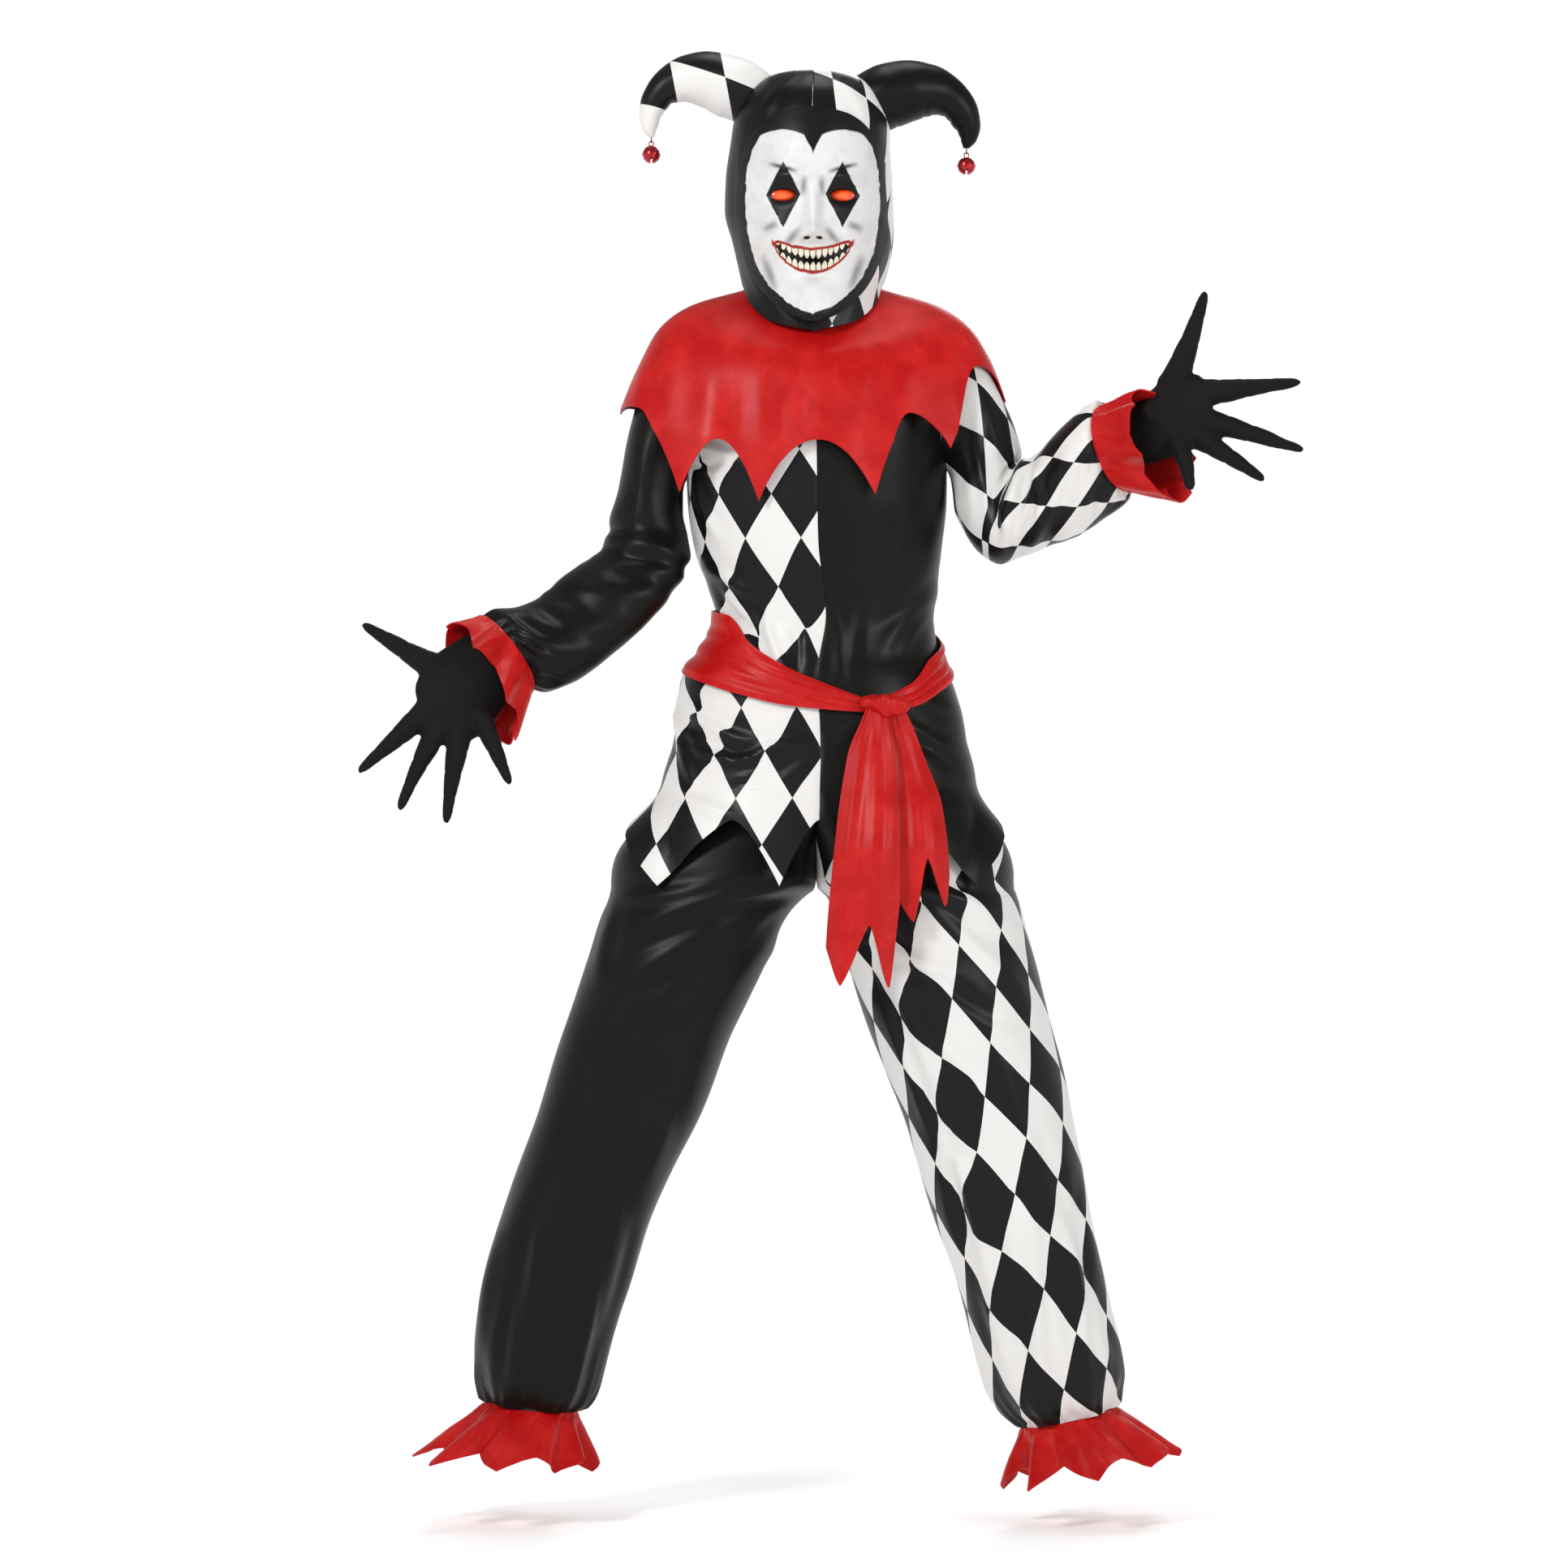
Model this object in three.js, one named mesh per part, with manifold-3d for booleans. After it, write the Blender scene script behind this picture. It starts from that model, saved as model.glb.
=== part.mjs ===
// A jester costume as it is worn: tunic, trousers, collar, sash, hood with two horns, mask and gloves.
// Millimetres, +Z up, the front faces -Y. The origin is the base of the neck, where the shoulders carry it.
// Left and right are as seen from the front: left pieces lie on the -X side.
import * as THREE from "three";
import { mergeVertices } from "three/addons/utils/BufferGeometryUtils.js";
import Module from "manifold-3d";

const wasm = await Module();
wasm.setup();

// Thickness of each cloth and the gap that every seam keeps.
const SATIN = 1.5;
const LEATHERETTE = 1.8;
const KNIT = 1.6;
const MASK_WALL = 2.4;
const SEAM = 0.3;
// What a piece that is cut by its neighbour keeps off it.
const CUT_CLEAR = 0.4;
// What each edge of a panel is trimmed by at a seam, so that the walls keep the gap round a curve.
const SEAM_TRIM = 0.25;

// Turns column names and rows of numbers into a table with named columns.
function table(columns, rows) {
  const names = columns.split(" ");
  return rows.map((row) => Object.fromEntries(names.map((name, i) => [name, row[i]])));
}

// Tunic sections from the neck to above the hem: outline at both sides, depths, squareness of the section.
const TUNIC = table("z left right front back square", [
  [44, -79, 74, 66, 72, 2],
  [28, -122, 119, 76, 84, 2.1],
  [12, -153, 150, 87, 94, 2.2],
  [-5, -168, 167, 98, 102, 2.3],
  [-30, -173, 172, 105, 108, 2.4],
  [-60, -171, 171, 110, 112, 2.4],
  [-100, -166, 166, 113, 115, 2.4],
  [-140, -160, 161, 115, 115, 2.4],
  [-215, -157, 160, 115, 110, 2.3],
  [-271, -149, 155, 110, 103, 2.2],
  [-320, -132, 150, 104, 96, 2.2],
  [-356, -121, 145, 100, 92, 2.2],
  [-400, -141, 151, 105, 101, 2.2],
  [-430, -164, 165, 112, 112, 2.3],
  [-485, -173, 182, 118, 126, 2.4],
  [-525, -177, 188, 122, 130, 2.4],
  [-560, -184, 193, 127, 133, 2.5],
  [-595, -196, 204, 135, 140, 2.7],
  [-650, -206, 212, 144, 148, 3],
  [-720, -210, 216, 150, 152, 3],
]);
const TUNIC_TOP = 44;
const TUNIC_LEVELS = [44, 26, -5, -80, -160, -250, -315, -356, -400, -435, -500, -560];
// How far the skirt of the tunic keeps off the trousers.
const TUNIC_CLEAR = 14;
// Below this height the trousers can push the tunic out.
const TUNIC_OVER_LEGS = -500;
const NECK_DROP = { front: 66, back: 8, fades: 100, sweep: 1.3 };
// Height of the arches between the hem's points, and of the points themselves.
const TUNIC_HEM = { arch: -604, tip: -684, bow: 1.5 };
const TUNIC_TIPS = [18, 61, 119, 162, 198, 241, 299, 342];
// The rows of the skirt between the last level and the hem, as parts of the way.
const SKIRT_ROWS = [0.34, 0.68, 1];
const QUARTER_ANGLES = [0, 9, 18, 28, 38, 49, 61, 75, 90];

// Trouser sections above the crotch, over both legs.
const HIPS = table("z left right front back square", [
  [-380, -122, 136, 89, 84, 2.2],
  [-424, -150, 152, 101, 100, 2.2],
  [-446, -160, 162, 105, 107, 2.3],
  [-485, -165, 173, 109, 117, 2.4],
  [-525, -169, 180, 112, 122, 2.4],
  [-560, -176, 184, 115, 124, 2.5],
  [-588, -188, 194, 117, 125, 2.4],
  [-606, -199, 203, 118, 126, 2.3],
  [-640, -224, 223, 119, 125, 2.2],
  [-690, -252, 245, 117, 121, 2.1],
]);
const CROTCH = { starts: -570, ends: -692 };
// Leg sections below the crotch: centre, half width, half depth and the slope of the section.
const LEG_LEFT = table("z middle half front depth slope", [
  [-690, -128, 125, 0, 116, 0],
  [-704, -139, 118, 0, 115, 0],
  [-725, -152, 115, 0, 114, 0],
  [-775, -170, 113, -3, 112, 0],
  [-835, -193, 108, -5, 108, 0],
  [-876, -210, 104, -6, 105, 0],
  [-962, -240, 100, -6, 100, 0],
  [-1039, -273, 96, -2, 96, 0],
  [-1106, -298, 92, 3, 93, 0],
  [-1173, -317, 91, 6, 90, 0],
  [-1246, -335, 84, 8, 85, -2],
  [-1294, -343, 75, 8, 77, -5],
  [-1316, -346, 66, 8, 68, -6],
  [-1328, -350, 57, 8, 57, -6],
]);
const LEG_RIGHT = table("z middle half front depth slope", [
  [-690, 124, 121, 0, 116, 0],
  [-704, 133, 117, 0, 115, 0],
  [-735, 141, 117, 0, 114, 0],
  [-786, 156, 116, -3, 112, 0],
  [-860, 177, 113, -6, 107, 0],
  [-908, 193, 110, -7, 104, 0],
  [-988, 216, 103, -7, 99, 0],
  [-1018, 223, 102, -5, 97, 0],
  [-1095, 241, 98, 1, 94, 0],
  [-1171, 264, 92, 6, 90, 3],
  [-1245, 283, 89, 8, 87, 6],
  [-1291, 294, 84, 8, 81, 9],
  [-1322, 302, 72, 8, 72, 12],
  [-1341, 311, 59, 8, 58, 13],
]);
const LEG_COLUMNS = 24;
const LEG_LEVELS = {
  left: [-380, -480, -560, -606, -650, -690, -706, -780, -950, -1120, -1270, -1328],
  right: [-380, -480, -560, -606, -650, -690, -706, -780, -950, -1120, -1280, -1341],
};
// Gathers above an elastic hem: how many, how deep and how far up they reach.
const LEG_GATHERS = { count: 6, depth: 4.5, reach: 120 };

// Sleeve sections by the two sides of the outline, with the depth across and the turn of that depth.
const SLEEVE_LEFT = table("place outerX outerZ innerX innerZ y depth turn", [
  [0, -146, 2, -138, -160, 0, 60, 0],
  [1, -184, -16, -150, -176, 0, 62, 0],
  [2, -209, -46, -157, -184, -2, 60, 0],
  [3, -220, -88, -161, -192, -4, 57, 0],
  [4, -233, -140, -162, -205, -7, 54, 0],
  [5, -243, -200, -162, -228, -10, 52, 0],
  [6, -254, -236, -157, -256, -14, 52, 4],
  [7, -258, -255, -154, -284, -20, 53, 8],
  [8, -262, -272, -160, -306, -28, 54, 12],
  [9, -284, -289, -180, -332, -38, 54, 18],
  [10, -312, -313, -210, -366, -52, 54, 22],
  [11, -339, -335, -250, -404, -66, 54, 24],
  [12, -368, -347, -298, -436, -80, 55, 24],
  [13, -390, -350, -330, -446, -92, 50, 24],
  [14, -403, -359, -347, -441, -100, 38, 24],
]);
const SLEEVE_RIGHT = table("place outerX outerZ innerX innerZ y depth turn", [
  [0, 146, 4, 138, -158, 0, 60, 0],
  [1, 184, -13, 152, -168, 0, 62, 0],
  [2, 207, -40, 162, -176, -2, 60, 0],
  [3, 224, -76, 166, -186, -5, 57, 0],
  [4, 242, -114, 168, -200, -9, 55, 0],
  [5, 250, -138, 170, -224, -14, 55, -4],
  [6, 254, -152, 181, -250, -21, 57, -8],
  [7, 256, -160, 201, -278, -30, 59, -14],
  [8, 260, -162, 226, -292, -43, 60, -20],
  [9, 270, -157, 252, -284, -62, 60, -26],
  [10, 289, -146, 286, -268, -86, 59, -30],
  [11, 311, -124, 324, -252, -113, 57, -34],
  [12, 330, -107, 354, -234, -136, 53, -36],
  [13, 341, -102, 371, -216, -147, 48, -36],
  [14, 345, -110, 370, -205, -152, 40, -36],
]);
const SLEEVE_COLUMNS = 16;
const SLEEVE_ROWS = 13;
const SLEEVE_GATHERS = { count: 4, depth: 4, from: 11.2 };

// Drawn-in folds of the sleeves: place along the sleeve, turn round it, spread and depth.
const SLEEVE_FOLDS = {
  left: table("place round width spread depth", [
    [6.6, 0, 0.42, 70, 5],
    [7.6, 180, 0.45, 60, 5],
    [8.7, 150, 0.4, 60, 4],
    [9.8, 40, 0.5, 60, -4],
  ]),
  right: table("place round width spread depth", [
    [6.6, 0, 0.42, 60, 7],
    [8.2, 20, 0.4, 60, 6],
    [9.6, 60, 0.5, 50, 5],
    [10.6, 200, 0.5, 60, -4],
  ]),
};

// Collar rings from the neck to the edge: reach and height over the shoulder, the chest and the back.
const COLLAR = table("place side sideZ front frontZ back backZ", [
  [0, 80, 50, 73, -3, 75, 46],
  [0.12, 98, 45, 86, -15, 90, 36],
  [0.34, 152, 29, 108, -39, 110, 14],
  [0.55, 194, -1, 121, -73, 123, -26],
  [0.75, 219, -46, 126, -108, 130, -76],
  [1, 241, -98, 131, -150, 134, -128],
]);
const COLLAR_SQUARE = 2.3;
// What a point of the edge past the last ring falls, and moves out at the sides and at the front.
const COLLAR_PAST = { fall: 150, side: 20, front: 4 };
// The cut edge: at each point how far it reaches, and how far the arch after it does.
const COLLAR_EDGE = table("angle tip arch", [
  [17, 1.4, 1],
  [44, 1.34, 0.93],
  [90, 1.05, 0.95],
  [135, 1.3, 0.98],
  [163, 1.35, 0.98],
  [197, 1.35, 0.98],
  [225, 1.3, 0.95],
  [270, 0.96, 0.73],
  [317, 1.12, 0.82],
  [343, 1.38, 0.97],
]);
const COLLAR_BOW = 1.9;
const COLLAR_STEPS = 4;
const COLLAR_PLACES = [0, 0.16, 0.4, 0.7, 1];
const COLLAR_FOLDS = { count: 10, depth: 3.5, from: 0.35 };
// How far the collar keeps off the cloth below it, and the step by which it is moved there.
const LAID_CLEAR = 0.8;
const LAID_STEP = 0.5;

// Sash edges by angle round the body from the centre front towards -X.
const SASH = table("angle upper lower", [
  [-25, -457, -474],
  [-10, -444, -472],
  [20, -417, -465],
  [42, -392, -452],
  [65, -354, -434],
  [90, -348, -418],
  [135, -342, -402],
  [180, -342, -400],
  [225, -352, -406],
  [270, -387, -424],
  [294, -407, -446],
  [311, -440, -467],
]);
const SASH_COLUMNS = 26;
const SASH_ROWS = 4;
// How far the band keeps off the tunic, which is flat between its columns.
const SASH_CLEAR = 5;
const SASH_PLEATS = { count: 2, depth: 2.2 };
const KNOT = { x: 83, z: -465, half: 30, depth: 12, height: 13, stands: 18.6, rings: 9, sides: 12 };
// Tail edges by height, and the points cut into the lower ends by the place across.
const TAILS = {
  sash_tail_long: {
    stands: 17,
    hangs: 16,
    edges: table("z left right", [
      [-480, 56, 84],
      [-526, 36, 92],
      [-661, 20, 99],
      [-759, 12, 100],
      [-820, 10, 100],
    ]),
    ends: table("across z", [
      [0, -758],
      [0.2, -804],
      [0.58, -730],
      [0.86, -808],
      [1, -706],
    ]),
    folds: 2.5,
  },
  sash_tail_short: {
    stands: 6,
    hangs: 15,
    edges: table("z left right", [
      [-480, 88, 112],
      [-530, 90, 134],
      [-585, 92, 152],
      [-650, 92, 160],
      [-740, 94, 164],
    ]),
    ends: table("across z", [
      [0, -690],
      [0.34, -728],
      [0.62, -650],
      [0.92, -710],
      [1, -672],
    ]),
    folds: 2,
  },
};
const TAIL_COLUMNS = 10;
const TAIL_ROWS = 6;
// Depth of the tails' folds at the top and what it gains, how far they swing out, and how far down that takes.
const TAIL_DRAPE = { fold: 1.5, more: 2.5, swing: 8, over: 160, settles: 36 };

// Hood sections from the crown to below the chin.
const HOOD = table("z middle half centre depth", [
  [318, -3, 1.5, 8, 1.5],
  [316.5, -3, 27, 8, 32],
  [311, -3, 52, 8, 60],
  [300, -3, 71, 8, 80],
  [283, -4, 86, 8, 96],
  [258, -5, 96, 8, 106],
  [225, -7, 99, 8, 111],
  [185, -8, 103, 8, 112],
  [145, -8, 104, 7, 109],
  [105, -4, 99, 5, 103],
  [72, -3, 92, 3, 95],
  [44, -4, 86, -4, 86],
  [15, -4, 86, -12, 80],
  [-20, -4, 87, -16, 76],
]);
const HOOD_LEVELS = [318, 316, 309, 295, 262, 210, 150, 90];
const HOOD_EDGE = table("angle z", [
  [0, -10],
  [35, 2],
  [62, 25],
  [92, 54],
  [135, 49.5],
  [180, 44],
]);
const HOOD_COLUMNS = 6;
// Depths between which openings are cut into the front.
const FRONT_CUT = [-200, 0];
const FACE_OPENING = { x: -4, z: 118, half: 70, height: 96, lower: 98 };

// Horn sections by the two sides of the outline.
const HORN_LEFT = table("place outerX outerZ innerX innerZ", [
  [0, -36, 296, -80, 238],
  [1, -58, 318, -102, 256],
  [2, -94, 337, -120, 263],
  [3, -130, 343, -141, 274],
  [4, -164, 337, -160, 279],
  [5, -190, 321, -174, 278],
  [6, -207, 301, -184, 270],
  [7, -216, 280, -190, 261],
  [8, -217, 262, -194, 251],
  [9, -213, 246, -197, 243],
  [10, -206, 237, -199, 237],
]);
const HORN_RIGHT = table("place outerX outerZ innerX innerZ", [
  [0, 28, 290, 72, 228],
  [1, 50, 312, 93, 246],
  [2, 80, 327, 106, 250],
  [3, 115, 332, 122, 256],
  [4, 148, 326, 138, 262],
  [5, 173, 311, 151, 264],
  [6, 190, 292, 162, 258],
  [7, 200, 271, 171, 248],
  [8, 204, 250, 177, 238],
  [9, 199, 232, 180, 229],
  [10, 190, 223, 182, 223],
]);
const HORN_SIDES = 10;
const HORN_DEPTH = { centre: 6, share: 1.02 };

// A sleigh bell: round shell, belt round the middle, crossed slots and a shank ring on a thread loop.
const BELL = { radius: 11, wall: 1.1, belt: 12, beltHeight: 1.8, slot: 2.4, slotDepth: 9 };
const SHANK = { radius: 2.9, wire: 0.7 };
const THREAD = { radius: 3.2, wire: 0.7 };

// Mask outline: half width by height, with how far the edge and the middle stand off the hood.
const MASK = table("z half edge middle", [
  [262, 8, 0, 0],
  [254, 44, 0, 1],
  [240, 66, 0, 3],
  [215, 84, 0, 5],
  [180, 92, 0, 6],
  [140, 93, 0, 6],
  [100, 88, 0, 8],
  [70, 79, 1, 11],
  [45, 66, 3, 15],
  [24, 48, 7, 19],
  [8, 28, 12, 20],
  [0, 8, 16, 18],
]);
const MASK_REST = 3;
const MASK_X = -4;
const MASK_LEVELS = [262, 250, 226, 200, 178, 162, 146, 130, 114, 98, 80, 64, 44, 22, 0];
const MASK_COLUMNS = 12;
// Features of the face by place, size and height of relief.
const FACE = table("x z wide high relief", [
  [0, 132, 9, 34, 12],
  [0, 108, 13, 10, 17],
  [-14, 104, 7, 7, 7],
  [14, 104, 7, 7, 7],
  [-34, 176, 22, 8, 5],
  [34, 176, 22, 8, 5],
  [-36, 154, 18, 9, -8],
  [36, 154, 18, 9, -8],
  [-46, 112, 20, 20, 6],
  [46, 112, 20, 20, 6],
  [0, 81, 26, 5, 5],
  [0, 66, 24, 5, 5],
  [0, 38, 16, 12, 7],
]);
const EYE = { x: 36, z: 154, half: 15, height: 7.5, sides: 14 };
// The lens lies this far behind the face and is this thick.
const LENS = { behind: 5, wall: 5.6 };

// Gloves: rings of the hand from the cuff to the knuckles, and the five fingers.
const HANDS = {
  left: {
    palm: table("x y z acrossX acrossZ depth", [
      [-362, -92, -388, -20, 28, 30],
      [-384, -104, -405, -24, 32, 30],
      [-408, -118, -428, -31, 39, 26],
      [-432, -130, -452, -36, 40, 21],
      [-452, -138, -476, -32, 34, 17],
      [-461, -142, -488, -18, 18, 9],
    ]),
    fingers: table("baseX baseY baseZ bendX bendY bendZ tipX tipY tipZ base tip", [
      [-446, -130, -430, -500, -138, -398, -547, -148, -368, 21, 4.6],
      [-456, -136, -462, -505, -150, -504, -551, -158, -547, 20, 4.6],
      [-448, -138, -480, -480, -154, -535, -501, -164, -592, 18, 4.6],
      [-428, -138, -486, -438, -154, -548, -445, -164, -608, 18, 4.6],
      [-406, -134, -476, -386, -150, -520, -368, -158, -562, 16, 4.6],
    ]),
  },
  right: {
    palm: table("x y z acrossX acrossZ depth", [
      [344, -145, -156, -4, 31, 26],
      [372, -160, -149, -5, 33, 26],
      [402, -175, -134, -6, 41, 24],
      [432, -186, -118, -4, 48, 21],
      [456, -194, -115, 0, 44, 17],
      [468, -198, -116, 0, 26, 9],
    ]),
    fingers: table("baseX baseY baseZ bendX bendY bendZ tipX tipY tipZ base tip", [
      [426, -182, -86, 448, -190, -30, 465, -196, 28, 20, 4.6],
      [446, -190, -96, 512, -202, -88, 578, -206, -81, 20, 4.6],
      [452, -194, -122, 518, -208, -142, 581, -212, -163, 18, 4.6],
      [446, -192, -140, 494, -208, -170, 534, -214, -199, 17, 4.6],
      [428, -188, -144, 444, -218, -180, 444, -232, -211, 16, 5],
    ]),
  },
};
const FINGER_SIDES = 6;
const FINGER_DEPTH = 15;
// How far the hollow of a glove runs on past its cuff.
const CUFF_PAST = 6;
const PALM_SIDES = 10;

// Ruffles: free edge ring (centre and two half axes), waves, cut points and how far both stand out.
const RUFFLES = {
  ankle_ruffle_left: {
    centre: [-376, -8, -1374], across: [93, 0, -4], deep: [0, 86, 0],
    waves: 12, wave: 9, tips: 9, tip: 30, columns: 48,
  },
  ankle_ruffle_right: {
    centre: [337, -8, -1386], across: [98, 0, 15], deep: [0, 88, 0],
    waves: 12, wave: 9, tips: 9, tip: 32, columns: 48,
  },
  wrist_ruffle_left: {
    centre: [-404, -122, -422], across: [-36, 0, 54], deep: [22, -50, 0],
    waves: 9, wave: 6, tips: 7, tip: 24, columns: 36,
  },
  wrist_ruffle_right: {
    centre: [398, -184, -150], across: [-18, 0, 70], deep: [-34, -46, 0],
    waves: 9, wave: 6, tips: 7, tip: 24, columns: 36,
  },
};
const RUFFLE_PLACES = [0, 0.5, 1];
// The wrist ruffles start this far past the folded end of the sleeves.
const WRIST_GAP = 0.5;

const DEGREE = Math.PI / 180;
const vector = (x, y, z) => new THREE.Vector3(x, y, z);

// A power that keeps the sign.
function signedPower(value, exponent) {
  return Math.sign(value) * Math.abs(value) ** exponent;
}

// Slope of a column at a row: the harmonic mean of the slopes beside it, so that it never overshoots.
function slopeAt(rows, i, key, name) {
  const slope = (a, b) => (b[name] - a[name]) / (b[key] - a[key]);
  if (i === 0) return slope(rows[0], rows[1]);
  if (i === rows.length - 1) return slope(rows[i - 1], rows[i]);
  const before = slope(rows[i - 1], rows[i]);
  const after = slope(rows[i], rows[i + 1]);
  return before * after <= 0 ? 0 : 2 / (1 / before + 1 / after);
}

// All columns of a table, smoothly between its rows, where the first column has this value.
function rowAt(rows, value) {
  const key = Object.keys(rows[0])[0];
  const rising = rows[0][key] < rows[rows.length - 1][key];
  const passed = (row) => (rising ? row[key] <= value : row[key] >= value);
  let i = 0;
  while (i < rows.length - 2 && passed(rows[i + 1])) i += 1;
  const [a, b] = [rows[i], rows[i + 1]];
  const span = b[key] - a[key];
  const t = THREE.MathUtils.clamp((value - a[key]) / span, 0, 1);
  const out = {};
  for (const name of Object.keys(a)) {
    const leave = slopeAt(rows, i, key, name) * span;
    const arrive = slopeAt(rows, i + 1, key, name) * span;
    const [t2, t3] = [t * t, t * t * t];
    out[name] = a[name] * (2 * t3 - 3 * t2 + 1) + leave * (t3 - 2 * t2 + t)
      + b[name] * (3 * t2 - 2 * t3) + arrive * (t3 - t2);
  }
  return out;
}

// Between arches and points of a cut edge: 0 in the middle of an arch and 1 at a point.
function edgePoint(angle, tips, bow) {
  const turns = tips.map((tip) => tip - 360).concat(tips, tips.map((tip) => tip + 360));
  const next = turns.findIndex((tip) => tip > angle + 1e-9);
  const between = (angle - turns[next - 1]) / (turns[next] - turns[next - 1]);
  return Math.abs(2 * between - 1) ** bow;
}

// A geometry from points and triangles of their numbers, with its faces turned outwards.
function geometryOf(points, triangles) {
  let volume = 0;
  for (const [a, b, c] of triangles) {
    volume += points[a].dot(points[b].clone().cross(points[c]));
  }
  const faces = volume < 0 ? triangles.map(([a, b, c]) => [a, c, b]) : triangles;
  const geometry = new THREE.BufferGeometry().setFromPoints(points);
  geometry.setIndex(faces.flat());
  return geometry;
}

// Normals of a grid of points, columns across and rows down; a closed grid joins its last column to its first.
function gridNormals(grid, closed) {
  const last = grid[0].length - 1;
  return grid.map((row, r) => row.map((point, c) => {
    const left = closed ? row[(c + last) % (last + 1)] : row[Math.max(c - 1, 0)];
    const right = closed ? row[(c + 1) % (last + 1)] : row[Math.min(c + 1, last)];
    const up = grid[Math.max(r - 1, 0)][c];
    const down = grid[Math.min(r + 1, grid.length - 1)][c];
    return right.clone().sub(left).cross(down.clone().sub(up)).normalize();
  }));
}

// The grid moved along its normals.
function movedGrid(grid, distance, closed, normals = gridNormals(grid, closed)) {
  return grid.map((row, r) => row.map((point, c) => point.clone().addScaledVector(normals[r][c], distance)));
}

// A panel between seams, with the normals that the whole surface has there: pointAt gives a grid for angles.
function seamedPanel(gridAt, angles, thickness) {
  const step = angles[1] - angles[0];
  const wider = gridAt([angles[0] - step, ...angles, angles.at(-1) + step]);
  const trim = (rows) => rows.map((row) => row.slice(1, -1));
  const parted = trim(wider).map((row) => {
    const towards = (from, to) => from.clone().addScaledVector(to.clone().sub(from).normalize(), SEAM_TRIM);
    return [towards(row[0], row[1]), ...row.slice(1, -1), towards(row.at(-1), row.at(-2))];
  });
  return clothWall(parted, thickness, false, 1, trim(gridNormals(wider, false)));
}

// A wall of cloth inside a grid of its outer points; side is -1 where the columns run the other way round.
function clothWall(grid, thickness, closed, side = 1, normals = gridNormals(grid, closed)) {
  const inner = movedGrid(grid, -thickness * side, closed, normals);
  const [rows, columns] = [grid.length, grid[0].length];
  const points = grid.flat().concat(inner.flat());
  const outerId = (r, c) => r * columns + (c % columns);
  const innerId = (r, c) => rows * columns + outerId(r, c);
  const triangles = [];
  const quad = (a, b, c, d) => triangles.push([a, b, c], [a, c, d]);
  const steps = closed ? columns : columns - 1;
  for (let c = 0; c < steps; c += 1) {
    for (let r = 0; r < rows - 1; r += 1) {
      quad(outerId(r, c), outerId(r + 1, c), outerId(r + 1, c + 1), outerId(r, c + 1));
      quad(innerId(r, c), innerId(r, c + 1), innerId(r + 1, c + 1), innerId(r + 1, c));
    }
    quad(outerId(0, c), outerId(0, c + 1), innerId(0, c + 1), innerId(0, c));
    quad(outerId(rows - 1, c), innerId(rows - 1, c), innerId(rows - 1, c + 1), outerId(rows - 1, c + 1));
  }
  for (let r = 0; r < rows - 1 && !closed; r += 1) {
    quad(outerId(r, 0), innerId(r, 0), innerId(r + 1, 0), outerId(r + 1, 0));
    quad(outerId(r, steps), outerId(r + 1, steps), innerId(r + 1, steps), innerId(r, steps));
  }
  return geometryOf(points, triangles);
}

// A solid filled through closed rings of points, with flat ends.
function filledRings(rings) {
  const columns = rings[0].length;
  const points = rings.flat();
  const triangles = [];
  for (let r = 0; r < rings.length - 1; r += 1) {
    for (let c = 0; c < columns; c += 1) {
      const [a, b] = [r * columns + c, r * columns + ((c + 1) % columns)];
      triangles.push([a, a + columns, b + columns], [a, b + columns, b]);
    }
  }
  for (const [start, turn] of [[0, 1], [(rings.length - 1) * columns, -1]]) {
    const centre = points.length;
    const sum = points.slice(start, start + columns).reduce((a, b) => a.clone().add(b), vector(0, 0, 0));
    points.push(sum.divideScalar(columns));
    for (let c = 0; c < columns; c += 1) {
      const [a, b] = [start + c, start + ((c + 1) % columns)];
      triangles.push(turn > 0 ? [centre, a, b] : [centre, b, a]);
    }
  }
  return geometryOf(points, triangles);
}

// A closed geometry as a solid that can be cut and joined.
function solidOf(geometry) {
  const bare = geometry.index ? geometry.toNonIndexed() : geometry.clone();
  bare.deleteAttribute("normal");
  bare.deleteAttribute("uv");
  const merged = mergeVertices(bare, 1e-4);
  return new wasm.Manifold(new wasm.Mesh({
    numProp: 3,
    vertProperties: merged.attributes.position.array,
    triVerts: new Uint32Array(merged.index.array),
  }));
}

// The largest body of a solid as a geometry.
function geometryFrom(solid) {
  const bodies = solid.decompose().sort((a, b) => b.volume() - a.volume());
  const mesh = bodies[0].getMesh();
  const geometry = new THREE.BufferGeometry();
  const positions = new Float32Array(mesh.numVert * 3);
  for (let i = 0; i < mesh.numVert; i += 1) {
    positions.set(mesh.vertProperties.subarray(i * mesh.numProp, i * mesh.numProp + 3), i * 3);
  }
  geometry.setAttribute("position", new THREE.BufferAttribute(positions, 3));
  geometry.setIndex(new THREE.BufferAttribute(mesh.triVerts, 1));
  return geometry;
}

const cloth = (color, roughness, metalness = 0) => () =>
  new THREE.MeshStandardMaterial({ color, roughness, metalness, side: THREE.DoubleSide });
const FINISH = {
  black: cloth("#1b1b1c", 0.45),
  harlequin: cloth("#dedcda", 0.45),
  red: cloth("#c01a1c", 0.38),
  knit: cloth("#141315", 0.85),
  mask: cloth("#eae7e2", 0.5),
  lens: cloth("#f2491c", 0.2),
  bell: cloth("#a5161d", 0.25, 0.8),
  thread: cloth("#2a1a1c", 0.8),
};

const costume = new THREE.Group();

// Adds a named piece of the costume.
function addPiece(name, geometry, finish) {
  const mesh = new THREE.Mesh(geometry, finish());
  geometry.computeVertexNormals();
  mesh.name = name;
  costume.add(mesh);
}

// Trousers

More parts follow.
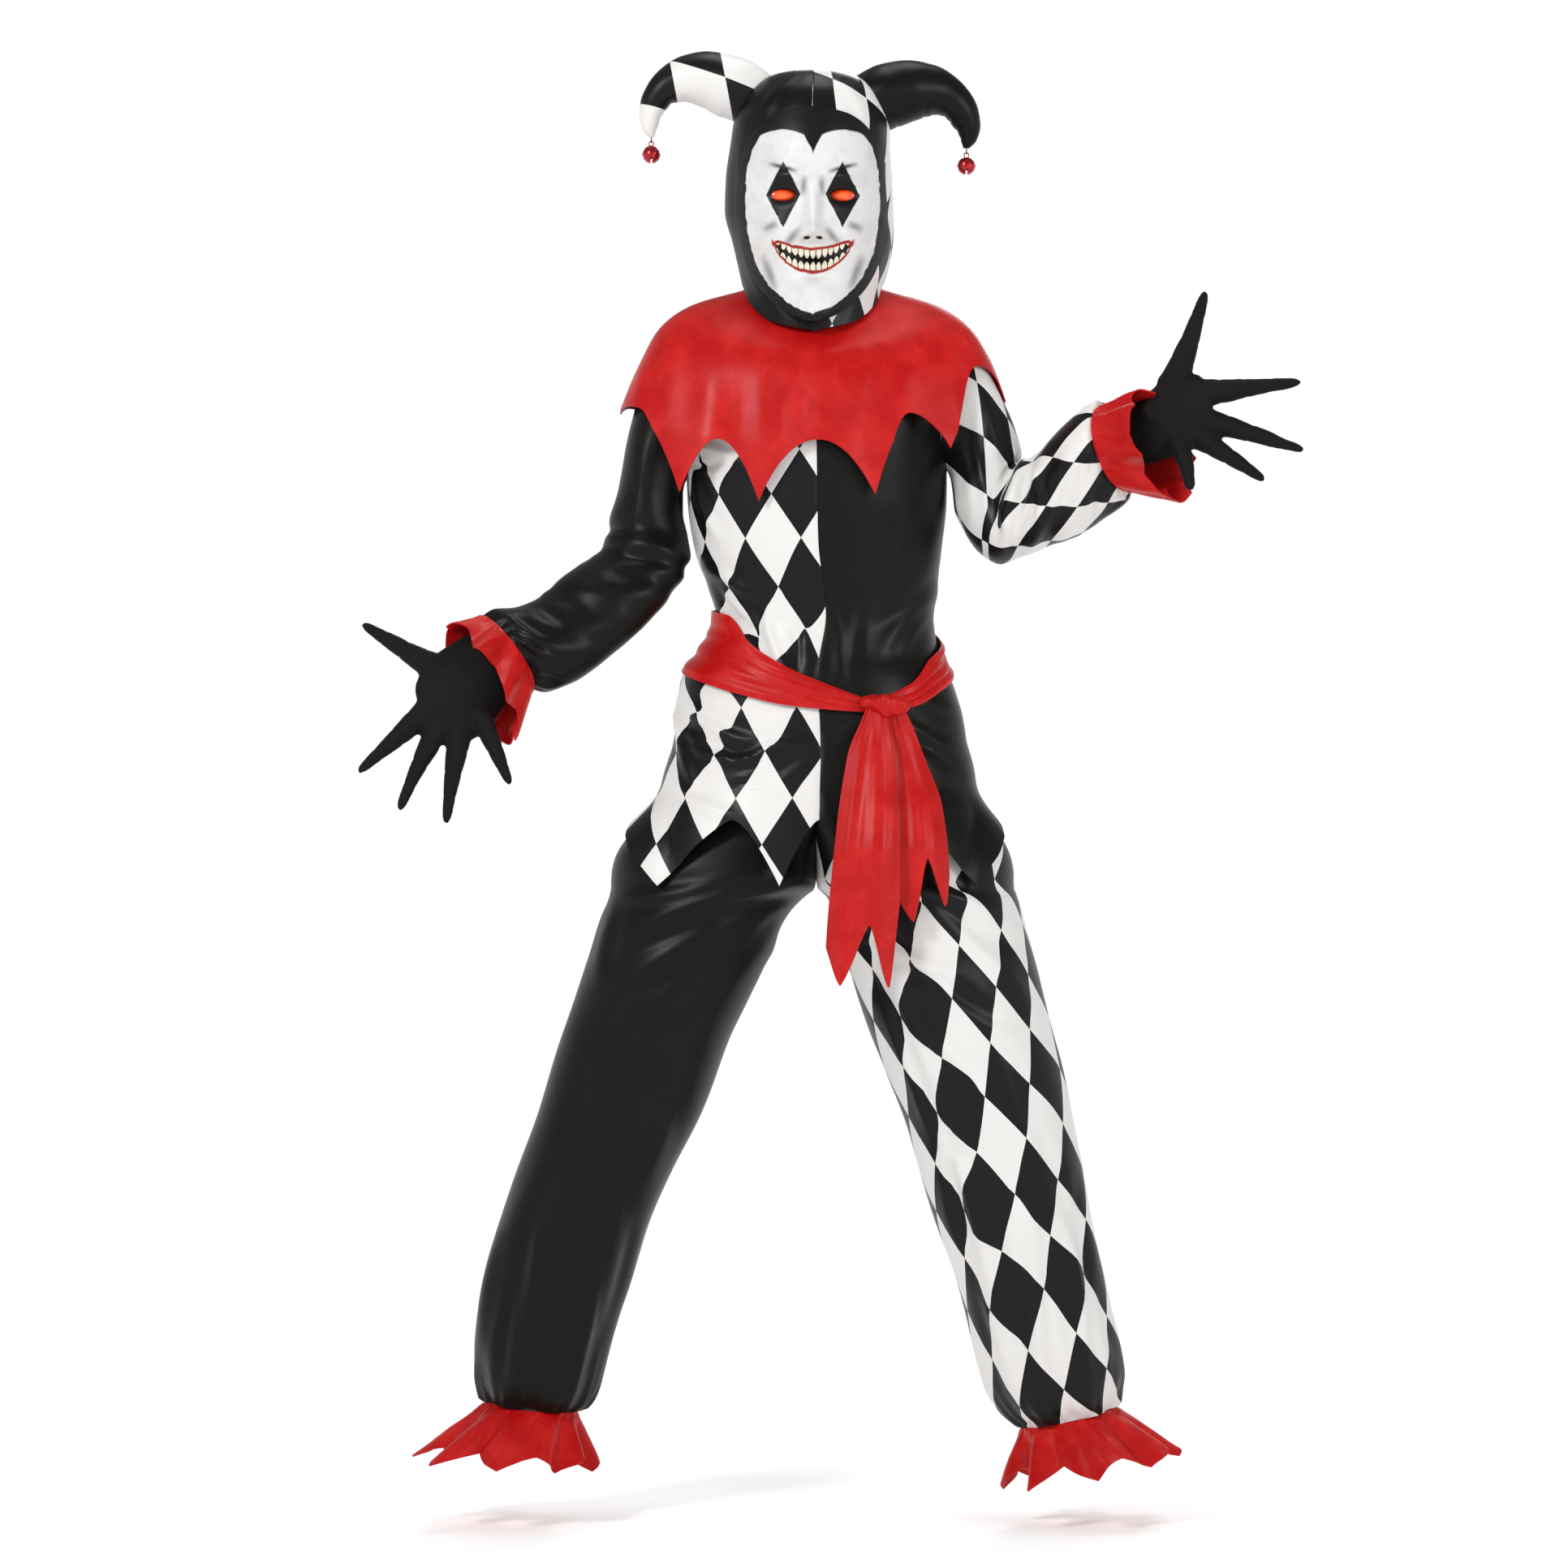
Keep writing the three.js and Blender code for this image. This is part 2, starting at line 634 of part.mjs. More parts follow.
// A section of the hips and one leg: around runs from the inner front, over the outside, to the inner back.
function trouserPoint(side, around, z) {
  const hips = rowAt(HIPS, z);
  const leg = rowAt(side < 0 ? LEG_LEFT : LEG_RIGHT, z);
  const turn = Math.PI * around;
  const out = side < 0 ? -hips.left : hips.right;
  const forward = signedPower(Math.cos(turn), 2 / hips.square);
  const hipPoint = vector(
    side * out * signedPower(Math.sin(turn), 2 / hips.square),
    -(forward > 0 ? hips.front : hips.back) * forward,
    z,
  );
  const bottom = side < 0 ? LEG_LEFT.at(-1).z : LEG_RIGHT.at(-1).z;
  const gathered = Math.max(0, 1 - (z - bottom) / LEG_GATHERS.reach);
  const swell = LEG_GATHERS.depth * gathered * Math.cos(LEG_GATHERS.count * 2 * turn);
  const legPoint = vector(
    leg.middle - side * (leg.half + swell) * Math.cos(2 * turn),
    leg.front - (leg.depth + swell) * Math.sin(2 * turn),
    z - side * leg.slope * Math.cos(2 * turn),
  );
  const below = THREE.MathUtils.smoothstep(-z, -CROTCH.starts, -CROTCH.ends);
  const point = hipPoint.lerp(legPoint, below);
  point.x = side * Math.max(side * point.x, SEAM / 2);
  return point;
}

function makeLegs() {
  for (const [name, side, finish] of [["left", -1, FINISH.black], ["right", 1, FINISH.harlequin]]) {
    const edge = SEAM / 600;
    const grid = LEG_LEVELS[name].map((z) => Array.from({ length: LEG_COLUMNS + 1 }, (_, c) =>
      trouserPoint(side, THREE.MathUtils.lerp(edge, 1 - edge, c / LEG_COLUMNS), z)));
    addPiece("leg_" + name, clothWall(grid, SATIN, false, -side), finish);
  }
}

// Farthest reach of the trousers from the body's axis in one direction at one height.
function trouserReach(direction, z) {
  let reach = 0;
  for (const side of [-1, 1]) {
    for (let i = 0; i < LEG_COLUMNS; i += 1) {
      const a = trouserPoint(side, i / LEG_COLUMNS, z);
      const b = trouserPoint(side, (i + 1) / LEG_COLUMNS, z);
      const edge = b.clone().sub(a);
      const across = direction.x * edge.y - direction.y * edge.x;
      if (Math.abs(across) < 1e-9) continue;
      const distance = (a.x * edge.y - a.y * edge.x) / across;
      const along = (a.x * direction.y - a.y * direction.x) / across;
      if (along >= -0.02 && along <= 1.02) reach = Math.max(reach, distance);
    }
  }
  return reach;
}

// Tunic

// A point of the tunic: angle 0 is the centre front and 90 degrees is the left side seam.
function tunicPoint(angle, z) {
  const row = rowAt(TUNIC, z);
  const [sine, cosine] = [Math.sin(angle * DEGREE), Math.cos(angle * DEGREE)];
  const half = (row.right - row.left) / 2;
  const depth = cosine > 0 ? row.front : row.back;
  const reach = (Math.abs(sine / half) ** row.square + Math.abs(cosine / depth) ** row.square)
    ** (-1 / row.square);
  const forward = signedPower((reach * cosine) / depth, row.square / 2);
  const point = vector((row.left + row.right) / 2 - reach * sine, -reach * cosine, z);
  if (z < TUNIC_OVER_LEGS) {
    const direction = vector(point.x, point.y, 0).normalize();
    const radius = Math.hypot(point.x, point.y);
    const clear = trouserReach(direction, z) + TUNIC_CLEAR;
    if (clear > radius) point.addScaledVector(direction, clear - radius);
  }
  const fade = THREE.MathUtils.smoothstep(z, TUNIC_TOP - NECK_DROP.fades, TUNIC_TOP);
  const drop = forward > 0 ? NECK_DROP.front : NECK_DROP.back;
  point.z -= drop * Math.abs(forward) ** NECK_DROP.sweep * fade;
  return point;
}

// Angles of the columns of one quarter of the tunic: the points of the hem fall on columns.
function quarterAngles(from) {
  const mirrored = from % 180 !== 0;
  const angles = mirrored ? QUARTER_ANGLES.map((angle) => 90 - angle).reverse() : QUARTER_ANGLES;
  return angles.map((angle) => from + angle);
}

// The outer grid of the tunic over a run of angles, down to the pointed hem.
function tunicGrid(angles) {
  const hemZ = (angle) => THREE.MathUtils.lerp(TUNIC_HEM.arch, TUNIC_HEM.tip,
    edgePoint(angle, TUNIC_TIPS, TUNIC_HEM.bow));
  const rows = TUNIC_LEVELS.map((z) => angles.map((angle) => tunicPoint(angle, z)));
  const last = TUNIC_LEVELS.at(-1);
  for (const part of SKIRT_ROWS) {
    rows.push(angles.map((angle) => tunicPoint(angle, THREE.MathUtils.lerp(last, hemZ(angle), part))));
  }
  return rows;
}

// The tunic filled to its outer face moved out by a distance, for cutting what joins it.
function tunicCore(distance) {
  const angles = [0, 90, 180, 270].flatMap((from) => quarterAngles(from).slice(0, -1));
  const grid = TUNIC_LEVELS.map((z) => angles.map((angle) => tunicPoint(angle, z)));
  return solidOf(filledRings(movedGrid(grid, distance, true)));
}

function makeTunic(sleeveCores) {
  const quarters = [
    ["tunic_front_left", 0, FINISH.harlequin],
    ["tunic_back_left", 90, FINISH.harlequin],
    ["tunic_back_right", 180, FINISH.black],
    ["tunic_front_right", 270, FINISH.black],
  ];
  for (const [name, from, finish] of quarters) {
    let solid = solidOf(seamedPanel(tunicGrid, quarterAngles(from), SATIN));
    for (const core of sleeveCores) solid = solid.subtract(core);
    addPiece(name, geometryFrom(solid), finish);
  }
}

// Sleeves

// A point of a sleeve: round 0 lies on the outer side of its outline.
function sleevePoint(rows, folds, place, round) {
  const row = rowAt(rows, place);
  const turn = round * DEGREE;
  const across = vector((row.outerX - row.innerX) / 2, 0, (row.outerZ - row.innerZ) / 2);
  const deep = vector(Math.sin(row.turn * DEGREE), -Math.cos(row.turn * DEGREE), 0).multiplyScalar(row.depth);
  const out = across.clone().multiplyScalar(Math.cos(turn)).addScaledVector(deep, Math.sin(turn));
  const gathered = Math.max(0, (place - SLEEVE_GATHERS.from) / (rows.length - 1 - SLEEVE_GATHERS.from));
  let swell = SLEEVE_GATHERS.depth * gathered * Math.cos(SLEEVE_GATHERS.count * turn);
  for (const fold of folds) {
    const apart = ((round - fold.round + 540) % 360) - 180;
    swell -= fold.depth * Math.exp(-(((place - fold.place) / fold.width) ** 2) - (apart / fold.spread) ** 2);
  }
  const centre = vector((row.outerX + row.innerX) / 2, row.y, (row.outerZ + row.innerZ) / 2);
  return centre.add(out).addScaledVector(out.clone().normalize(), swell);
}

function sleeveGrid(name) {
  const rows = name === "left" ? SLEEVE_LEFT : SLEEVE_RIGHT;
  return Array.from({ length: SLEEVE_ROWS }, (_, r) => Array.from({ length: SLEEVE_COLUMNS }, (_, c) =>
    sleevePoint(rows, SLEEVE_FOLDS[name], (r * (rows.length - 1)) / (SLEEVE_ROWS - 1),
      (c * 360) / SLEEVE_COLUMNS)));
}

// Which way the columns of a closed grid run round, by the volume it would fill.
function gridSide(grid) {
  const normals = gridNormals(grid, true);
  const middle = Math.floor(grid.length / 2);
  const centre = grid[middle].reduce((a, b) => a.clone().add(b), vector(0, 0, 0)).divideScalar(grid[0].length);
  return Math.sign(grid[middle][0].clone().sub(centre).dot(normals[middle][0]));
}

function makeSleeves(core) {
  for (const [name, finish] of [["left", FINISH.black], ["right", FINISH.harlequin]]) {
    const grid = sleeveGrid(name);
    const wall = solidOf(clothWall(grid, SATIN, true, gridSide(grid)));
    addPiece("sleeve_" + name, geometryFrom(wall.subtract(core)), finish);
  }
}

// Collar

function collarPoint(angle, place) {
  const row = rowAt(COLLAR, Math.min(place, 1));
  const turn = angle * DEGREE;
  const [sine, cosine] = [Math.sin(turn), Math.cos(turn)];
  const beyond = Math.max(0, place - 1);
  const fold = COLLAR_FOLDS.depth * Math.max(0, place - COLLAR_FOLDS.from) * Math.cos(COLLAR_FOLDS.count * turn);
  const forward = Math.abs(cosine) ** NECK_DROP.sweep;
  const side = row.side + fold + COLLAR_PAST.side * beyond;
  const depth = (cosine > 0 ? row.front : row.back) + fold + COLLAR_PAST.front * beyond;
  return vector(
    -side * signedPower(sine, 2 / COLLAR_SQUARE),
    -depth * signedPower(cosine, 2 / COLLAR_SQUARE),
    THREE.MathUtils.lerp(row.sideZ, cosine > 0 ? row.frontZ : row.backZ, forward) - COLLAR_PAST.fall * beyond,
  );
}

// How far the collar's edge reaches at an angle: round arches between points.
function collarReach(angle) {
  const count = COLLAR_EDGE.length;
  const turn = ((angle % 360) + 360) % 360;
  let i = COLLAR_EDGE.findIndex((row) => row.angle > turn + 1e-9) - 1;
  if (i < 0) i = count - 1;
  const [row, next] = [COLLAR_EDGE[i], COLLAR_EDGE[(i + 1) % count]];
  const span = (next.angle - row.angle + 360) % 360;
  const between = ((turn - row.angle + 360) % 360) / span;
  const tip = between < 0.5 ? row.tip : next.tip;
  return THREE.MathUtils.lerp(row.arch, tip, Math.abs(2 * between - 1) ** COLLAR_BOW);
}

// Whether the tunic's outline holds a point.
function insideTunic(point) {
  const depth = (row) => (point.y < 0 ? row.front : row.back);
  let row = rowAt(TUNIC, point.z);
  for (let i = 0; i < 5; i += 1) {
    const forward = Math.min(1, (Math.abs(point.y) / depth(row)) ** (row.square / 2));
    const fade = THREE.MathUtils.smoothstep(row.z, TUNIC_TOP - NECK_DROP.fades, TUNIC_TOP);
    const drop = point.y < 0 ? NECK_DROP.front : NECK_DROP.back;
    row = rowAt(TUNIC, Math.min(TUNIC_TOP, point.z + drop * forward ** NECK_DROP.sweep * fade));
  }
  const across = Math.abs(point.x - (row.left + row.right) / 2) / ((row.right - row.left) / 2);
  return across ** row.square + (Math.abs(point.y) / depth(row)) ** row.square < 1;
}

// Moves each point of a closed grid along its normal until what is under it keeps clear.
function laidOn(grid, clear, inside) {
  const normals = gridNormals(grid, true);
  return grid.map((row, r) => row.map((point, c) => {
    const moved = point.clone();
    for (let i = 0; i < 40 && inside(moved.clone().addScaledVector(normals[r][c], -clear)); i += 1) {
      moved.addScaledVector(normals[r][c], LAID_STEP);
    }
    return moved;
  }));
}

function makeCollar() {
  const angles = COLLAR_EDGE.flatMap((row, i) => {
    const next = i + 1 < COLLAR_EDGE.length ? COLLAR_EDGE[i + 1].angle : COLLAR_EDGE[0].angle + 360;
    return Array.from({ length: COLLAR_STEPS }, (_, step) =>
      THREE.MathUtils.lerp(row.angle, next, step / COLLAR_STEPS));
  });
  const grid = COLLAR_PLACES.map((part) => angles.map((angle) =>
    collarPoint(angle, part * collarReach(angle))));
  const laid = laidOn(grid, LEATHERETTE + LAID_CLEAR, insideTunic);
  const wall = solidOf(clothWall(laid, LEATHERETTE, true));
  addPiece("collar", geometryFrom(wall.subtract(tunicCore(CUT_CLEAR))), FINISH.red);
}

// Ruffles

// A gathered ruffle from a seam ring to its free edge, with waves that grow and points cut into the edge.
function makeRuffle(name, seam) {
  const size = RUFFLES[name];
  const free = { centre: vector(...size.centre), across: vector(...size.across), deep: vector(...size.deep) };
  const on = (ring, turn) => ring.centre.clone()
    .addScaledVector(ring.across, Math.cos(turn)).addScaledVector(ring.deep, Math.sin(turn));
  const grid = RUFFLE_PLACES.map((place) => Array.from({ length: size.columns }, (_, c) => {
    const turn = (c * 2 * Math.PI) / size.columns;
    const [top, bottom] = [on(seam, turn), on(free, turn)];
    const run = bottom.clone().sub(top).normalize();
    const out = bottom.clone().sub(free.centre).normalize();
    const saw = Math.abs(2 * (((size.tips * turn) / (2 * Math.PI)) % 1) - 1);
    return top.lerp(bottom, place)
      .addScaledVector(out, size.wave * place * Math.sin(size.waves * turn))
      .addScaledVector(run, size.tip * place ** 3 * saw);
  }));
  addPiece(name, clothWall(grid, LEATHERETTE, true, gridSide(grid)), FINISH.red);
}

// The ring that ends a grid, as a centre and two half axes, moved on by a distance.
function seamRing(grid, onward) {
  const ring = grid.at(-1);
  const centre = ring.reduce((a, b) => a.clone().add(b), vector(0, 0, 0)).divideScalar(ring.length);
  const across = ring[0].clone().sub(centre);
  const deep = ring[Math.round(ring.length / 4)].clone().sub(centre);
  return { centre: centre.add(onward), across, deep };
}

function makeRuffles() {
  for (const [name, rows] of [["left", LEG_LEFT], ["right", LEG_RIGHT]]) {
    const hem = rows.at(-1);
    makeRuffle("ankle_ruffle_" + name, {
      centre: vector(hem.middle, hem.front, hem.z - CUT_CLEAR),
      across: vector(hem.half - 1, 0, hem.slope),
      deep: vector(0, hem.depth - 1, 0),
    });
  }
  for (const name of ["left", "right"]) {
    const grid = sleeveGrid(name);
    const along = vector(...RUFFLES["wrist_ruffle_" + name].centre).sub(seamRing(grid, vector(0, 0, 0)).centre);
    makeRuffle("wrist_ruffle_" + name, seamRing(grid, along.normalize().multiplyScalar(WRIST_GAP)));
  }
}

// Sash

function sashPoint(angle, across, out) {
  const row = rowAt(SASH, angle);
  const z = THREE.MathUtils.lerp(row.upper, row.lower, across);
  const point = tunicPoint(angle, z);
  const direction = vector(point.x, point.y, 0).normalize();
  const pleat = SASH_PLEATS.depth * Math.sin(SASH_PLEATS.count * 2 * Math.PI * across) ** 2;
  return point.addScaledVector(direction, out + pleat);
}

function makeSash() {
  const [first, last] = [SASH[0].angle, SASH.at(-1).angle];
  const rest = LEATHERETTE + SASH_CLEAR;
  const grid = Array.from({ length: SASH_ROWS + 1 }, (_, r) => Array.from({ length: SASH_COLUMNS + 1 }, (_, c) =>
    sashPoint(THREE.MathUtils.lerp(first, last, c / SASH_COLUMNS), r / SASH_ROWS, rest)));
  addPiece("sash_band", clothWall(grid, LEATHERETTE, false), FINISH.red);
  const front = frontOfTunic(KNOT.x, KNOT.z);
  const rings = Array.from({ length: KNOT.rings }, (_, r) => {
    const along = -1 + (2 * (r + 0.35)) / (KNOT.rings - 0.3);
    const swell = Math.sqrt(Math.max(0.05, 1 - along * along)) * (1 + 0.12 * Math.cos(6 * along));
    return Array.from({ length: KNOT.sides }, (_, c) => {
      const turn = (c * 2 * Math.PI) / KNOT.sides;
      return vector(
        KNOT.x + KNOT.half * along,
        front - KNOT.stands + KNOT.depth * swell * Math.cos(turn),
        KNOT.z - 3 * along + KNOT.height * swell * Math.sin(turn),
      );
    });
  });
  addPiece("sash_knot", filledRings(rings), FINISH.red);
  for (const [name, tail] of Object.entries(TAILS)) makeTail(name, tail);
}

// Where the front of the tunic lies at a place in the front view.
function frontOfTunic(x, z) {
  const row = rowAt(TUNIC, z);
  const apart = Math.min(0.98, Math.abs(x - (row.left + row.right) / 2) / ((row.right - row.left) / 2));
  return -row.front * (1 - apart ** row.square) ** (1 / row.square);
}

function makeTail(name, tail) {
  const top = tail.edges[0].z;
  const grid = Array.from({ length: TAIL_ROWS + 1 }, (_, r) => Array.from({ length: TAIL_COLUMNS + 1 }, (_, c) => {
    const across = c / TAIL_COLUMNS;
    const z = THREE.MathUtils.lerp(top, rowAt(tail.ends, across).z, r / TAIL_ROWS);
    const edge = rowAt(tail.edges, z);
    const opened = THREE.MathUtils.smoothstep(top - z, 0, TAIL_DRAPE.over);
    const fold = (TAIL_DRAPE.fold + TAIL_DRAPE.more * opened) * Math.cos(tail.folds * 2 * Math.PI * across);
    const x = THREE.MathUtils.lerp(edge.left, edge.right, across);
    const behind = frontOfTunic(x, Math.max(z, -640)) - TAIL_DRAPE.swing * opened;
    const settled = THREE.MathUtils.smoothstep(top - z, 0, TAIL_DRAPE.settles);
    return vector(x, behind - THREE.MathUtils.lerp(tail.hangs, tail.stands, settled) - fold, z);
  }));
  addPiece(name, clothWall(grid, LEATHERETTE, false, -1), FINISH.red);
}

// Hood

function hoodPoint(angle, z) {
  const row = rowAt(HOOD, z);
  const turn = angle * DEGREE;
  return vector(row.middle - row.half * Math.sin(turn), row.centre - row.depth * Math.cos(turn), z);
}

function hoodGrid(angles) {
  const rows = HOOD_LEVELS.map((z) => angles.map((angle) => hoodPoint(angle, z)));
  for (const part of [0.5, 1]) {
    rows.push(angles.map((angle) => {
      const folded = Math.abs(((angle + 540) % 360) - 180);
      const edge = rowAt(HOOD_EDGE, folded).z;
      return hoodPoint(angle, THREE.MathUtils.lerp(HOOD_LEVELS.at(-1), edge, part));
    }));
  }
  return rows;
}

// The hood filled to its outer face moved out by a distance.
function hoodCore(distance) {
  const angles = Array.from({ length: 4 * HOOD_COLUMNS }, (_, i) => (i * 90) / HOOD_COLUMNS);
  return solidOf(filledRings(movedGrid(hoodGrid(angles), distance, true)));
}

// An oval rod along the depth, for cutting openings into the front.
function ovalRod(x, z, half, upper, lower, fromY, toY, sides) {
  const ring = (y) => Array.from({ length: sides }, (_, i) => {
    const turn = (i * 2 * Math.PI) / sides;
    const height = Math.sin(turn) > 0 ? upper : lower;
    return vector(x + half * Math.cos(turn), y, z + height * Math.sin(turn));
  });
  return solidOf(filledRings([ring(fromY), ring(toY)]));
}

function makeHood() {
  const opening = ovalRod(FACE_OPENING.x, FACE_OPENING.z, FACE_OPENING.half, FACE_OPENING.height,
    FACE_OPENING.lower, ...FRONT_CUT, 28);
  const panels = [
    ["hood_front_left", 0, FINISH.black],
    ["hood_back_left", 90, FINISH.harlequin],
    ["hood_back_right", 180, FINISH.black],
    ["hood_front_right", 270, FINISH.harlequin],
  ];
  for (const [name, from, finish] of panels) {
    const angles = Array.from({ length: HOOD_COLUMNS + 1 }, (_, i) =>
      from + (i * 90) / HOOD_COLUMNS);
    let solid = solidOf(seamedPanel(hoodGrid, angles, SATIN));
    if (name.includes("front")) solid = solid.subtract(opening);
    addPiece(name, geometryFrom(solid), finish);
  }
}

function makeHorns() {
  const core = hoodCore(CUT_CLEAR);
  for (const [name, rows, finish] of [
    ["left", HORN_LEFT, FINISH.harlequin],
    ["right", HORN_RIGHT, FINISH.black],
  ]) {
    const rings = rows.map((row) => Array.from({ length: HORN_SIDES }, (_, c) => {
      const turn = (c * 2 * Math.PI) / HORN_SIDES;
      const half = Math.hypot(row.outerX - row.innerX, row.outerZ - row.innerZ) / 2;
      return vector(
        (row.outerX + row.innerX) / 2 + ((row.outerX - row.innerX) / 2) * Math.cos(turn),
        HORN_DEPTH.centre + half * HORN_DEPTH.share * Math.sin(turn),
        (row.outerZ + row.innerZ) / 2 + ((row.outerZ - row.innerZ) / 2) * Math.cos(turn),
      );
    }));
    addPiece("horn_" + name, geometryFrom(solidOf(filledRings(rings)).subtract(core)), finish);
    makeBell(name, rows.at(-1));
  }
}

// A ring of round wire; its hole faces along Y, or along X when turned.
function wireRing(size, centre, turned) {
  const geometry = new THREE.TorusGeometry(size.radius, size.wire, 5, 8);
  geometry.rotateX(Math.PI / 2);
  if (turned) geometry.rotateZ(Math.PI / 2);
  return geometry.translate(centre.x, centre.y, centre.z);
}

function makeBell(name, tip) {
  const hang = vector((tip.outerX + tip.innerX) / 2, HORN_DEPTH.centre, tip.outerZ - SEAM - THREAD.radius * 2 - THREAD.wire);
  addPiece("bell_thread_" + name, wireRing(THREAD, vector(hang.x, hang.y, hang.z + THREAD.radius), true),
    FINISH.thread);
  const ring = hang.clone();
  ring.z -= SHANK.radius - SHANK.wire - THREAD.wire - CUT_CLEAR;
  const centre = vector(ring.x, ring.y, ring.z - BELL.radius - SHANK.radius + SHANK.wire);
  const ball = (radius, columns, rows) => new THREE.SphereGeometry(radius, columns, rows)
    .rotateX(Math.PI / 2).translate(centre.x, centre.y, centre.z);
  const belt = new THREE.CylinderGeometry(BELL.belt, BELL.belt, BELL.beltHeight, 10)
    .rotateX(Math.PI / 2).translate(centre.x, centre.y, centre.z);
  const slotZ = centre.z - BELL.radius;
  const slot = (x, y) => new THREE.BoxGeometry(x, y, BELL.slotDepth)
    .translate(centre.x, centre.y, slotZ + BELL.slotDepth / 2 - 1);
  const hollow = solidOf(ball(BELL.radius - BELL.wall, 8, 4));
  const shell = solidOf(ball(BELL.radius, 10, 6)).add(solidOf(belt)).subtract(hollow)
    .add(solidOf(wireRing(SHANK, ring, false)).subtract(hollow))
    .subtract(solidOf(slot(BELL.radius * 1.5, BELL.slot)))
    .subtract(solidOf(slot(BELL.slot, BELL.radius * 1.5)));
  addPiece("bell_" + name, geometryFrom(shell), FINISH.bell);
}

// Mask

function maskPoint(across, z) {
  const row = rowAt(MASK, z);
  const hood = rowAt(HOOD, z);
  const x = MASK_X + row.half * across;
  const apart = Math.min(0.97, Math.abs(x - hood.middle) / hood.half);
  const onHood = hood.centre - hood.depth * Math.sqrt(1 - apart * apart);
  const crown = THREE.MathUtils.lerp(row.edge, row.middle, 1 - Math.abs(across) ** 2.4);
  let relief = 0;
  for (const mark of FACE) {
    relief += mark.relief * Math.exp(-(((x - MASK_X - mark.x) / mark.wide) ** 2) - ((z - mark.z) / mark.high) ** 2);
  }
  return vector(x, onHood - MASK_REST - crown - relief, z);
}

function makeMask() {
  const grid = MASK_LEVELS.map((z) => Array.from({ length: MASK_COLUMNS + 1 }, (_, c) =>
    maskPoint(-1 + (2 * c) / MASK_COLUMNS, z)));
  let solid = solidOf(clothWall(grid, MASK_WALL, false, -1));
  for (const [name, side] of [["left", -1], ["right", 1]]) {
    const x = MASK_X + side * EYE.x;
    const hole = ovalRod(x, EYE.z, EYE.half, EYE.height, EYE.height, ...FRONT_CUT, EYE.sides);
    solid = solid.subtract(hole);
    const back = maskPoint((side * EYE.x) / rowAt(MASK, EYE.z).half, EYE.z).y + LENS.behind;
    const lens = ovalRod(x, EYE.z, EYE.half - SEAM, EYE.height - SEAM, EYE.height - SEAM,
      back - LENS.wall, back, EYE.sides);
    addPiece("mask_lens_" + name, geometryFrom(lens), FINISH.lens);
  }
  addPiece("mask", geometryFrom(solid.subtract(hoodCore(CUT_CLEAR))), FINISH.mask);
}

// Gloves

// A tapering tube through three points with a rounded tip.
function fingerSolid(finger, thinner) {
  const path = new THREE.QuadraticBezierCurve3(
    vector(finger.baseX, finger.baseY, finger.baseZ),
    vector(finger.bendX, finger.bendY, finger.bendZ),
    vector(finger.tipX, finger.tipY, finger.tipZ),
  );
  const rings = [0, 0.45, 0.92, 1].map((place) => {
    const at = path.getPoint(thinner > 0 ? place * 0.985 : place);
    const along = path.getTangent(place);
    const sideways = vector(0, 1, 0).cross(along).normalize();
    const deep = along.clone().cross(sideways);
    const taper = THREE.MathUtils.lerp(finger.base, finger.tip, place ** 0.85);
    const radius = (place === 1 ? taper * 0.55 : taper) - thinner;
    return Array.from({ length: FINGER_SIDES }, (_, i) => {
      const turn = (i * 2 * Math.PI) / FINGER_SIDES;
      return at.clone().addScaledVector(sideways, radius * Math.cos(turn))
        .addScaledVector(deep, Math.min(radius, FINGER_DEPTH - thinner) * Math.sin(turn));
    });
  });
  return solidOf(filledRings(rings));
}

function palmSolid(rows, thinner, longer) {
  const rings = rows.map((row, r) => {
    const across = vector(row.acrossX, 0, row.acrossZ);
    const half = across.length();
    return Array.from({ length: PALM_SIDES }, (_, i) => {
      const turn = (i * 2 * Math.PI) / PALM_SIDES;
      return vector(row.x, row.y, row.z).addScaledVector(longer, r === 0 ? 1 : 0)
        .addScaledVector(across, ((half - thinner) / half) * Math.cos(turn))
        .add(vector(0, (row.depth - thinner) * Math.sin(turn), 0));
    });
  });
  return solidOf(filledRings(rings));
}

function makeGloves() {
  for (const [name, hand] of Object.entries(HANDS)) {
    const [a, b] = hand.palm;
    const cuff = vector(a.x - b.x, a.y - b.y, a.z - b.z).normalize().multiplyScalar(CUFF_PAST);
    const glove = (thinner, longer) => hand.fingers.reduce(
      (solid, finger) => solid.add(fingerSolid(finger, thinner)), palmSolid(hand.palm, thinner, longer));
    const wall = glove(0, vector(0, 0, 0)).subtract(glove(KNIT, cuff));
    addPiece("glove_" + name, geometryFrom(wall), FINISH.knit);
  }
}

const cutters = ["left", "right"].map((name) => {
  const grid = sleeveGrid(name);
  return solidOf(filledRings(movedGrid(grid.slice(0, 8), gridSide(grid) * CUT_CLEAR, true)));
});
makeTunic(cutters);
makeSleeves(tunicCore(CUT_CLEAR));
makeCollar();
makeLegs();
makeRuffles();
makeSash();
makeHood();
makeHorns();
makeMask();
makeGloves();

export default costume;
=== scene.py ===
"""A jester costume as worn: satin suit, red collar, sash, ruffles, horned hood, mask and gloves."""

import logging
import math
import random
from dataclasses import dataclass
from enum import Enum
from types import SimpleNamespace

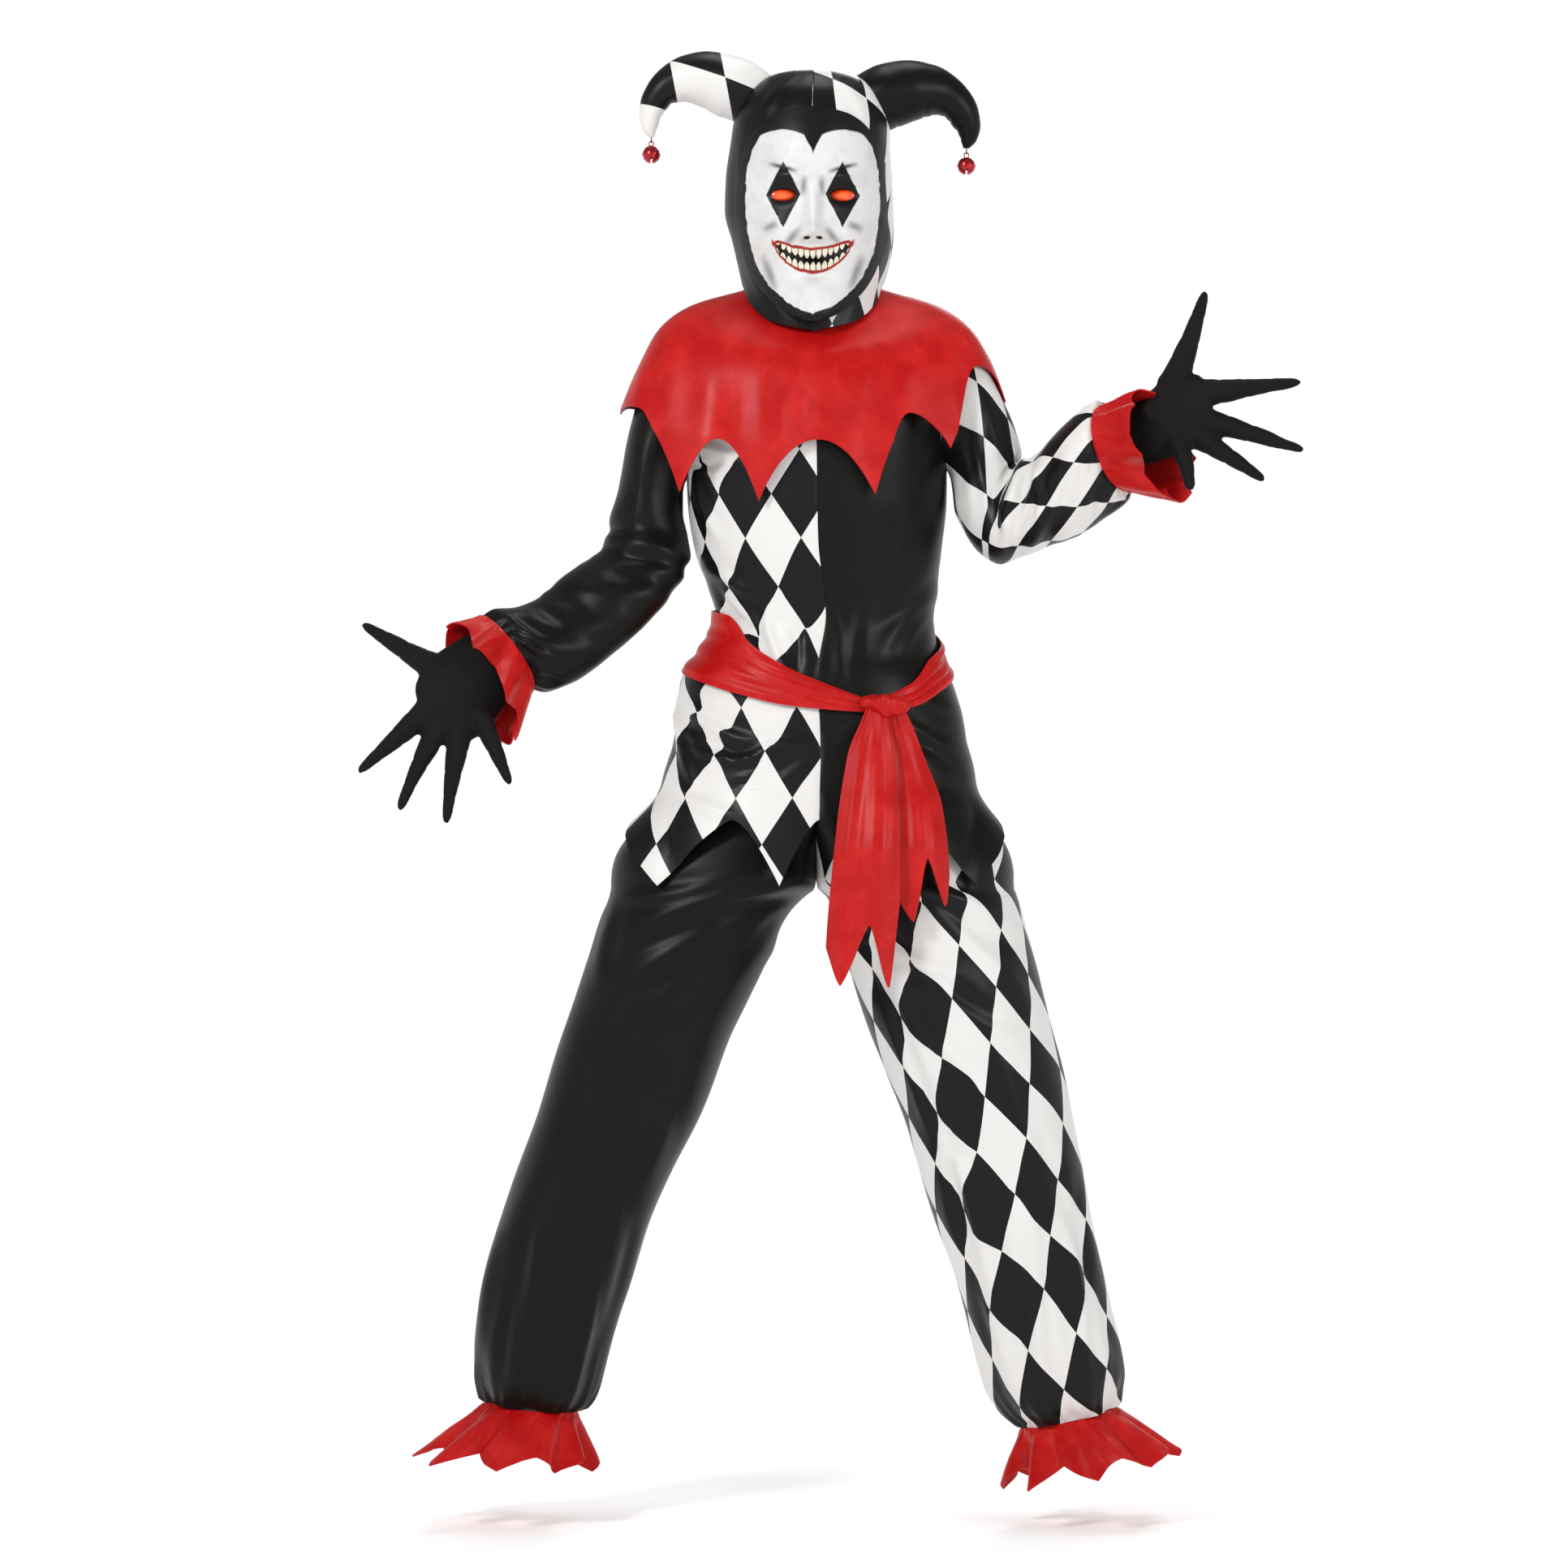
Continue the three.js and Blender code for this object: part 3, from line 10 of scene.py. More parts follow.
import bpy
import numpy as np
from bpy.types import Material, Node, Object
from bpy.types import NodeSocket as Socket
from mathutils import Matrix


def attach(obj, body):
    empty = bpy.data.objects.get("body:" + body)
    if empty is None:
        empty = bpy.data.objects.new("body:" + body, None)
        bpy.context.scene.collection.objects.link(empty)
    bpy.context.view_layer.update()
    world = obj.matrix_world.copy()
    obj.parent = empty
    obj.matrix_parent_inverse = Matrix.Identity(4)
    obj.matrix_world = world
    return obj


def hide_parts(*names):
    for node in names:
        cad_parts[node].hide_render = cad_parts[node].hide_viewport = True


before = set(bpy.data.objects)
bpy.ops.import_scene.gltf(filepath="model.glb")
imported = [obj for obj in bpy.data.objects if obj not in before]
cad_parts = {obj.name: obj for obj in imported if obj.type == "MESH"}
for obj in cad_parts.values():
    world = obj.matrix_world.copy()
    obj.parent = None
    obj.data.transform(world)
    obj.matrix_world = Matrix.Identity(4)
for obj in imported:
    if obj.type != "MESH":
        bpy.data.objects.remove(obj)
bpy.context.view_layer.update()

MM = 0.001
DEGREE = math.pi / 180
SEAM = 0.3
TUCK_FADES = 34
LOG = logging.getLogger("costume")

Array = np.ndarray
Values = np.ndarray | float
Place = tuple[float, float, float]
Finishes = dict[str, Material]


class Side(Enum):
    """The two sides of the costume as seen from the front, by the sign of X."""

    LEFT = -1
    RIGHT = 1

    @property
    def word(self) -> str:
        """The side's word in piece names."""
        return self.name.lower()


class Held(Enum):
    """How a sheet of cloth is held."""

    DRAPED = "draped"
    HUNG = "hung"
    GATHERED = "gathered"
    STRETCHED = "stretched"


class Table:
    """Rows of sizes with named columns, read smoothly between the rows."""

    def __init__(self, columns: str, rows: list[list[float]]) -> None:
        """Keeps the rows in rising order of the first column and works out their slopes.

        Args:
            columns: Names of the columns, with spaces between them.
            rows: The sizes, a row for each section.
        """
        self.names = columns.split()
        self.rows = np.array(rows, dtype=float)
        values = self.rows if self.rows[0, 0] < self.rows[-1, 0] else self.rows[::-1]
        steps = np.diff(values, axis=0) / np.diff(values[:, 0])[:, None]
        product, total = steps[:-1] * steps[1:], steps[:-1] + steps[1:]
        level = np.where(product > 0, 2 * product / np.where(product > 0, total, 1), 0)
        self.values = values
        self.slopes = np.vstack([steps[:1], level, steps[-1:]])

    def at(self, value: Values) -> SimpleNamespace:
        """Reads every column where the first one has these values.

        Args:
            value: Values of the first column.

        Returns:
            The columns by name, each as an array.
        """
        keys = self.values[:, 0]
        inside = np.clip(np.asarray(value, dtype=float), keys[0], keys[-1])
        i = np.clip(np.searchsorted(keys, inside, side="right") - 1, 0, len(keys) - 2)
        span = keys[i + 1] - keys[i]
        t = (inside - keys[i]) / span
        out = {}
        for c, name in enumerate(self.names):
            a, b = self.values[i, c], self.values[i + 1, c]
            leave, arrive = self.slopes[i, c] * span, self.slopes[i + 1, c] * span
            out[name] = (
                a * (2 * t**3 - 3 * t**2 + 1)
                + leave * (t**3 - 2 * t**2 + t)
                + b * (3 * t**2 - 2 * t**3)
                + arrive * (t**3 - t**2)
            )
        return SimpleNamespace(**out)

    def ends(self) -> tuple[float, float]:
        """The first column's value in the first and the last row."""
        return self.rows[0, 0], self.rows[-1, 0]


def power(value: Array, exponent: Values) -> Array:
    """A power that keeps the sign."""
    return np.sign(value) * np.abs(value) ** exponent


def smooth(value: Array, start: float, end: float) -> Array:
    """Rises from 0 at the start to 1 at the end."""
    t = np.clip((value - start) / (end - start), 0, 1)
    return t * t * (3 - 2 * t)


def mix(a: Array, b: Array, share: Values) -> Array:
    """Goes from a to b by a share."""
    return a + (b - a) * share


def points(x: Array, y: Array, z: Array) -> Array:
    """Places from three arrays that fit one another."""
    return np.stack(np.broadcast_arrays(x, y, z), axis=-1).astype(float)


def unit(vectors: Array) -> Array:
    """The vectors at length one."""
    return vectors / np.maximum(np.linalg.norm(vectors, axis=-1, keepdims=True), 1e-9)


def normals_of(grid: Array, closed: bool, towards: Place | None = None) -> Array:
    """Normals of a grid of places, turned away from its axis.

    Args:
        grid: Places by row and column.
        closed: Whether the last column joins the first.
        towards: Where the normals face on a piece that is nearly flat.

    Returns:
        A normal for each place.
    """
    if closed:
        across = np.roll(grid, -1, axis=1) - np.roll(grid, 1, axis=1)
    else:
        across = np.gradient(grid, axis=1)
    normals = unit(np.cross(across, np.gradient(grid, axis=0)))
    out = grid - grid.mean(axis=1, keepdims=True) if towards is None else np.array(towards)
    return normals if np.sum(normals * out) > 0 else -normals


def moved(grid: Array, height: Values, closed: bool, towards: Place | None = None) -> Array:
    """The grid moved out along its normals.

    Args:
        grid: Places by row and column.
        height: How far each place moves.
        closed: Whether the last column joins the first.
        towards: Where the normals face on a piece that is nearly flat.

    Returns:
        The new places.
    """
    far = np.broadcast_to(np.asarray(height, dtype=float), grid.shape[:2])
    return grid + normals_of(grid, closed, towards) * far[..., None]


def lattice(down: Array, across: Array) -> list[Array]:
    """Both values at each place of a grid, whose rows follow the first."""
    return np.meshgrid(down, across, indexing="ij")


def even_turns(count: int) -> Array:
    """Even turns round a ring, in radians."""
    return np.arange(count) * math.tau / count


def joined_up(grid: Array) -> Array:
    """The grid with its first column again after the last."""
    return np.concatenate([grid, grid[:, :1]], axis=1)


def run_across(grid: Array, closed: bool) -> Array:
    """Length along each row from its first place, with the joining column added where the grid is closed.

    Args:
        grid: Outer places by row and column.
        closed: Whether the last column joins the first.

    Returns:
        The lengths, by row and column.
    """
    rows = joined_up(grid) if closed else grid
    steps = np.linalg.norm(np.diff(rows, axis=1), axis=2)
    return np.concatenate([np.zeros((len(rows), 1)), np.cumsum(steps, axis=1)], axis=1)


def run_down(grid: Array) -> Array:
    """Length down each column from its first place."""
    steps = np.linalg.norm(np.diff(grid, axis=0), axis=2)
    return np.concatenate([np.zeros((1, grid.shape[1])), np.cumsum(steps, axis=0)], axis=0)


def creases(folds: Table, x: Array, z: Array) -> Array:
    """Height of soft creases, each drawn from one place to another of a view.

    Args:
        folds: Columns x0 z0 x1 z1 width height bend; a negative height is a trough.
        x: Across the view.
        z: Up the view.

    Returns:
        The height of the cloth at each place.
    """
    height = np.zeros_like(x, dtype=float)
    for x0, z0, x1, z1, width, high, bend in folds.rows:
        length = math.hypot(x1 - x0, z1 - z0)
        along_x, along_z = (x1 - x0) / length, (z1 - z0) / length
        along = ((x - x0) * along_x + (z - z0) * along_z) / length
        inside = np.clip(along, 0, 1)
        off = (x - x0) * along_z - (z - z0) * along_x - bend * 4 * inside * (1 - inside)
        ends = np.exp(-(((along - inside) * length / (width * 1.6)) ** 2))
        taper = ends * (0.35 + 0.65 * np.sin(math.pi * inside) ** 0.8)
        wide = width * (0.75 + 0.35 * inside)
        ridge = np.exp(-((off / wide) ** 2))
        sides = np.exp(-(((np.abs(off) - 1.8 * wide) / wide) ** 2))
        height += high * taper * (ridge - 0.3 * sides)
    return height


def tucks(folds: Table, x: Array, z: Array) -> Array:
    """How far the print jumps where cloth is hidden in folds.

    Args:
        folds: Columns x0 z0 x1 z1 width hidden.
        x: Across the view.
        z: Up the view.

    Returns:
        The shift of the print at each place.
    """
    shift = np.zeros_like(x, dtype=float)
    for x0, z0, x1, z1, width, hidden in folds.rows:
        length = math.hypot(x1 - x0, z1 - z0)
        along_x, along_z = (x1 - x0) / length, (z1 - z0) / length
        inside = np.clip(((x - x0) * along_x + (z - z0) * along_z) / length, 0, 1)
        off = (z - z0) * along_x - (x - x0) * along_z
        far = np.hypot(x - x0 - inside * length * along_x, z - z0 - inside * length * along_z)
        jump = hidden / 2 * np.tanh(off / width) * np.sin(math.pi * inside) ** 0.6
        shift += jump * np.exp(-((far / TUCK_FADES) ** 2))
    return shift


def swell(x: Array, y: Array, z: Array, size: float, seed: int) -> Array:
    """Slow unevenness of hung cloth, from a few crossing waves.

    Args:
        x: First place.
        y: Second place.
        z: Third place.
        size: Length of the waves.
        seed: Which set of waves.

    Returns:
        Values about 0, mostly within 1.
    """
    chance = random.Random(seed)
    out = np.zeros_like(x, dtype=float)
    for _ in range(5):
        turn, tilt = chance.uniform(0, math.tau), chance.uniform(-0.8, 0.8)
        shift = chance.uniform(0, math.tau)
        level = x * math.cos(turn) * math.cos(tilt) + y * math.sin(turn) * math.cos(tilt)
        across = level + z * math.sin(tilt)
        out += np.sin(across * math.tau / (size * chance.uniform(0.7, 1.5)) + shift)
    return out / 2.6


def gathers(turn: Array, rise: Array, count: int, reach: float, depth: float, seed: int) -> Array:
    """Small folds that run out of an elastic, uneven in length, depth and spacing.

    Args:
        turn: Place round the elastic, in turns.
        rise: Distance from the elastic.
        count: How many folds.
        reach: How far the longest one runs.
        depth: Height of the deepest one.
        seed: Which set of folds.

    Returns:
        The height of the cloth at each place.
    """
    chance = random.Random(seed)
    height = np.zeros_like(turn, dtype=float)
    for i in range(count):
        centre = (i + chance.uniform(-0.32, 0.32)) / count
        length = reach * chance.uniform(0.35, 1)
        lean = chance.uniform(-0.25, 0.25) / count
        apart = (turn - centre - lean * rise / length + 0.5) % 1 - 0.5
        wide = chance.uniform(0.24, 0.36) / count * (1 + 0.7 * np.clip(rise / length, 0, 1))
        fade = np.clip(1 - rise / length, 0, 1) ** 1.3
        height += depth * chance.uniform(0.5, 1) * fade * np.exp(-((apart / wide) ** 2))
    return height - depth * 0.4 * np.clip(1 - rise / reach, 0, 1) ** 2


def new_object(name: str, places: Array, faces: list, print_map: list | None = None) -> Object:
    """A mesh object from places in millimetres.

    Args:
        name: Name of the piece.
        places: Places, one row each.
        faces: Faces as lists of place numbers.
        print_map: Two coordinates for each corner of each face.

    Returns:
        The new object, at the origin.
    """
    mesh = bpy.data.meshes.new(name)
    mesh.from_pydata((places * MM).tolist(), [], faces)
    if print_map is not None:
        layer = mesh.uv_layers.new(name="cloth")
        layer.data.foreach_set("uv", np.asarray(print_map, dtype=np.float32).ravel())
    mesh.polygons.foreach_set("use_smooth", [True] * len(mesh.polygons))
    piece = bpy.data.objects.new(name, mesh)
    bpy.context.scene.collection.objects.link(piece)
    return piece


def shell(
    name: str,
    grid: Array,
    thickness: float,
    closed: bool,
    cloth: Array,
    towards: Place | None = None,
) -> Object:
    """A wall of cloth inside a grid of its outer places.

    Args:
        name: Name of the piece.
        grid: Outer places by row and column.
        thickness: Thickness of the cloth.
        closed: Whether the last column joins the first.
        cloth: Two cloth coordinates for each place, with the joining column added where the grid is closed.
        towards: Where the outer face looks on a piece that is nearly flat.

    Returns:
        The closed wall as an object.
    """
    rows, columns = grid.shape[:2]
    inner = grid - normals_of(grid, closed, towards) * thickness
    places = np.concatenate([grid.reshape(-1, 3), inner.reshape(-1, 3)])
    steps = columns if closed else columns - 1
    r, c = lattice(np.arange(rows - 1), np.arange(steps))
    r, c = r.ravel(), c.ravel()
    total = rows * columns

    def number(row: Array, column: Array) -> Array:
        """Number of a place of the outer grid."""
        return row * columns + column % columns

    around = [(r, c), (r + 1, c), (r + 1, c + 1), (r, c + 1)]
    outer = np.stack([number(a, b) for a, b in around], axis=1)
    corner = np.stack([cloth[a, b] for a, b in around], axis=1)
    faces = [outer, (outer + total)[:, ::-1]]
    corners = [corner, corner[:, ::-1]]

    def rim(first: list, second: list) -> None:
        """Joins both walls along an edge.

        Args:
            first: Row and column numbers where each face of the rim starts.
            second: Row and column numbers where each face of the rim ends.
        """
        a, b = number(*first), number(*second)
        faces.append(np.stack([a, b, b + total, a + total], axis=1))
        at, to = cloth[first[0], first[1]], cloth[second[0], second[1]]
        corners.append(np.stack([at, to, to, at], axis=1))

    run = np.arange(steps)
    top, bottom = np.zeros_like(run), np.full_like(run, rows - 1)
    rim([top, run], [top, run + 1])
    rim([bottom, run + 1], [bottom, run])
    if not closed:
        fall = np.arange(rows - 1)
        start, end = np.zeros_like(fall), np.full_like(fall, columns - 1)
        rim([fall + 1, start], [fall, start])
        rim([fall, end], [fall + 1, end])
    quads, maps = np.concatenate(faces), np.concatenate(corners)
    a, b, d = places[quads[:, 0]], places[quads[:, 1]], places[quads[:, 2]]
    e = places[quads[:, 3]]
    volume = np.sum(a * np.cross(b, d)) + np.sum(a * np.cross(d, e))
    if volume < 0:
        quads, maps = quads[:, ::-1], maps[:, ::-1]
    return new_object(name, places, quads.tolist(), maps)


def filled(name: str, grid: Array, cloth: Array | None = None) -> Object:
    """A solid through closed rows of places, with its two ends closed.

    Args:
        name: Name of the piece.
        grid: Places by row and column, each row a ring.
        cloth: Two cloth coordinates for each place, with the joining column added.

    Returns:
        The closed solid as an object.
    """
    rows, columns = grid.shape[:2]
    ends = np.stack([grid[0].mean(axis=0), grid[-1].mean(axis=0)])
    places = np.concatenate([grid.reshape(-1, 3), ends])
    faces, maps = [], []
    cloth = np.zeros((rows, columns + 1, 2)) if cloth is None else cloth
    for c in range(columns):
        d = (c + 1) % columns
        for r in range(rows - 1):
            faces.append([r * columns + c, (r + 1) * columns + c, (r + 1) * columns + d, r * columns + d])
            maps += [cloth[r, c], cloth[r + 1, c], cloth[r + 1, c + 1], cloth[r, c + 1]]
        faces.append([rows * columns, c, d])
        maps += [cloth[0, c], cloth[0, c], cloth[0, c + 1]]
        last = (rows - 1) * columns
        faces.append([rows * columns + 1, last + d, last + c])
        maps += [cloth[-1, c], cloth[-1, c + 1], cloth[-1, c]]
    fans = [(face[0], face[i], face[i + 1]) for face in faces for i in range(1, len(face) - 1)]
    if sum(float(np.dot(places[a], np.cross(places[b], places[c]))) for a, b, c in fans) < 0:
        turned, start = [], 0
        for face in faces:
            turned += maps[start : start + len(face)][::-1]
            start += len(face)
        faces, maps = [face[::-1] for face in faces], turned
    return new_object(name, places, faces, maps)


def alone(piece: Object) -> None:
    """Selects one object and makes it the active one.

    Args:
        piece: The object.
    """
    bpy.ops.object.select_all(action="DESELECT")
    piece.select_set(True)
    bpy.context.view_layer.objects.active = piece


def apply_modifier(piece: Object, kind: str, **settings: object) -> None:
    """Adds a modifier and applies it at once.

    Args:
        piece: The object.
        kind: Kind of modifier.
        **settings: Its settings.
    """
    alone(piece)
    modifier = piece.modifiers.new(kind.lower(), kind)
    for name, value in settings.items():
        setattr(modifier, name, value)
    bpy.ops.object.modifier_apply(modifier=modifier.name)


def cut(piece: Object, *cutters: Object, join: bool = False, keep: bool = False) -> None:
    """Cuts solids out of a piece, or joins them to it.

    Args:
        piece: The object that is cut.
        *cutters: Closed objects.
        join: Whether they are joined and not cut.
        keep: Whether the cutters are still needed.
    """
    how = "UNION" if join else "DIFFERENCE"
    for cutter in cutters:
        apply_modifier(piece, "BOOLEAN", operation=how, object=cutter, solver="EXACT")
        if not keep:
            bpy.data.objects.remove(cutter)


def soften(piece: Object, angle: float) -> None:
    """Shades a piece smoothly up to an angle between faces, in degrees."""
    alone(piece)
    bpy.ops.object.shade_smooth_by_angle(angle=angle * DEGREE)


def area_of(piece: Object) -> float:
    """Area of all faces in square metres."""
    return sum(face.area for face in piece.data.polygons)


def primitive(kind: str, name: str, **settings: object) -> Object:
    """Adds a simple solid and puts its place, turn and size into its mesh.

    Args:
        kind: Kind of solid.
        name: Name of the object.
        **settings: Its sizes and its place in metres.

    Returns:
        The object, at the origin.
    """
    bpy.ops.object.select_all(action="DESELECT")
    getattr(bpy.ops.mesh, f"primitive_{kind}_add")(**settings)
    made = bpy.context.object
    made.name = name
    bpy.ops.object.transform_apply(location=True, rotation=True, scale=True)
    return made


class Shader:
    """The node tree of one material round its main shader."""

    def __init__(self, name: str) -> None:
        """Starts a material of this name.

        Args:
            name: Name of the material.
        """
        self.material = bpy.data.materials.new(name)
        self.material.use_nodes = True
        self.tree = self.material.node_tree
        self.surface = self.tree.nodes["Principled BSDF"]

    def set(self, **values: object) -> None:
        """Sets the main shader's own sockets; an underscore in a name stands for a space."""
        for name, value in values.items():
            self.surface.inputs[name.replace("_", " ")].default_value = value

    def link(self, value: object, socket: Socket) -> None:
        """Gives a socket a number, a colour or another node's output.

        Args:
            value: A number, a colour or an output.
            socket: The input that takes it.
        """
        if isinstance(value, Socket):
            self.tree.links.new(value, socket)
        else:
            socket.default_value = value

    def node(self, kind: str, inputs: dict[str | int, object] | None = None, **settings: object) -> Node:
        """Adds a node.

        Args:
            kind: Its kind, without the first words that all kinds share.
            inputs: Values or outputs for its sockets.
            **settings: Its settings.

        Returns:
            The node.
        """
        made = self.tree.nodes.new("ShaderNode" + kind)
        for name, value in settings.items():
            setattr(made, name, value)
        for key, value in (inputs or {}).items():
            self.link(value, made.inputs[key])
        return made

    def math(self, operation: str, a: object, b: object = 0.0, c: object = 0.0) -> Socket:
        """The result of one sum.

        Args:
            operation: Name of the operation.
            a: First value.
            b: Second value.
            c: Third value.

        Returns:
            The output socket.
        """
        return self.node("Math", {0: a, 1: b, 2: c}, operation=operation).outputs[0]

    def plus(self, a: object, b: object) -> Socket:
        """Both added."""
        return self.math("ADD", a, b)

    def less(self, a: object, b: object) -> Socket:
        """The first without the second."""
        return self.math("SUBTRACT", a, b)

    def times(self, a: object, b: object) -> Socket:
        """Both multiplied."""
        return self.math("MULTIPLY", a, b)

    def scaled(self, a: object, b: object, c: object) -> Socket:
        """The first times the second, and the third added."""
        return self.math("MULTIPLY_ADD", a, b, c)

    def most(self, a: object, b: object) -> Socket:
        """The greater of both."""
        return self.math("MAXIMUM", a, b)

    def size(self, a: object) -> Socket:
        """The value without its sign."""
        return self.math("ABSOLUTE", a)

    def clamped(self, value: object) -> Socket:
        """The value kept from 0 to 1."""
        return self.node("Clamp", {"Value": value}).outputs[0]

    def colour(self, share: object, a: object, b: object) -> Socket:
        """A colour between two by a share from 0 to 1.

        Args:
            share: Share of the second colour.
            a: The first colour.
            b: The second colour.

        Returns:
            The output socket.
        """
        made = self.node("Mix", data_type="RGBA")
        for key, value in ((0, share), (6, a), (7, b)):
            self.link(value, made.inputs[key])
        return made.outputs[2]

    def places(self) -> Socket:
        """Places on the piece in metres."""
        return self.node("TexCoord").outputs["Object"]

    def cloth(self) -> Socket:
        """The piece's cloth coordinates."""
        return self.node("UVMap", uv_map="cloth").outputs["UV"]

    def noise(self, scale: float, detail: float, rough: float = 0.5) -> Socket:
        """Even noise from 0 to 1.

        Args:
            scale: Grains in a metre.
            detail: How much finer it goes.
            rough: Strength of the finer part.

        Returns:
            The output socket.
        """
        inputs = {"Vector": self.places(), "Scale": scale, "Detail": detail, "Roughness": rough}
        return self.node("TexNoise", inputs).outputs["Fac"]

    def bump(self, height: object, strength: float, distance: float, below: object = None) -> Socket:
        """Relief too fine for the mesh.

        Args:
            height: Height from 0 to 1.
            strength: How strong it is.
            distance: What height 1 is, in metres.
            below: The relief that it lies on.

        Returns:
            The normal.
        """
        inputs = {"Height": height, "Strength": strength, "Distance": distance}
        if below is not None:
            inputs["Normal"] = below
        return self.node("Bump", inputs).outputs["Normal"]

    def apart(self, vector: object) -> Node:
        """The three numbers of a place as outputs X, Y and Z."""
        return self.node("SeparateXYZ", {0: vector})

    def step(self, value: object, soft: float) -> Socket:
        """Goes from 0 to 1 where the value passes zero, over a soft width."""
        return self.clamped(self.scaled(value, 1 / soft, 0.5))

    def left_of(self, at: tuple, start: tuple, end: tuple, soft: float) -> Socket:
        """1 on the left of a line, as seen from its start towards its end.

        Args:
            at: Outputs that hold both coordinates.
            start: First place on the line.
            end: Second place on the line.
            soft: Width of the edge.

        Returns:
            The share.
        """
        length = math.hypot(end[0] - start[0], end[1] - start[1])
        across, up = -(end[1] - start[1]) / length, (end[0] - start[0]) / length
        rest = -(start[0] * across + start[1] * up)
        value = self.scaled(at[0], across, self.scaled(at[1], up, rest))
        return self.step(value, soft)

    def oval(self, at: tuple, centre: tuple, half: float, height: float, soft: float) -> Socket:
        """1 inside an oval.

        Args:
            at: Outputs that hold both coordinates.
            centre: Its centre.
            half: Its half width.
            height: Its half height.
            soft: Width of the edge, as a part of its size.

        Returns:
            The share.
        """
        across = self.scaled(at[0], 1 / half, -centre[0] / half)
        up = self.scaled(at[1], 1 / height, -centre[1] / height)
        far = self.math("SQRT", self.plus(self.times(across, across), self.times(up, up)))
        return self.step(self.less(1.0, far), soft)

    def weave(self, size: float, strength: float, below: object) -> Socket:
        """The fine diagonal lines of satin.

        Args:
            size: Lines in a metre.
            strength: How strong the relief is.
            below: The relief that it lies on.

        Returns:
            The normal.
        """
        inputs = {"Vector": self.places(), "Scale": size, "Distortion": 0.6}
        lines = self.node("TexWave", inputs, bands_direction="DIAGONAL").outputs["Fac"]
        return self.bump(lines, strength, 0.00008, below)


@dataclass(frozen=True)
class BlackSatin:
    """Plain black satin with a soft, broad sheen."""

    colour: tuple = (0.0036, 0.0034, 0.0028, 1)
    light: tuple = (0.0060, 0.0057, 0.0048, 1)

    def make(self) -> Material:
        """Builds the finish.

        Returns:
            The material.
        """
        s = Shader("black_satin")
        s.link(s.colour(s.noise(9, 2), self.colour, self.light), s.surface.inputs["Base Color"])
        s.set(Specular_IOR_Level=0.13, Sheen_Weight=0.01, Sheen_Roughness=0.35, Anisotropic=0.3)
        s.link(s.scaled(s.noise(14, 3), 0.12, 0.30), s.surface.inputs["Roughness"])
        ripple = s.bump(s.noise(26, 3, rough=0.5), 0.16, 0.0014)
        s.link(s.weave(1400, 0.06, ripple), s.surface.inputs["Normal"])
        return s.material


@dataclass(frozen=True)
class WhiteSatin:
    """The print's two colours and its sheen."""

    white: tuple = (0.70, 0.688, 0.672, 1)
    shade: tuple = (0.64, 0.628, 0.612, 1)
    black: tuple = (0.0058, 0.0058, 0.0070, 1)

    def lay(self, s: Shader, share: object) -> Material:
        """Finishes a material that is white by a share from 0 to 1 and else black.

        Args:
            s: The material.
            share: Where it is white.

        Returns:
            The finished material.
        """
        white = s.colour(s.noise(11, 3), self.white, self.shade)
        s.link(s.colour(share, self.black, white), s.surface.inputs["Base Color"])
        s.set(Specular_IOR_Level=0.16, Sheen_Weight=0.01, Sheen_Roughness=0.35, Anisotropic=0.3)
        s.link(s.scaled(s.noise(16, 3), 0.12, 0.29), s.surface.inputs["Roughness"])
        ripple = s.bump(s.noise(34, 4, rough=0.55), 0.2, 0.0014)
        s.link(s.weave(1400, 0.06, ripple), s.surface.inputs["Normal"])
        return s.material


@dataclass(frozen=True)
class HarlequinSatin:
    """White satin printed with black rhombs: one step of the cloth coordinates is one rhomb."""

    satin: WhiteSatin = WhiteSatin()

    def make(self) -> Material:
        """Builds the finish.

        Returns:
            The material.
        """
        s = Shader("harlequin_satin")
        cloth = s.cloth()
        fray = s.node("TexNoise", {"Vector": cloth, "Scale": 60, "Detail": 2})
        wander = s.node("VectorMath", {0: fray.outputs["Color"], 1: (0.5, 0.5, 0.5)}, operation="SUBTRACT")
        small = s.node("VectorMath", {0: wander.outputs[0], "Scale": 0.006}, operation="SCALE")
        flat = s.node("VectorMath", {0: small.outputs[0], 1: (1, 1, 0)}, operation="MULTIPLY")
        at = s.node("VectorMath", {0: cloth, 1: flat.outputs[0]}, operation="ADD")
        rhomb = s.node("TexChecker", {"Vector": at.outputs[0], "Scale": 1.0})
        return self.satin.lay(s, rhomb.outputs["Fac"])


@dataclass(frozen=True)
class HornPrint:
    """The printed horn: each line is drawn where it lies in the front view, in metres."""

    satin: WhiteSatin = WhiteSatin()
    soft: float = 0.0005

    def make(self) -> Material:
        """Builds the finish.

        Returns:
            The material.
        """
        s = Shader("horn_print")
        place = s.apart(s.places()).outputs
        at = (place["X"], place["Z"])
        above_tip = s.left_of(at, (-0.217, 0.277), (-0.185, 0.269), self.soft)
        outer = s.left_of(at, (-0.170, 0.278), (-0.180, 0.330), self.soft)
        middle = s.left_of(at, (-0.102, 0.257), (-0.118, 0.342), self.soft)
        upper = s.left_of(at, (-0.180, 0.330), (-0.112, 0.306), self.soft)
        root = s.left_of(at, (-0.112, 0.306), (-0.067, 0.288), self.soft)
        tip = s.less(1.0, above_tip)
        inner = s.plus(s.times(middle, s.less(1.0, upper)), s.times(s.less(1.0, middle), root))
        share = s.plus(s.times(outer, tip), s.times(s.less(1.0, outer), inner))
        return self.satin.lay(s, share)


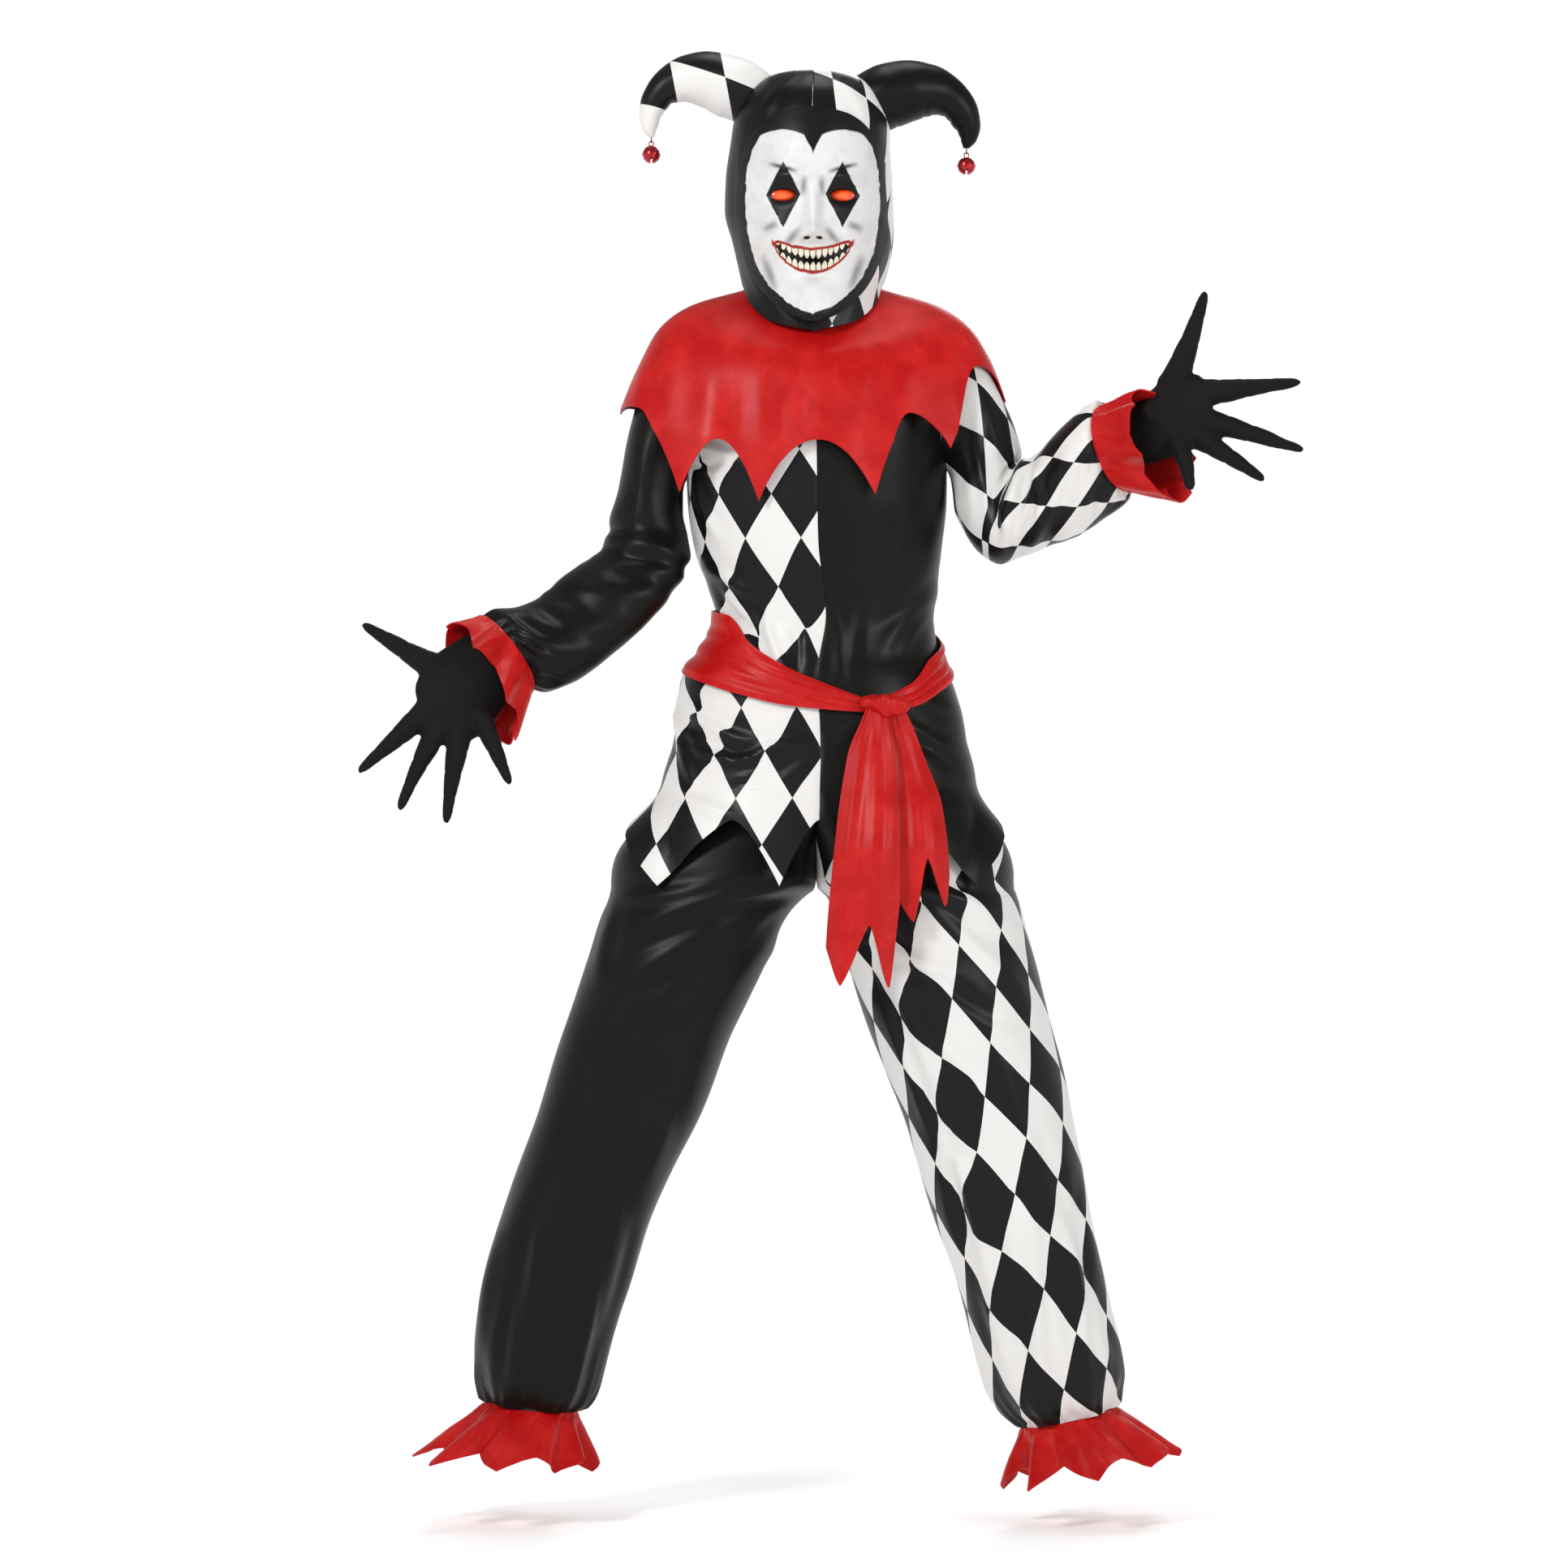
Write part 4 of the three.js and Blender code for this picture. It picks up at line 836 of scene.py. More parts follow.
@dataclass(frozen=True)
class Leatherette:
    """Red coated cloth with a fine grain and a soft gloss."""

    colour: tuple = (0.47, 0.0055, 0.0055, 1)
    worn: tuple = (0.57, 0.020, 0.016, 1)
    deep: tuple = (0.35, 0.0026, 0.0032, 1)

    def make(self) -> Material:
        """Builds the finish.

        Returns:
            The material.
        """
        s = Shader("red_leatherette")
        body = s.colour(s.noise(7, 3), self.deep, self.colour)
        streaks = s.scaled(s.noise(26, 5, rough=0.65), 2.2, -0.95)
        s.link(s.colour(s.clamped(streaks), body, self.worn), s.surface.inputs["Base Color"])
        s.set(Specular_IOR_Level=0.16, Coat_Weight=0.03, Coat_Roughness=0.3)
        s.link(s.scaled(s.noise(40, 4), 0.2, 0.28), s.surface.inputs["Roughness"])
        inputs = {"Vector": s.places(), "Scale": 820.0}
        grain = s.node("TexVoronoi", inputs, feature="F1").outputs["Distance"]
        creased = s.bump(s.noise(60, 5, rough=0.6), 0.16, 0.0012)
        s.link(s.bump(grain, 0.16, 0.0002, creased), s.surface.inputs["Normal"])
        return s.material


@dataclass(frozen=True)
class GloveKnit:
    """Matte black stretch knit."""

    colour: tuple = (0.0045, 0.0043, 0.0042, 1)
    light: tuple = (0.0085, 0.0083, 0.0078, 1)

    def make(self) -> Material:
        """Builds the finish.

        Returns:
            The material.
        """
        s = Shader("glove_knit")
        s.link(s.colour(s.noise(22, 4), self.colour, self.light), s.surface.inputs["Base Color"])
        s.set(Roughness=0.72, Specular_IOR_Level=0.12, Sheen_Weight=0.03, Sheen_Roughness=0.4)
        inputs = {"Vector": s.places(), "Scale": 420, "Distortion": 1.2}
        ribs = s.node("TexWave", inputs, bands_direction="X").outputs["Fac"]
        soft = s.bump(s.noise(70, 4), 0.4, 0.0012)
        s.link(s.bump(ribs, 0.3, 0.0003, soft), s.surface.inputs["Normal"])
        return s.material


@dataclass(frozen=True)
class Lacquer:
    """A smooth hard finish of one colour with faint marks."""

    name: str
    colour: tuple
    worn: tuple
    metallic: float
    rough: float

    def make(self) -> Material:
        """Builds the finish.

        Returns:
            The material.
        """
        s = Shader(self.name)
        marks = s.noise(240, 5, rough=0.6)
        s.link(s.colour(marks, self.colour, self.worn), s.surface.inputs["Base Color"])
        s.set(Metallic=self.metallic, Coat_Weight=0.3, Coat_Roughness=0.15)
        s.link(s.scaled(marks, 0.12, self.rough), s.surface.inputs["Roughness"])
        s.link(s.bump(marks, 0.1, 0.0002), s.surface.inputs["Normal"])
        return s.material


@dataclass(frozen=True)
class LensTintWithPaintedGlow:
    """Glossy tinted eye covers, red towards the rim, with a painted glow: an orange middle and a faint red
    emission.
    """

    middle: tuple = (0.95, 0.13, 0.008, 1)
    rim: tuple = (0.38, 0.005, 0.004, 1)
    centre: tuple = (0.036, 0.154)
    half: float = 0.0095
    height: float = 0.0050

    def make(self) -> Material:
        """Builds the finish.

        Returns:
            The material.
        """
        s = Shader("lens")
        # Painted glow: orange in an oval at the middle of each cover.
        place = s.apart(s.places()).outputs
        side = s.size(s.plus(place["X"], 0.004))
        share = s.oval((side, place["Z"]), self.centre, self.half, self.height, 1.6)
        marks = s.scaled(s.noise(300, 4), 0.3, -0.15)
        share = s.clamped(s.plus(share, marks))
        s.link(s.colour(share, self.rim, self.middle), s.surface.inputs["Base Color"])
        s.set(Coat_Weight=0.5, Coat_Roughness=0.08)
        # Painted glow: a faint red emission.
        s.set(Emission_Color=(0.55, 0.012, 0.002, 1), Emission_Strength=0.3)
        s.link(s.scaled(marks, 0.2, 0.15), s.surface.inputs["Roughness"])
        return s.material


@dataclass(frozen=True)
class MaskPaint:
    """The painted face: black border, tall rhombs through the eyes, a smile, painted grey shade along the
    face's folds and painted black shade in the nostril dents, in steps of 100 mm.
    """

    white: tuple = (0.64, 0.635, 0.625, 1)
    dull: tuple = (0.50, 0.50, 0.49, 1)
    grey: tuple = (0.22, 0.22, 0.22, 1)
    black: tuple = (0.004, 0.004, 0.004, 1)
    red: tuple = (0.30, 0.02, 0.012, 1)
    tooth: tuple = (0.68, 0.62, 0.50, 1)

    def make(self) -> Material:
        """Builds the finish.

        Returns:
            The material.
        """
        s = Shader("mask_shell")
        brush = s.noise(90, 3)
        wobble = s.scaled(brush, 0.03, -0.015)
        place = s.apart(s.cloth()).outputs
        x, z = s.plus(place["X"], wobble), s.plus(place["Y"], wobble)
        side = s.size(x)
        rim = s.apart(s.node("UVMap", uv_map="rim").outputs["UV"]).outputs["X"]
        smear = s.scaled(s.noise(38, 5, rough=0.65), 2.4, -1.05)
        base = s.colour(s.clamped(smear), self.white, self.dull)
        # Painted shade: grey along the folds beside the nose, under the cheeks and from the cheeks to the
        # chin.
        painted_shade = s.most(self.line(s, side, z, (0.15, 1.14), (0.36, 0.90), 0.045), self.line(
            s, side, z, (0.40, 1.20), (0.62, 1.12), 0.05))
        painted_shade = s.most(painted_shade, self.line(s, side, z, (0.10, 1.78), (0.12, 1.50), 0.04))
        painted_shade = s.most(painted_shade, self.line(s, side, z, (0.62, 0.86), (0.44, 0.36), 0.05))
        base = s.colour(s.times(painted_shade, 0.9), base, self.grey)
        edge = s.step(s.less(s.scaled(brush, 0.05, 0.085), rim), 0.012)
        peak = s.step(s.less(z, s.scaled(s.math("POWER", side, 0.8), 1.35, 2.02)), 0.02)
        lobe = s.less(side, 0.40)
        top = s.step(s.less(z, s.scaled(s.times(lobe, lobe), -0.9, 2.33)), 0.02)
        border = s.most(edge, s.most(peak, top))
        off = s.size(s.less(side, 0.36))
        up = s.size(s.less(z, 1.54))
        size = s.scaled(off, 1 / 0.21, s.times(up, 1 / 0.40))
        rhomb = s.step(s.less(1.0, size), 0.05)
        brow = self.line(s, side, z, (0.17, 1.80), (0.56, 1.93), 0.028)
        # Painted shade: black ovals in the nostril dents.
        nostril_shade = s.oval((side, z), (0.075, 1.00), 0.04, 0.02, 0.4)
        dark = s.most(s.most(border, rhomb), s.most(brow, nostril_shade))
        painted = s.colour(dark, base, self.black)
        middle = s.scaled(s.times(side, side), 0.95, 0.735)
        off = s.less(z, middle)
        share = s.times(side, 1 / 0.46)
        shut = s.most(s.less(1.0, s.times(share, share)), 0.0)
        gape = s.times(s.math("SQRT", shut), 0.125)
        inside = s.less(gape, s.size(off))
        lips = s.step(s.plus(inside, 0.034), 0.012)
        lips = s.times(lips, s.step(s.less(0.50, side), 0.03))
        ends = s.step(s.less(0.445, side), 0.02)
        mouth = s.times(s.step(inside, 0.010), ends)
        turn = s.math("FRACT", s.scaled(x, 1 / 0.072, 0.5))
        round_ = s.size(s.scaled(turn, 2.0, -1.0))
        gap = s.times(s.times(round_, round_), 0.060)
        tooth = s.step(s.less(s.size(off), s.plus(gap, 0.020)), 0.008)
        tooth = s.times(s.times(tooth, mouth), s.step(s.less(0.86, round_), 0.12))
        painted = s.colour(lips, painted, self.red)
        painted = s.colour(mouth, painted, s.colour(tooth, self.black, self.tooth))
        s.link(painted, s.surface.inputs["Base Color"])
        s.set(Specular_IOR_Level=0.18, Coat_Weight=0.05, Coat_Roughness=0.35)
        s.link(s.scaled(brush, 0.2, 0.32), s.surface.inputs["Roughness"])
        strokes = s.bump(s.noise(260, 4, rough=0.6), 0.12, 0.0004)
        s.link(s.bump(tooth, 0.5, 0.0012, strokes), s.surface.inputs["Normal"])
        return s.material

    def line(self, s: Shader, x: object, z: object, start: tuple, end: tuple, wide: float) -> Socket:
        """A soft stroke between two places, for a painted brow or for painted shade along a fold.

        Args:
            s: The material.
            x: Place across.
            z: Place up.
            start: Where it starts.
            end: Where it ends.
            wide: Its half width.

        Returns:
            Its strength from 0 to 1.
        """
        length = math.hypot(end[0] - start[0], end[1] - start[1])
        along_x, along_z = (end[0] - start[0]) / length, (end[1] - start[1]) / length
        from_x, from_z = s.less(x, start[0]), s.less(z, start[1])
        along = s.plus(s.times(from_x, along_x / length), s.times(from_z, along_z / length))
        off = s.less(s.times(from_x, along_z), s.times(from_z, along_x))
        taper = s.clamped(s.times(s.times(along, s.less(1.0, along)), 4.0))
        far = s.times(off, 1 / wide)
        return s.times(taper, s.math("EXPONENT", s.times(s.times(far, far), -1.0)))


@dataclass
class Piece:
    """A finished piece with the words that describe it."""

    cloth: Object
    slot: str
    node: str
    body: str = "root"

    @classmethod
    def sewn(
        cls,
        node: str,
        slot: str,
        grid: Array,
        thickness: float,
        closed: bool,
        cloth: Array,
        towards: Place | None = None,
    ) -> "Piece":
        """A wall of cloth that stands for one CAD node.

        Args:
            node: The node.
            slot: Its material slot.
            grid: Outer places by row and column.
            thickness: Thickness of the cloth.
            closed: Whether the last column joins the first.
            cloth: Two cloth coordinates for each place.
            towards: Where the outer face looks on a piece that is nearly flat.

        Returns:
            The piece.
        """
        return cls(shell(f"{node}_cloth", grid, thickness, closed, cloth, towards), slot, node)

    def finish(self, finishes: Finishes, look: str = "", angle: float = 50) -> None:
        """Smooths the piece and gives it its finish, its body and its CAD node.

        Args:
            finishes: Materials by name.
            look: Its finish where that isn't named as its slot.
            angle: Angle between faces, in degrees, up to which it is smooth.
        """
        soften(self.cloth, angle)
        self.cloth.data.materials.clear()
        self.cloth.data.materials.append(finishes[look or self.slot])
        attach(self.cloth, self.body)
        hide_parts(self.node)
        LOG.info("%s: %d faces", self.cloth.name, len(self.cloth.data.polygons))

    def sheet(self, grid: Array, closed: bool, held: Held, rests_on: list[str], above: float = 1) -> None:
        """States the flat size of a sheet, from the length of its longest row and column.

        Args:
            grid: Its outer places in millimetres.
            closed: Whether it is sewn to a ring.
            held: How it is held; not used.
            rests_on: What it lies on or hangs from; not used.
            above: The part of its rows that lie above a cut edge.
        """
        across = float(run_across(grid, closed)[: int(len(grid) * above), -1].max()) * MM
        down = float(run_down(grid)[-1].max()) * MM
        area = min(area_of(self.cloth) / 2, across * down)
        LOG.info("%s: flat %.3f x %.3f m, %.4f m2", self.cloth.name, across, down, area)


@dataclass(frozen=True)
class Rhombs:
    """The printed rhombs: width and height of one, and where a corner of one lies on the flat cloth."""

    wide: float
    high: float
    across: float
    up: float
    turned: int = 0

    def map(self, u: Array, v: Array) -> Array:
        """Cloth coordinates that rise by one over each side of a rhomb.

        Args:
            u: Across the flat cloth.
            v: Up the flat cloth.

        Returns:
            Two coordinates for each place.
        """
        a, b = (u - self.across) / self.wide, (v - self.up) / self.high
        return np.stack([a + b + self.turned, a - b], axis=-1)


def plain_map(u: Array, v: Array) -> Array:
    """Cloth coordinates in metres for plain cloth."""
    return np.stack(np.broadcast_arrays(u * MM, v * MM), axis=-1)


def length_map(grid: Array, closed: bool) -> Array:
    """Cloth coordinates in metres, from the lengths along the rows and down the columns."""
    down = run_down(grid)
    return plain_map(run_across(grid, closed), joined_up(down) if closed else down)


@dataclass
class Trousers:
    """Both trouser legs, with their tops round the hips and an elastic hem at each ankle."""

    satin: float = 1.2
    top: float = -380
    rows: int = 190
    columns: int = 112
    ribs: int = 6
    rib_depth: float = 4.5
    rib_reach: float = 120
    crotch_from: float = 570
    crotch_to: float = 692
    crotch_opens: float = 676
    slip_high: float = 25
    slip_low: float = 11
    lean: float = 17.3
    folded: float = 1.5

    def __post_init__(self) -> None:
        """Fills in the sections and the creases."""
        self.hips = Table("z left right front back square", [
            [-380, -122, 136, 89, 84, 2.2], [-424, -150, 152, 101, 100, 2.2],
            [-446, -160, 162, 105, 107, 2.3], [-485, -165, 173, 109, 117, 2.4],
            [-525, -169, 180, 112, 122, 2.4], [-560, -176, 184, 115, 124, 2.5],
            [-588, -188, 194, 117, 125, 2.4], [-606, -199, 203, 118, 126, 2.3],
            [-640, -224, 223, 119, 125, 2.2], [-690, -252, 245, 117, 121, 2.1],
        ])
        left = Table("z middle half front depth slope", [
            [-690, -128, 125, 0, 116, 0], [-704, -139, 118, 0, 115, 0], [-725, -152, 115, 0, 114, 0],
            [-775, -170, 113, -3, 112, 0], [-835, -193, 108, -5, 108, 0], [-876, -210, 104, -6, 105, 0],
            [-962, -240, 100, -6, 100, 0], [-1039, -273, 96, -2, 96, 0], [-1106, -298, 92, 3, 93, 0],
            [-1173, -317, 91, 6, 90, 0], [-1246, -335, 84, 8, 85, -2], [-1294, -343, 75, 8, 77, -5],
            [-1316, -346, 66, 8, 68, -6], [-1328, -350, 57, 8, 57, -6],
        ])
        right = Table("z middle half front depth slope", [
            [-690, 124, 121, 0, 116, 0], [-704, 133, 117, 0, 115, 0], [-735, 141, 117, 0, 114, 0],
            [-786, 156, 116, -3, 112, 0], [-860, 177, 113, -6, 107, 0], [-908, 193, 110, -7, 104, 0],
            [-988, 216, 103, -7, 99, 0], [-1018, 223, 102, -5, 97, 0], [-1095, 241, 98, 1, 94, 0],
            [-1171, 264, 92, 6, 90, 3], [-1245, 283, 89, 8, 87, 6], [-1291, 294, 84, 8, 81, 9],
            [-1322, 302, 72, 8, 72, 12], [-1341, 311, 59, 8, 58, 13],
        ])
        self.legs = {Side.LEFT: left, Side.RIGHT: right}
        black = Table("x0 z0 x1 z1 width height bend", [
            [-45, -690, -200, -722, 9, 3.2, 5], [-50, -702, -235, -775, 11, -2.8, 8],
            [-62, -716, -200, -830, 12, 3, -10], [-80, -745, -170, -860, 14, -2.2, 8],
            [-120, -680, -240, -700, 9, 2.2, -5], [-250, -720, -268, -800, 9, 2, 3],
            [-175, -845, -255, -1010, 20, 3.2, 14], [-215, -900, -300, -1080, 17, -3, -10],
            [-180, -940, -215, -1050, 12, 2.6, -6], [-260, -1010, -330, -1180, 15, 3.4, 9],
            [-305, -1010, -375, -1190, 13, -3, 8], [-240, -1040, -292, -1215, 15, 3.2, -9],
            [-292, -1075, -322, -1250, 10, -3.2, 4], [-340, -1110, -362, -1280, 11, 3.6, -5],
            [-390, -1120, -412, -1250, 9, 2.8, 5], [-225, -1110, -262, -1250, 9, -2.6, -4],
            [-318, -1150, -338, -1300, 8, 3.4, 3], [-270, -1180, -300, -1305, 8, 3, -4],
            [-372, -1190, -385, -1310, 8, -3, 3],
        ])
        printed = Table("x0 z0 x1 z1 width height bend", [
            [62, -745, 160, -790, 9, 3.4, 6], [80, -772, 200, -842, 10, -3.2, -7],
            [110, -770, 235, -870, 10, 3, 8], [95, -815, 190, -905, 9, 2.8, 6],
            [68, -790, 120, -930, 9, -3, -6], [78, -800, 150, -985, 8, 3.2, 6],
            [130, -690, 220, -722, 9, 2.6, -5], [150, -705, 245, -760, 10, -2.4, 6],
            [190, -760, 262, -835, 10, 2.4, -6], [120, -900, 182, -1030, 8, -3.4, 6],
            [152, -985, 205, -1120, 9, 3.8, -7], [165, -1010, 184, -1125, 7, -3.2, 4],
            [230, -905, 290, -1040, 13, 2.8, 8], [262, -980, 318, -1130, 12, -3, -7],
            [196, -1065, 232, -1230, 10, 3.4, 6], [222, -1105, 255, -1290, 9, -3.4, -4],
            [262, -1085, 284, -1260, 11, 3.6, 5], [300, -1090, 330, -1275, 10, 3.4, -6],
            [318, -1050, 356, -1240, 9, -3, 5], [338, -1150, 362, -1290, 8, 3, 4],
            [280, -1180, 296, -1320, 8, -3.2, 3], [205, -1190, 238, -1300, 8, 2.8, -4],
        ])
        behind = Table("x0 z0 x1 z1 width height bend", [
            [30, -700, 190, -735, 10, 3.2, -8], [40, -735, 210, -800, 12, -3, 8],
            [60, -770, 200, -850, 11, 2.8, -8], [150, -860, 235, -1010, 16, 3, 10],
            [205, -905, 295, -1060, 14, -3, -10], [180, -960, 220, -1080, 10, 2.6, 6],
            [235, -960, 290, -1030, 9, 3, 6], [215, -1000, 300, -1040, 8, -2.6, -6],
            [250, -1040, 318, -1220, 14, 3.2, 9], [225, -1060, 282, -1230, 11, -3, -7],
            [300, -1090, 352, -1260, 11, 3.2, 6], [270, -1150, 300, -1300, 9, -3.2, 4],
            [320, -1170, 338, -1310, 8, 3, -3],
        ])
        self.folds = {Side.LEFT: black, Side.RIGHT: printed}
        self.behind = behind
        self.rhombs = Rhombs(wide=63, high=124, across=-14, up=-1145, turned=1)
        self.tucks = Table("x0 z0 x1 z1 width hidden", [
            [64, -752, 126, -912, 2.5, 15], [116, -893, 166, -1016, 2.5, 13],
            [148, -985, 192, -1122, 2.5, 13], [178, -1056, 216, -1240, 3, 10],
            [112, -716, 118, -806, 3, 9], [308, -884, 322, -980, 3, 9], [330, -1010, 362, -1196, 3, 10],
            [196, -880, 192, -1000, 4, 6], [250, -1050, 270, -1160, 4, 7],
        ])

    def point(self, side: Side, around: Array, z: Array, ribs: bool = True) -> Array:
        """Places of a leg: around runs from the inner front, over the outside, to the inner back.

        Args:
            side: Which leg.
            around: From 0 to 1.
            z: Height.
            ribs: Whether the hem is gathered.

        Returns:
            The places.
        """
        sign = side.value
        hips, leg = self.hips.at(z), self.legs[side].at(z)
        turn = math.pi * around
        out = -hips.left if sign < 0 else hips.right
        forward = power(np.cos(turn), 2 / hips.square)
        hip = points(
            sign * out * power(np.sin(turn), 2 / hips.square),
            -np.where(forward > 0, hips.front, hips.back) * forward,
            z,
        )
        bottom = self.legs[side].ends()[1]
        gathered = np.maximum(0, 1 - (z - bottom) / self.rib_reach)
        rib = self.rib_depth * gathered * np.cos(self.ribs * 2 * turn) * ribs
        below = points(
            leg.middle - sign * (leg.half + rib) * np.cos(2 * turn),
            leg.front - (leg.depth + rib) * np.sin(2 * turn),
            z - sign * leg.slope * np.cos(2 * turn),
        )
        place = mix(hip, below, smooth(-z, self.crotch_from, self.crotch_to)[..., None])
        joined = np.abs(np.cos(turn)) ** 5 * (1 - smooth(-z, self.crotch_opens, self.crotch_opens + 22))
        joined = joined * smooth(-z, self.crotch_from, self.crotch_from + 40)
        place[..., 0] = mix(place[..., 0], sign * SEAM / 2, joined)
        place[..., 0] = sign * np.maximum(sign * place[..., 0], SEAM / 2)
        return place

    def reach(self, x: Array, y: Array, z: Array) -> Array:
        """How far the trousers reach from the body's axis.

        Args:
            x: First part of the direction.
            y: Second part of the direction.
            z: Height.

        Returns:
            The farthest distance in that direction.
        """
        far = np.zeros_like(z)
        for side in Side:
            last = self.point(side, np.zeros_like(z), z)
            for i in range(1, 25):
                here = self.point(side, np.full_like(z, i / 24), z)
                edge_x, edge_y = here[..., 0] - last[..., 0], here[..., 1] - last[..., 1]
                across = x * edge_y - y * edge_x
                safe = np.where(np.abs(across) < 1e-9, 1, across)
                distance = (last[..., 0] * edge_y - last[..., 1] * edge_x) / safe
                along = (last[..., 0] * y - last[..., 1] * x) / safe
                met = (np.abs(across) >= 1e-9) & (along >= -0.02) & (along <= 1.02)
                far = np.where(met, np.maximum(far, distance), far)
                last = here
        return far

    def grid(self, side: Side) -> tuple[Array, Array]:
        """Outer places of a leg and its cloth coordinates.

        Args:
            side: Which leg.

        Returns:
            Both grids.
        """
        bottom = self.legs[side].ends()[1]
        levels = self.top + (bottom - self.top) * np.linspace(0, 1, self.rows)
        z, around = lattice(levels, np.linspace(SEAM / 600, 1 - SEAM / 600, self.columns))
        plain = self.point(side, around, z)
        tilt = self.lean * DEGREE
        arc = run_across(plain * np.array([math.cos(tilt), 1, 1]), False)
        front = arc - arc[:, [self.columns // 4]]
        if side is Side.RIGHT:
            along = z * math.cos(tilt) - plain[..., 0] * math.sin(tilt)
            pull = 3.5 * swell(plain[..., 0], plain[..., 1], z, 120, 5) * smooth(-z, 620, 760)
            slip = mix(self.slip_low, self.slip_high, smooth(z, -1080, -760))
            hidden = tucks(self.tucks, plain[..., 0], z) * smooth(-plain[..., 1], -30, 10)
            cloth = self.rhombs.map(front + pull + slip + hidden, along + 0.7 * pull + 0.3 * hidden)
        else:
            cloth = plain_map(arc, z)
        x = plain[..., 0]
        facing = smooth(-plain[..., 1], -20, 40)
        height = creases(self.folds[side], x, z) * facing
        mirrored = np.abs(x) if side is Side.RIGHT else np.abs(x) * 0.97
        height += creases(self.behind, mirrored, z) * (1 - facing)
        rise = z - bottom
        turn = around + 0.02 * np.sin(6 * around)
        height += gathers(turn, rise, 26, 95, 4.8, 11 + side.value) * smooth(rise, 0, 5)
        slow = 1.5 * swell(x, plain[..., 1], z * 0.45, 170, 3 + side.value)
        height += slow * smooth(rise, 0, 60) * smooth(-z, 600, 720)
        side_seam = np.exp(-(((around - 0.5) * 300) ** 2))
        height -= 0.9 * side_seam * smooth(-z, 600, 640)
        height = np.clip(self.folded * height, -6, 7) * smooth(-z, 560, 700)
        return moved(plain, height, False), cloth

    def build(self, finishes: Finishes) -> None:
        """Makes both legs.

        Args:
            finishes: Materials by slot.
        """
        for side, slot in ((Side.LEFT, "black_satin"), (Side.RIGHT, "harlequin_satin")):
            grid, cloth = self.grid(side)
            leg = Piece.sewn(f"leg_{side.word}", slot, grid, self.satin, False, cloth)
            leg.finish(finishes)
            leg.sheet(grid, False, Held.HUNG, [f"ankle_ruffle_{side.word}"])


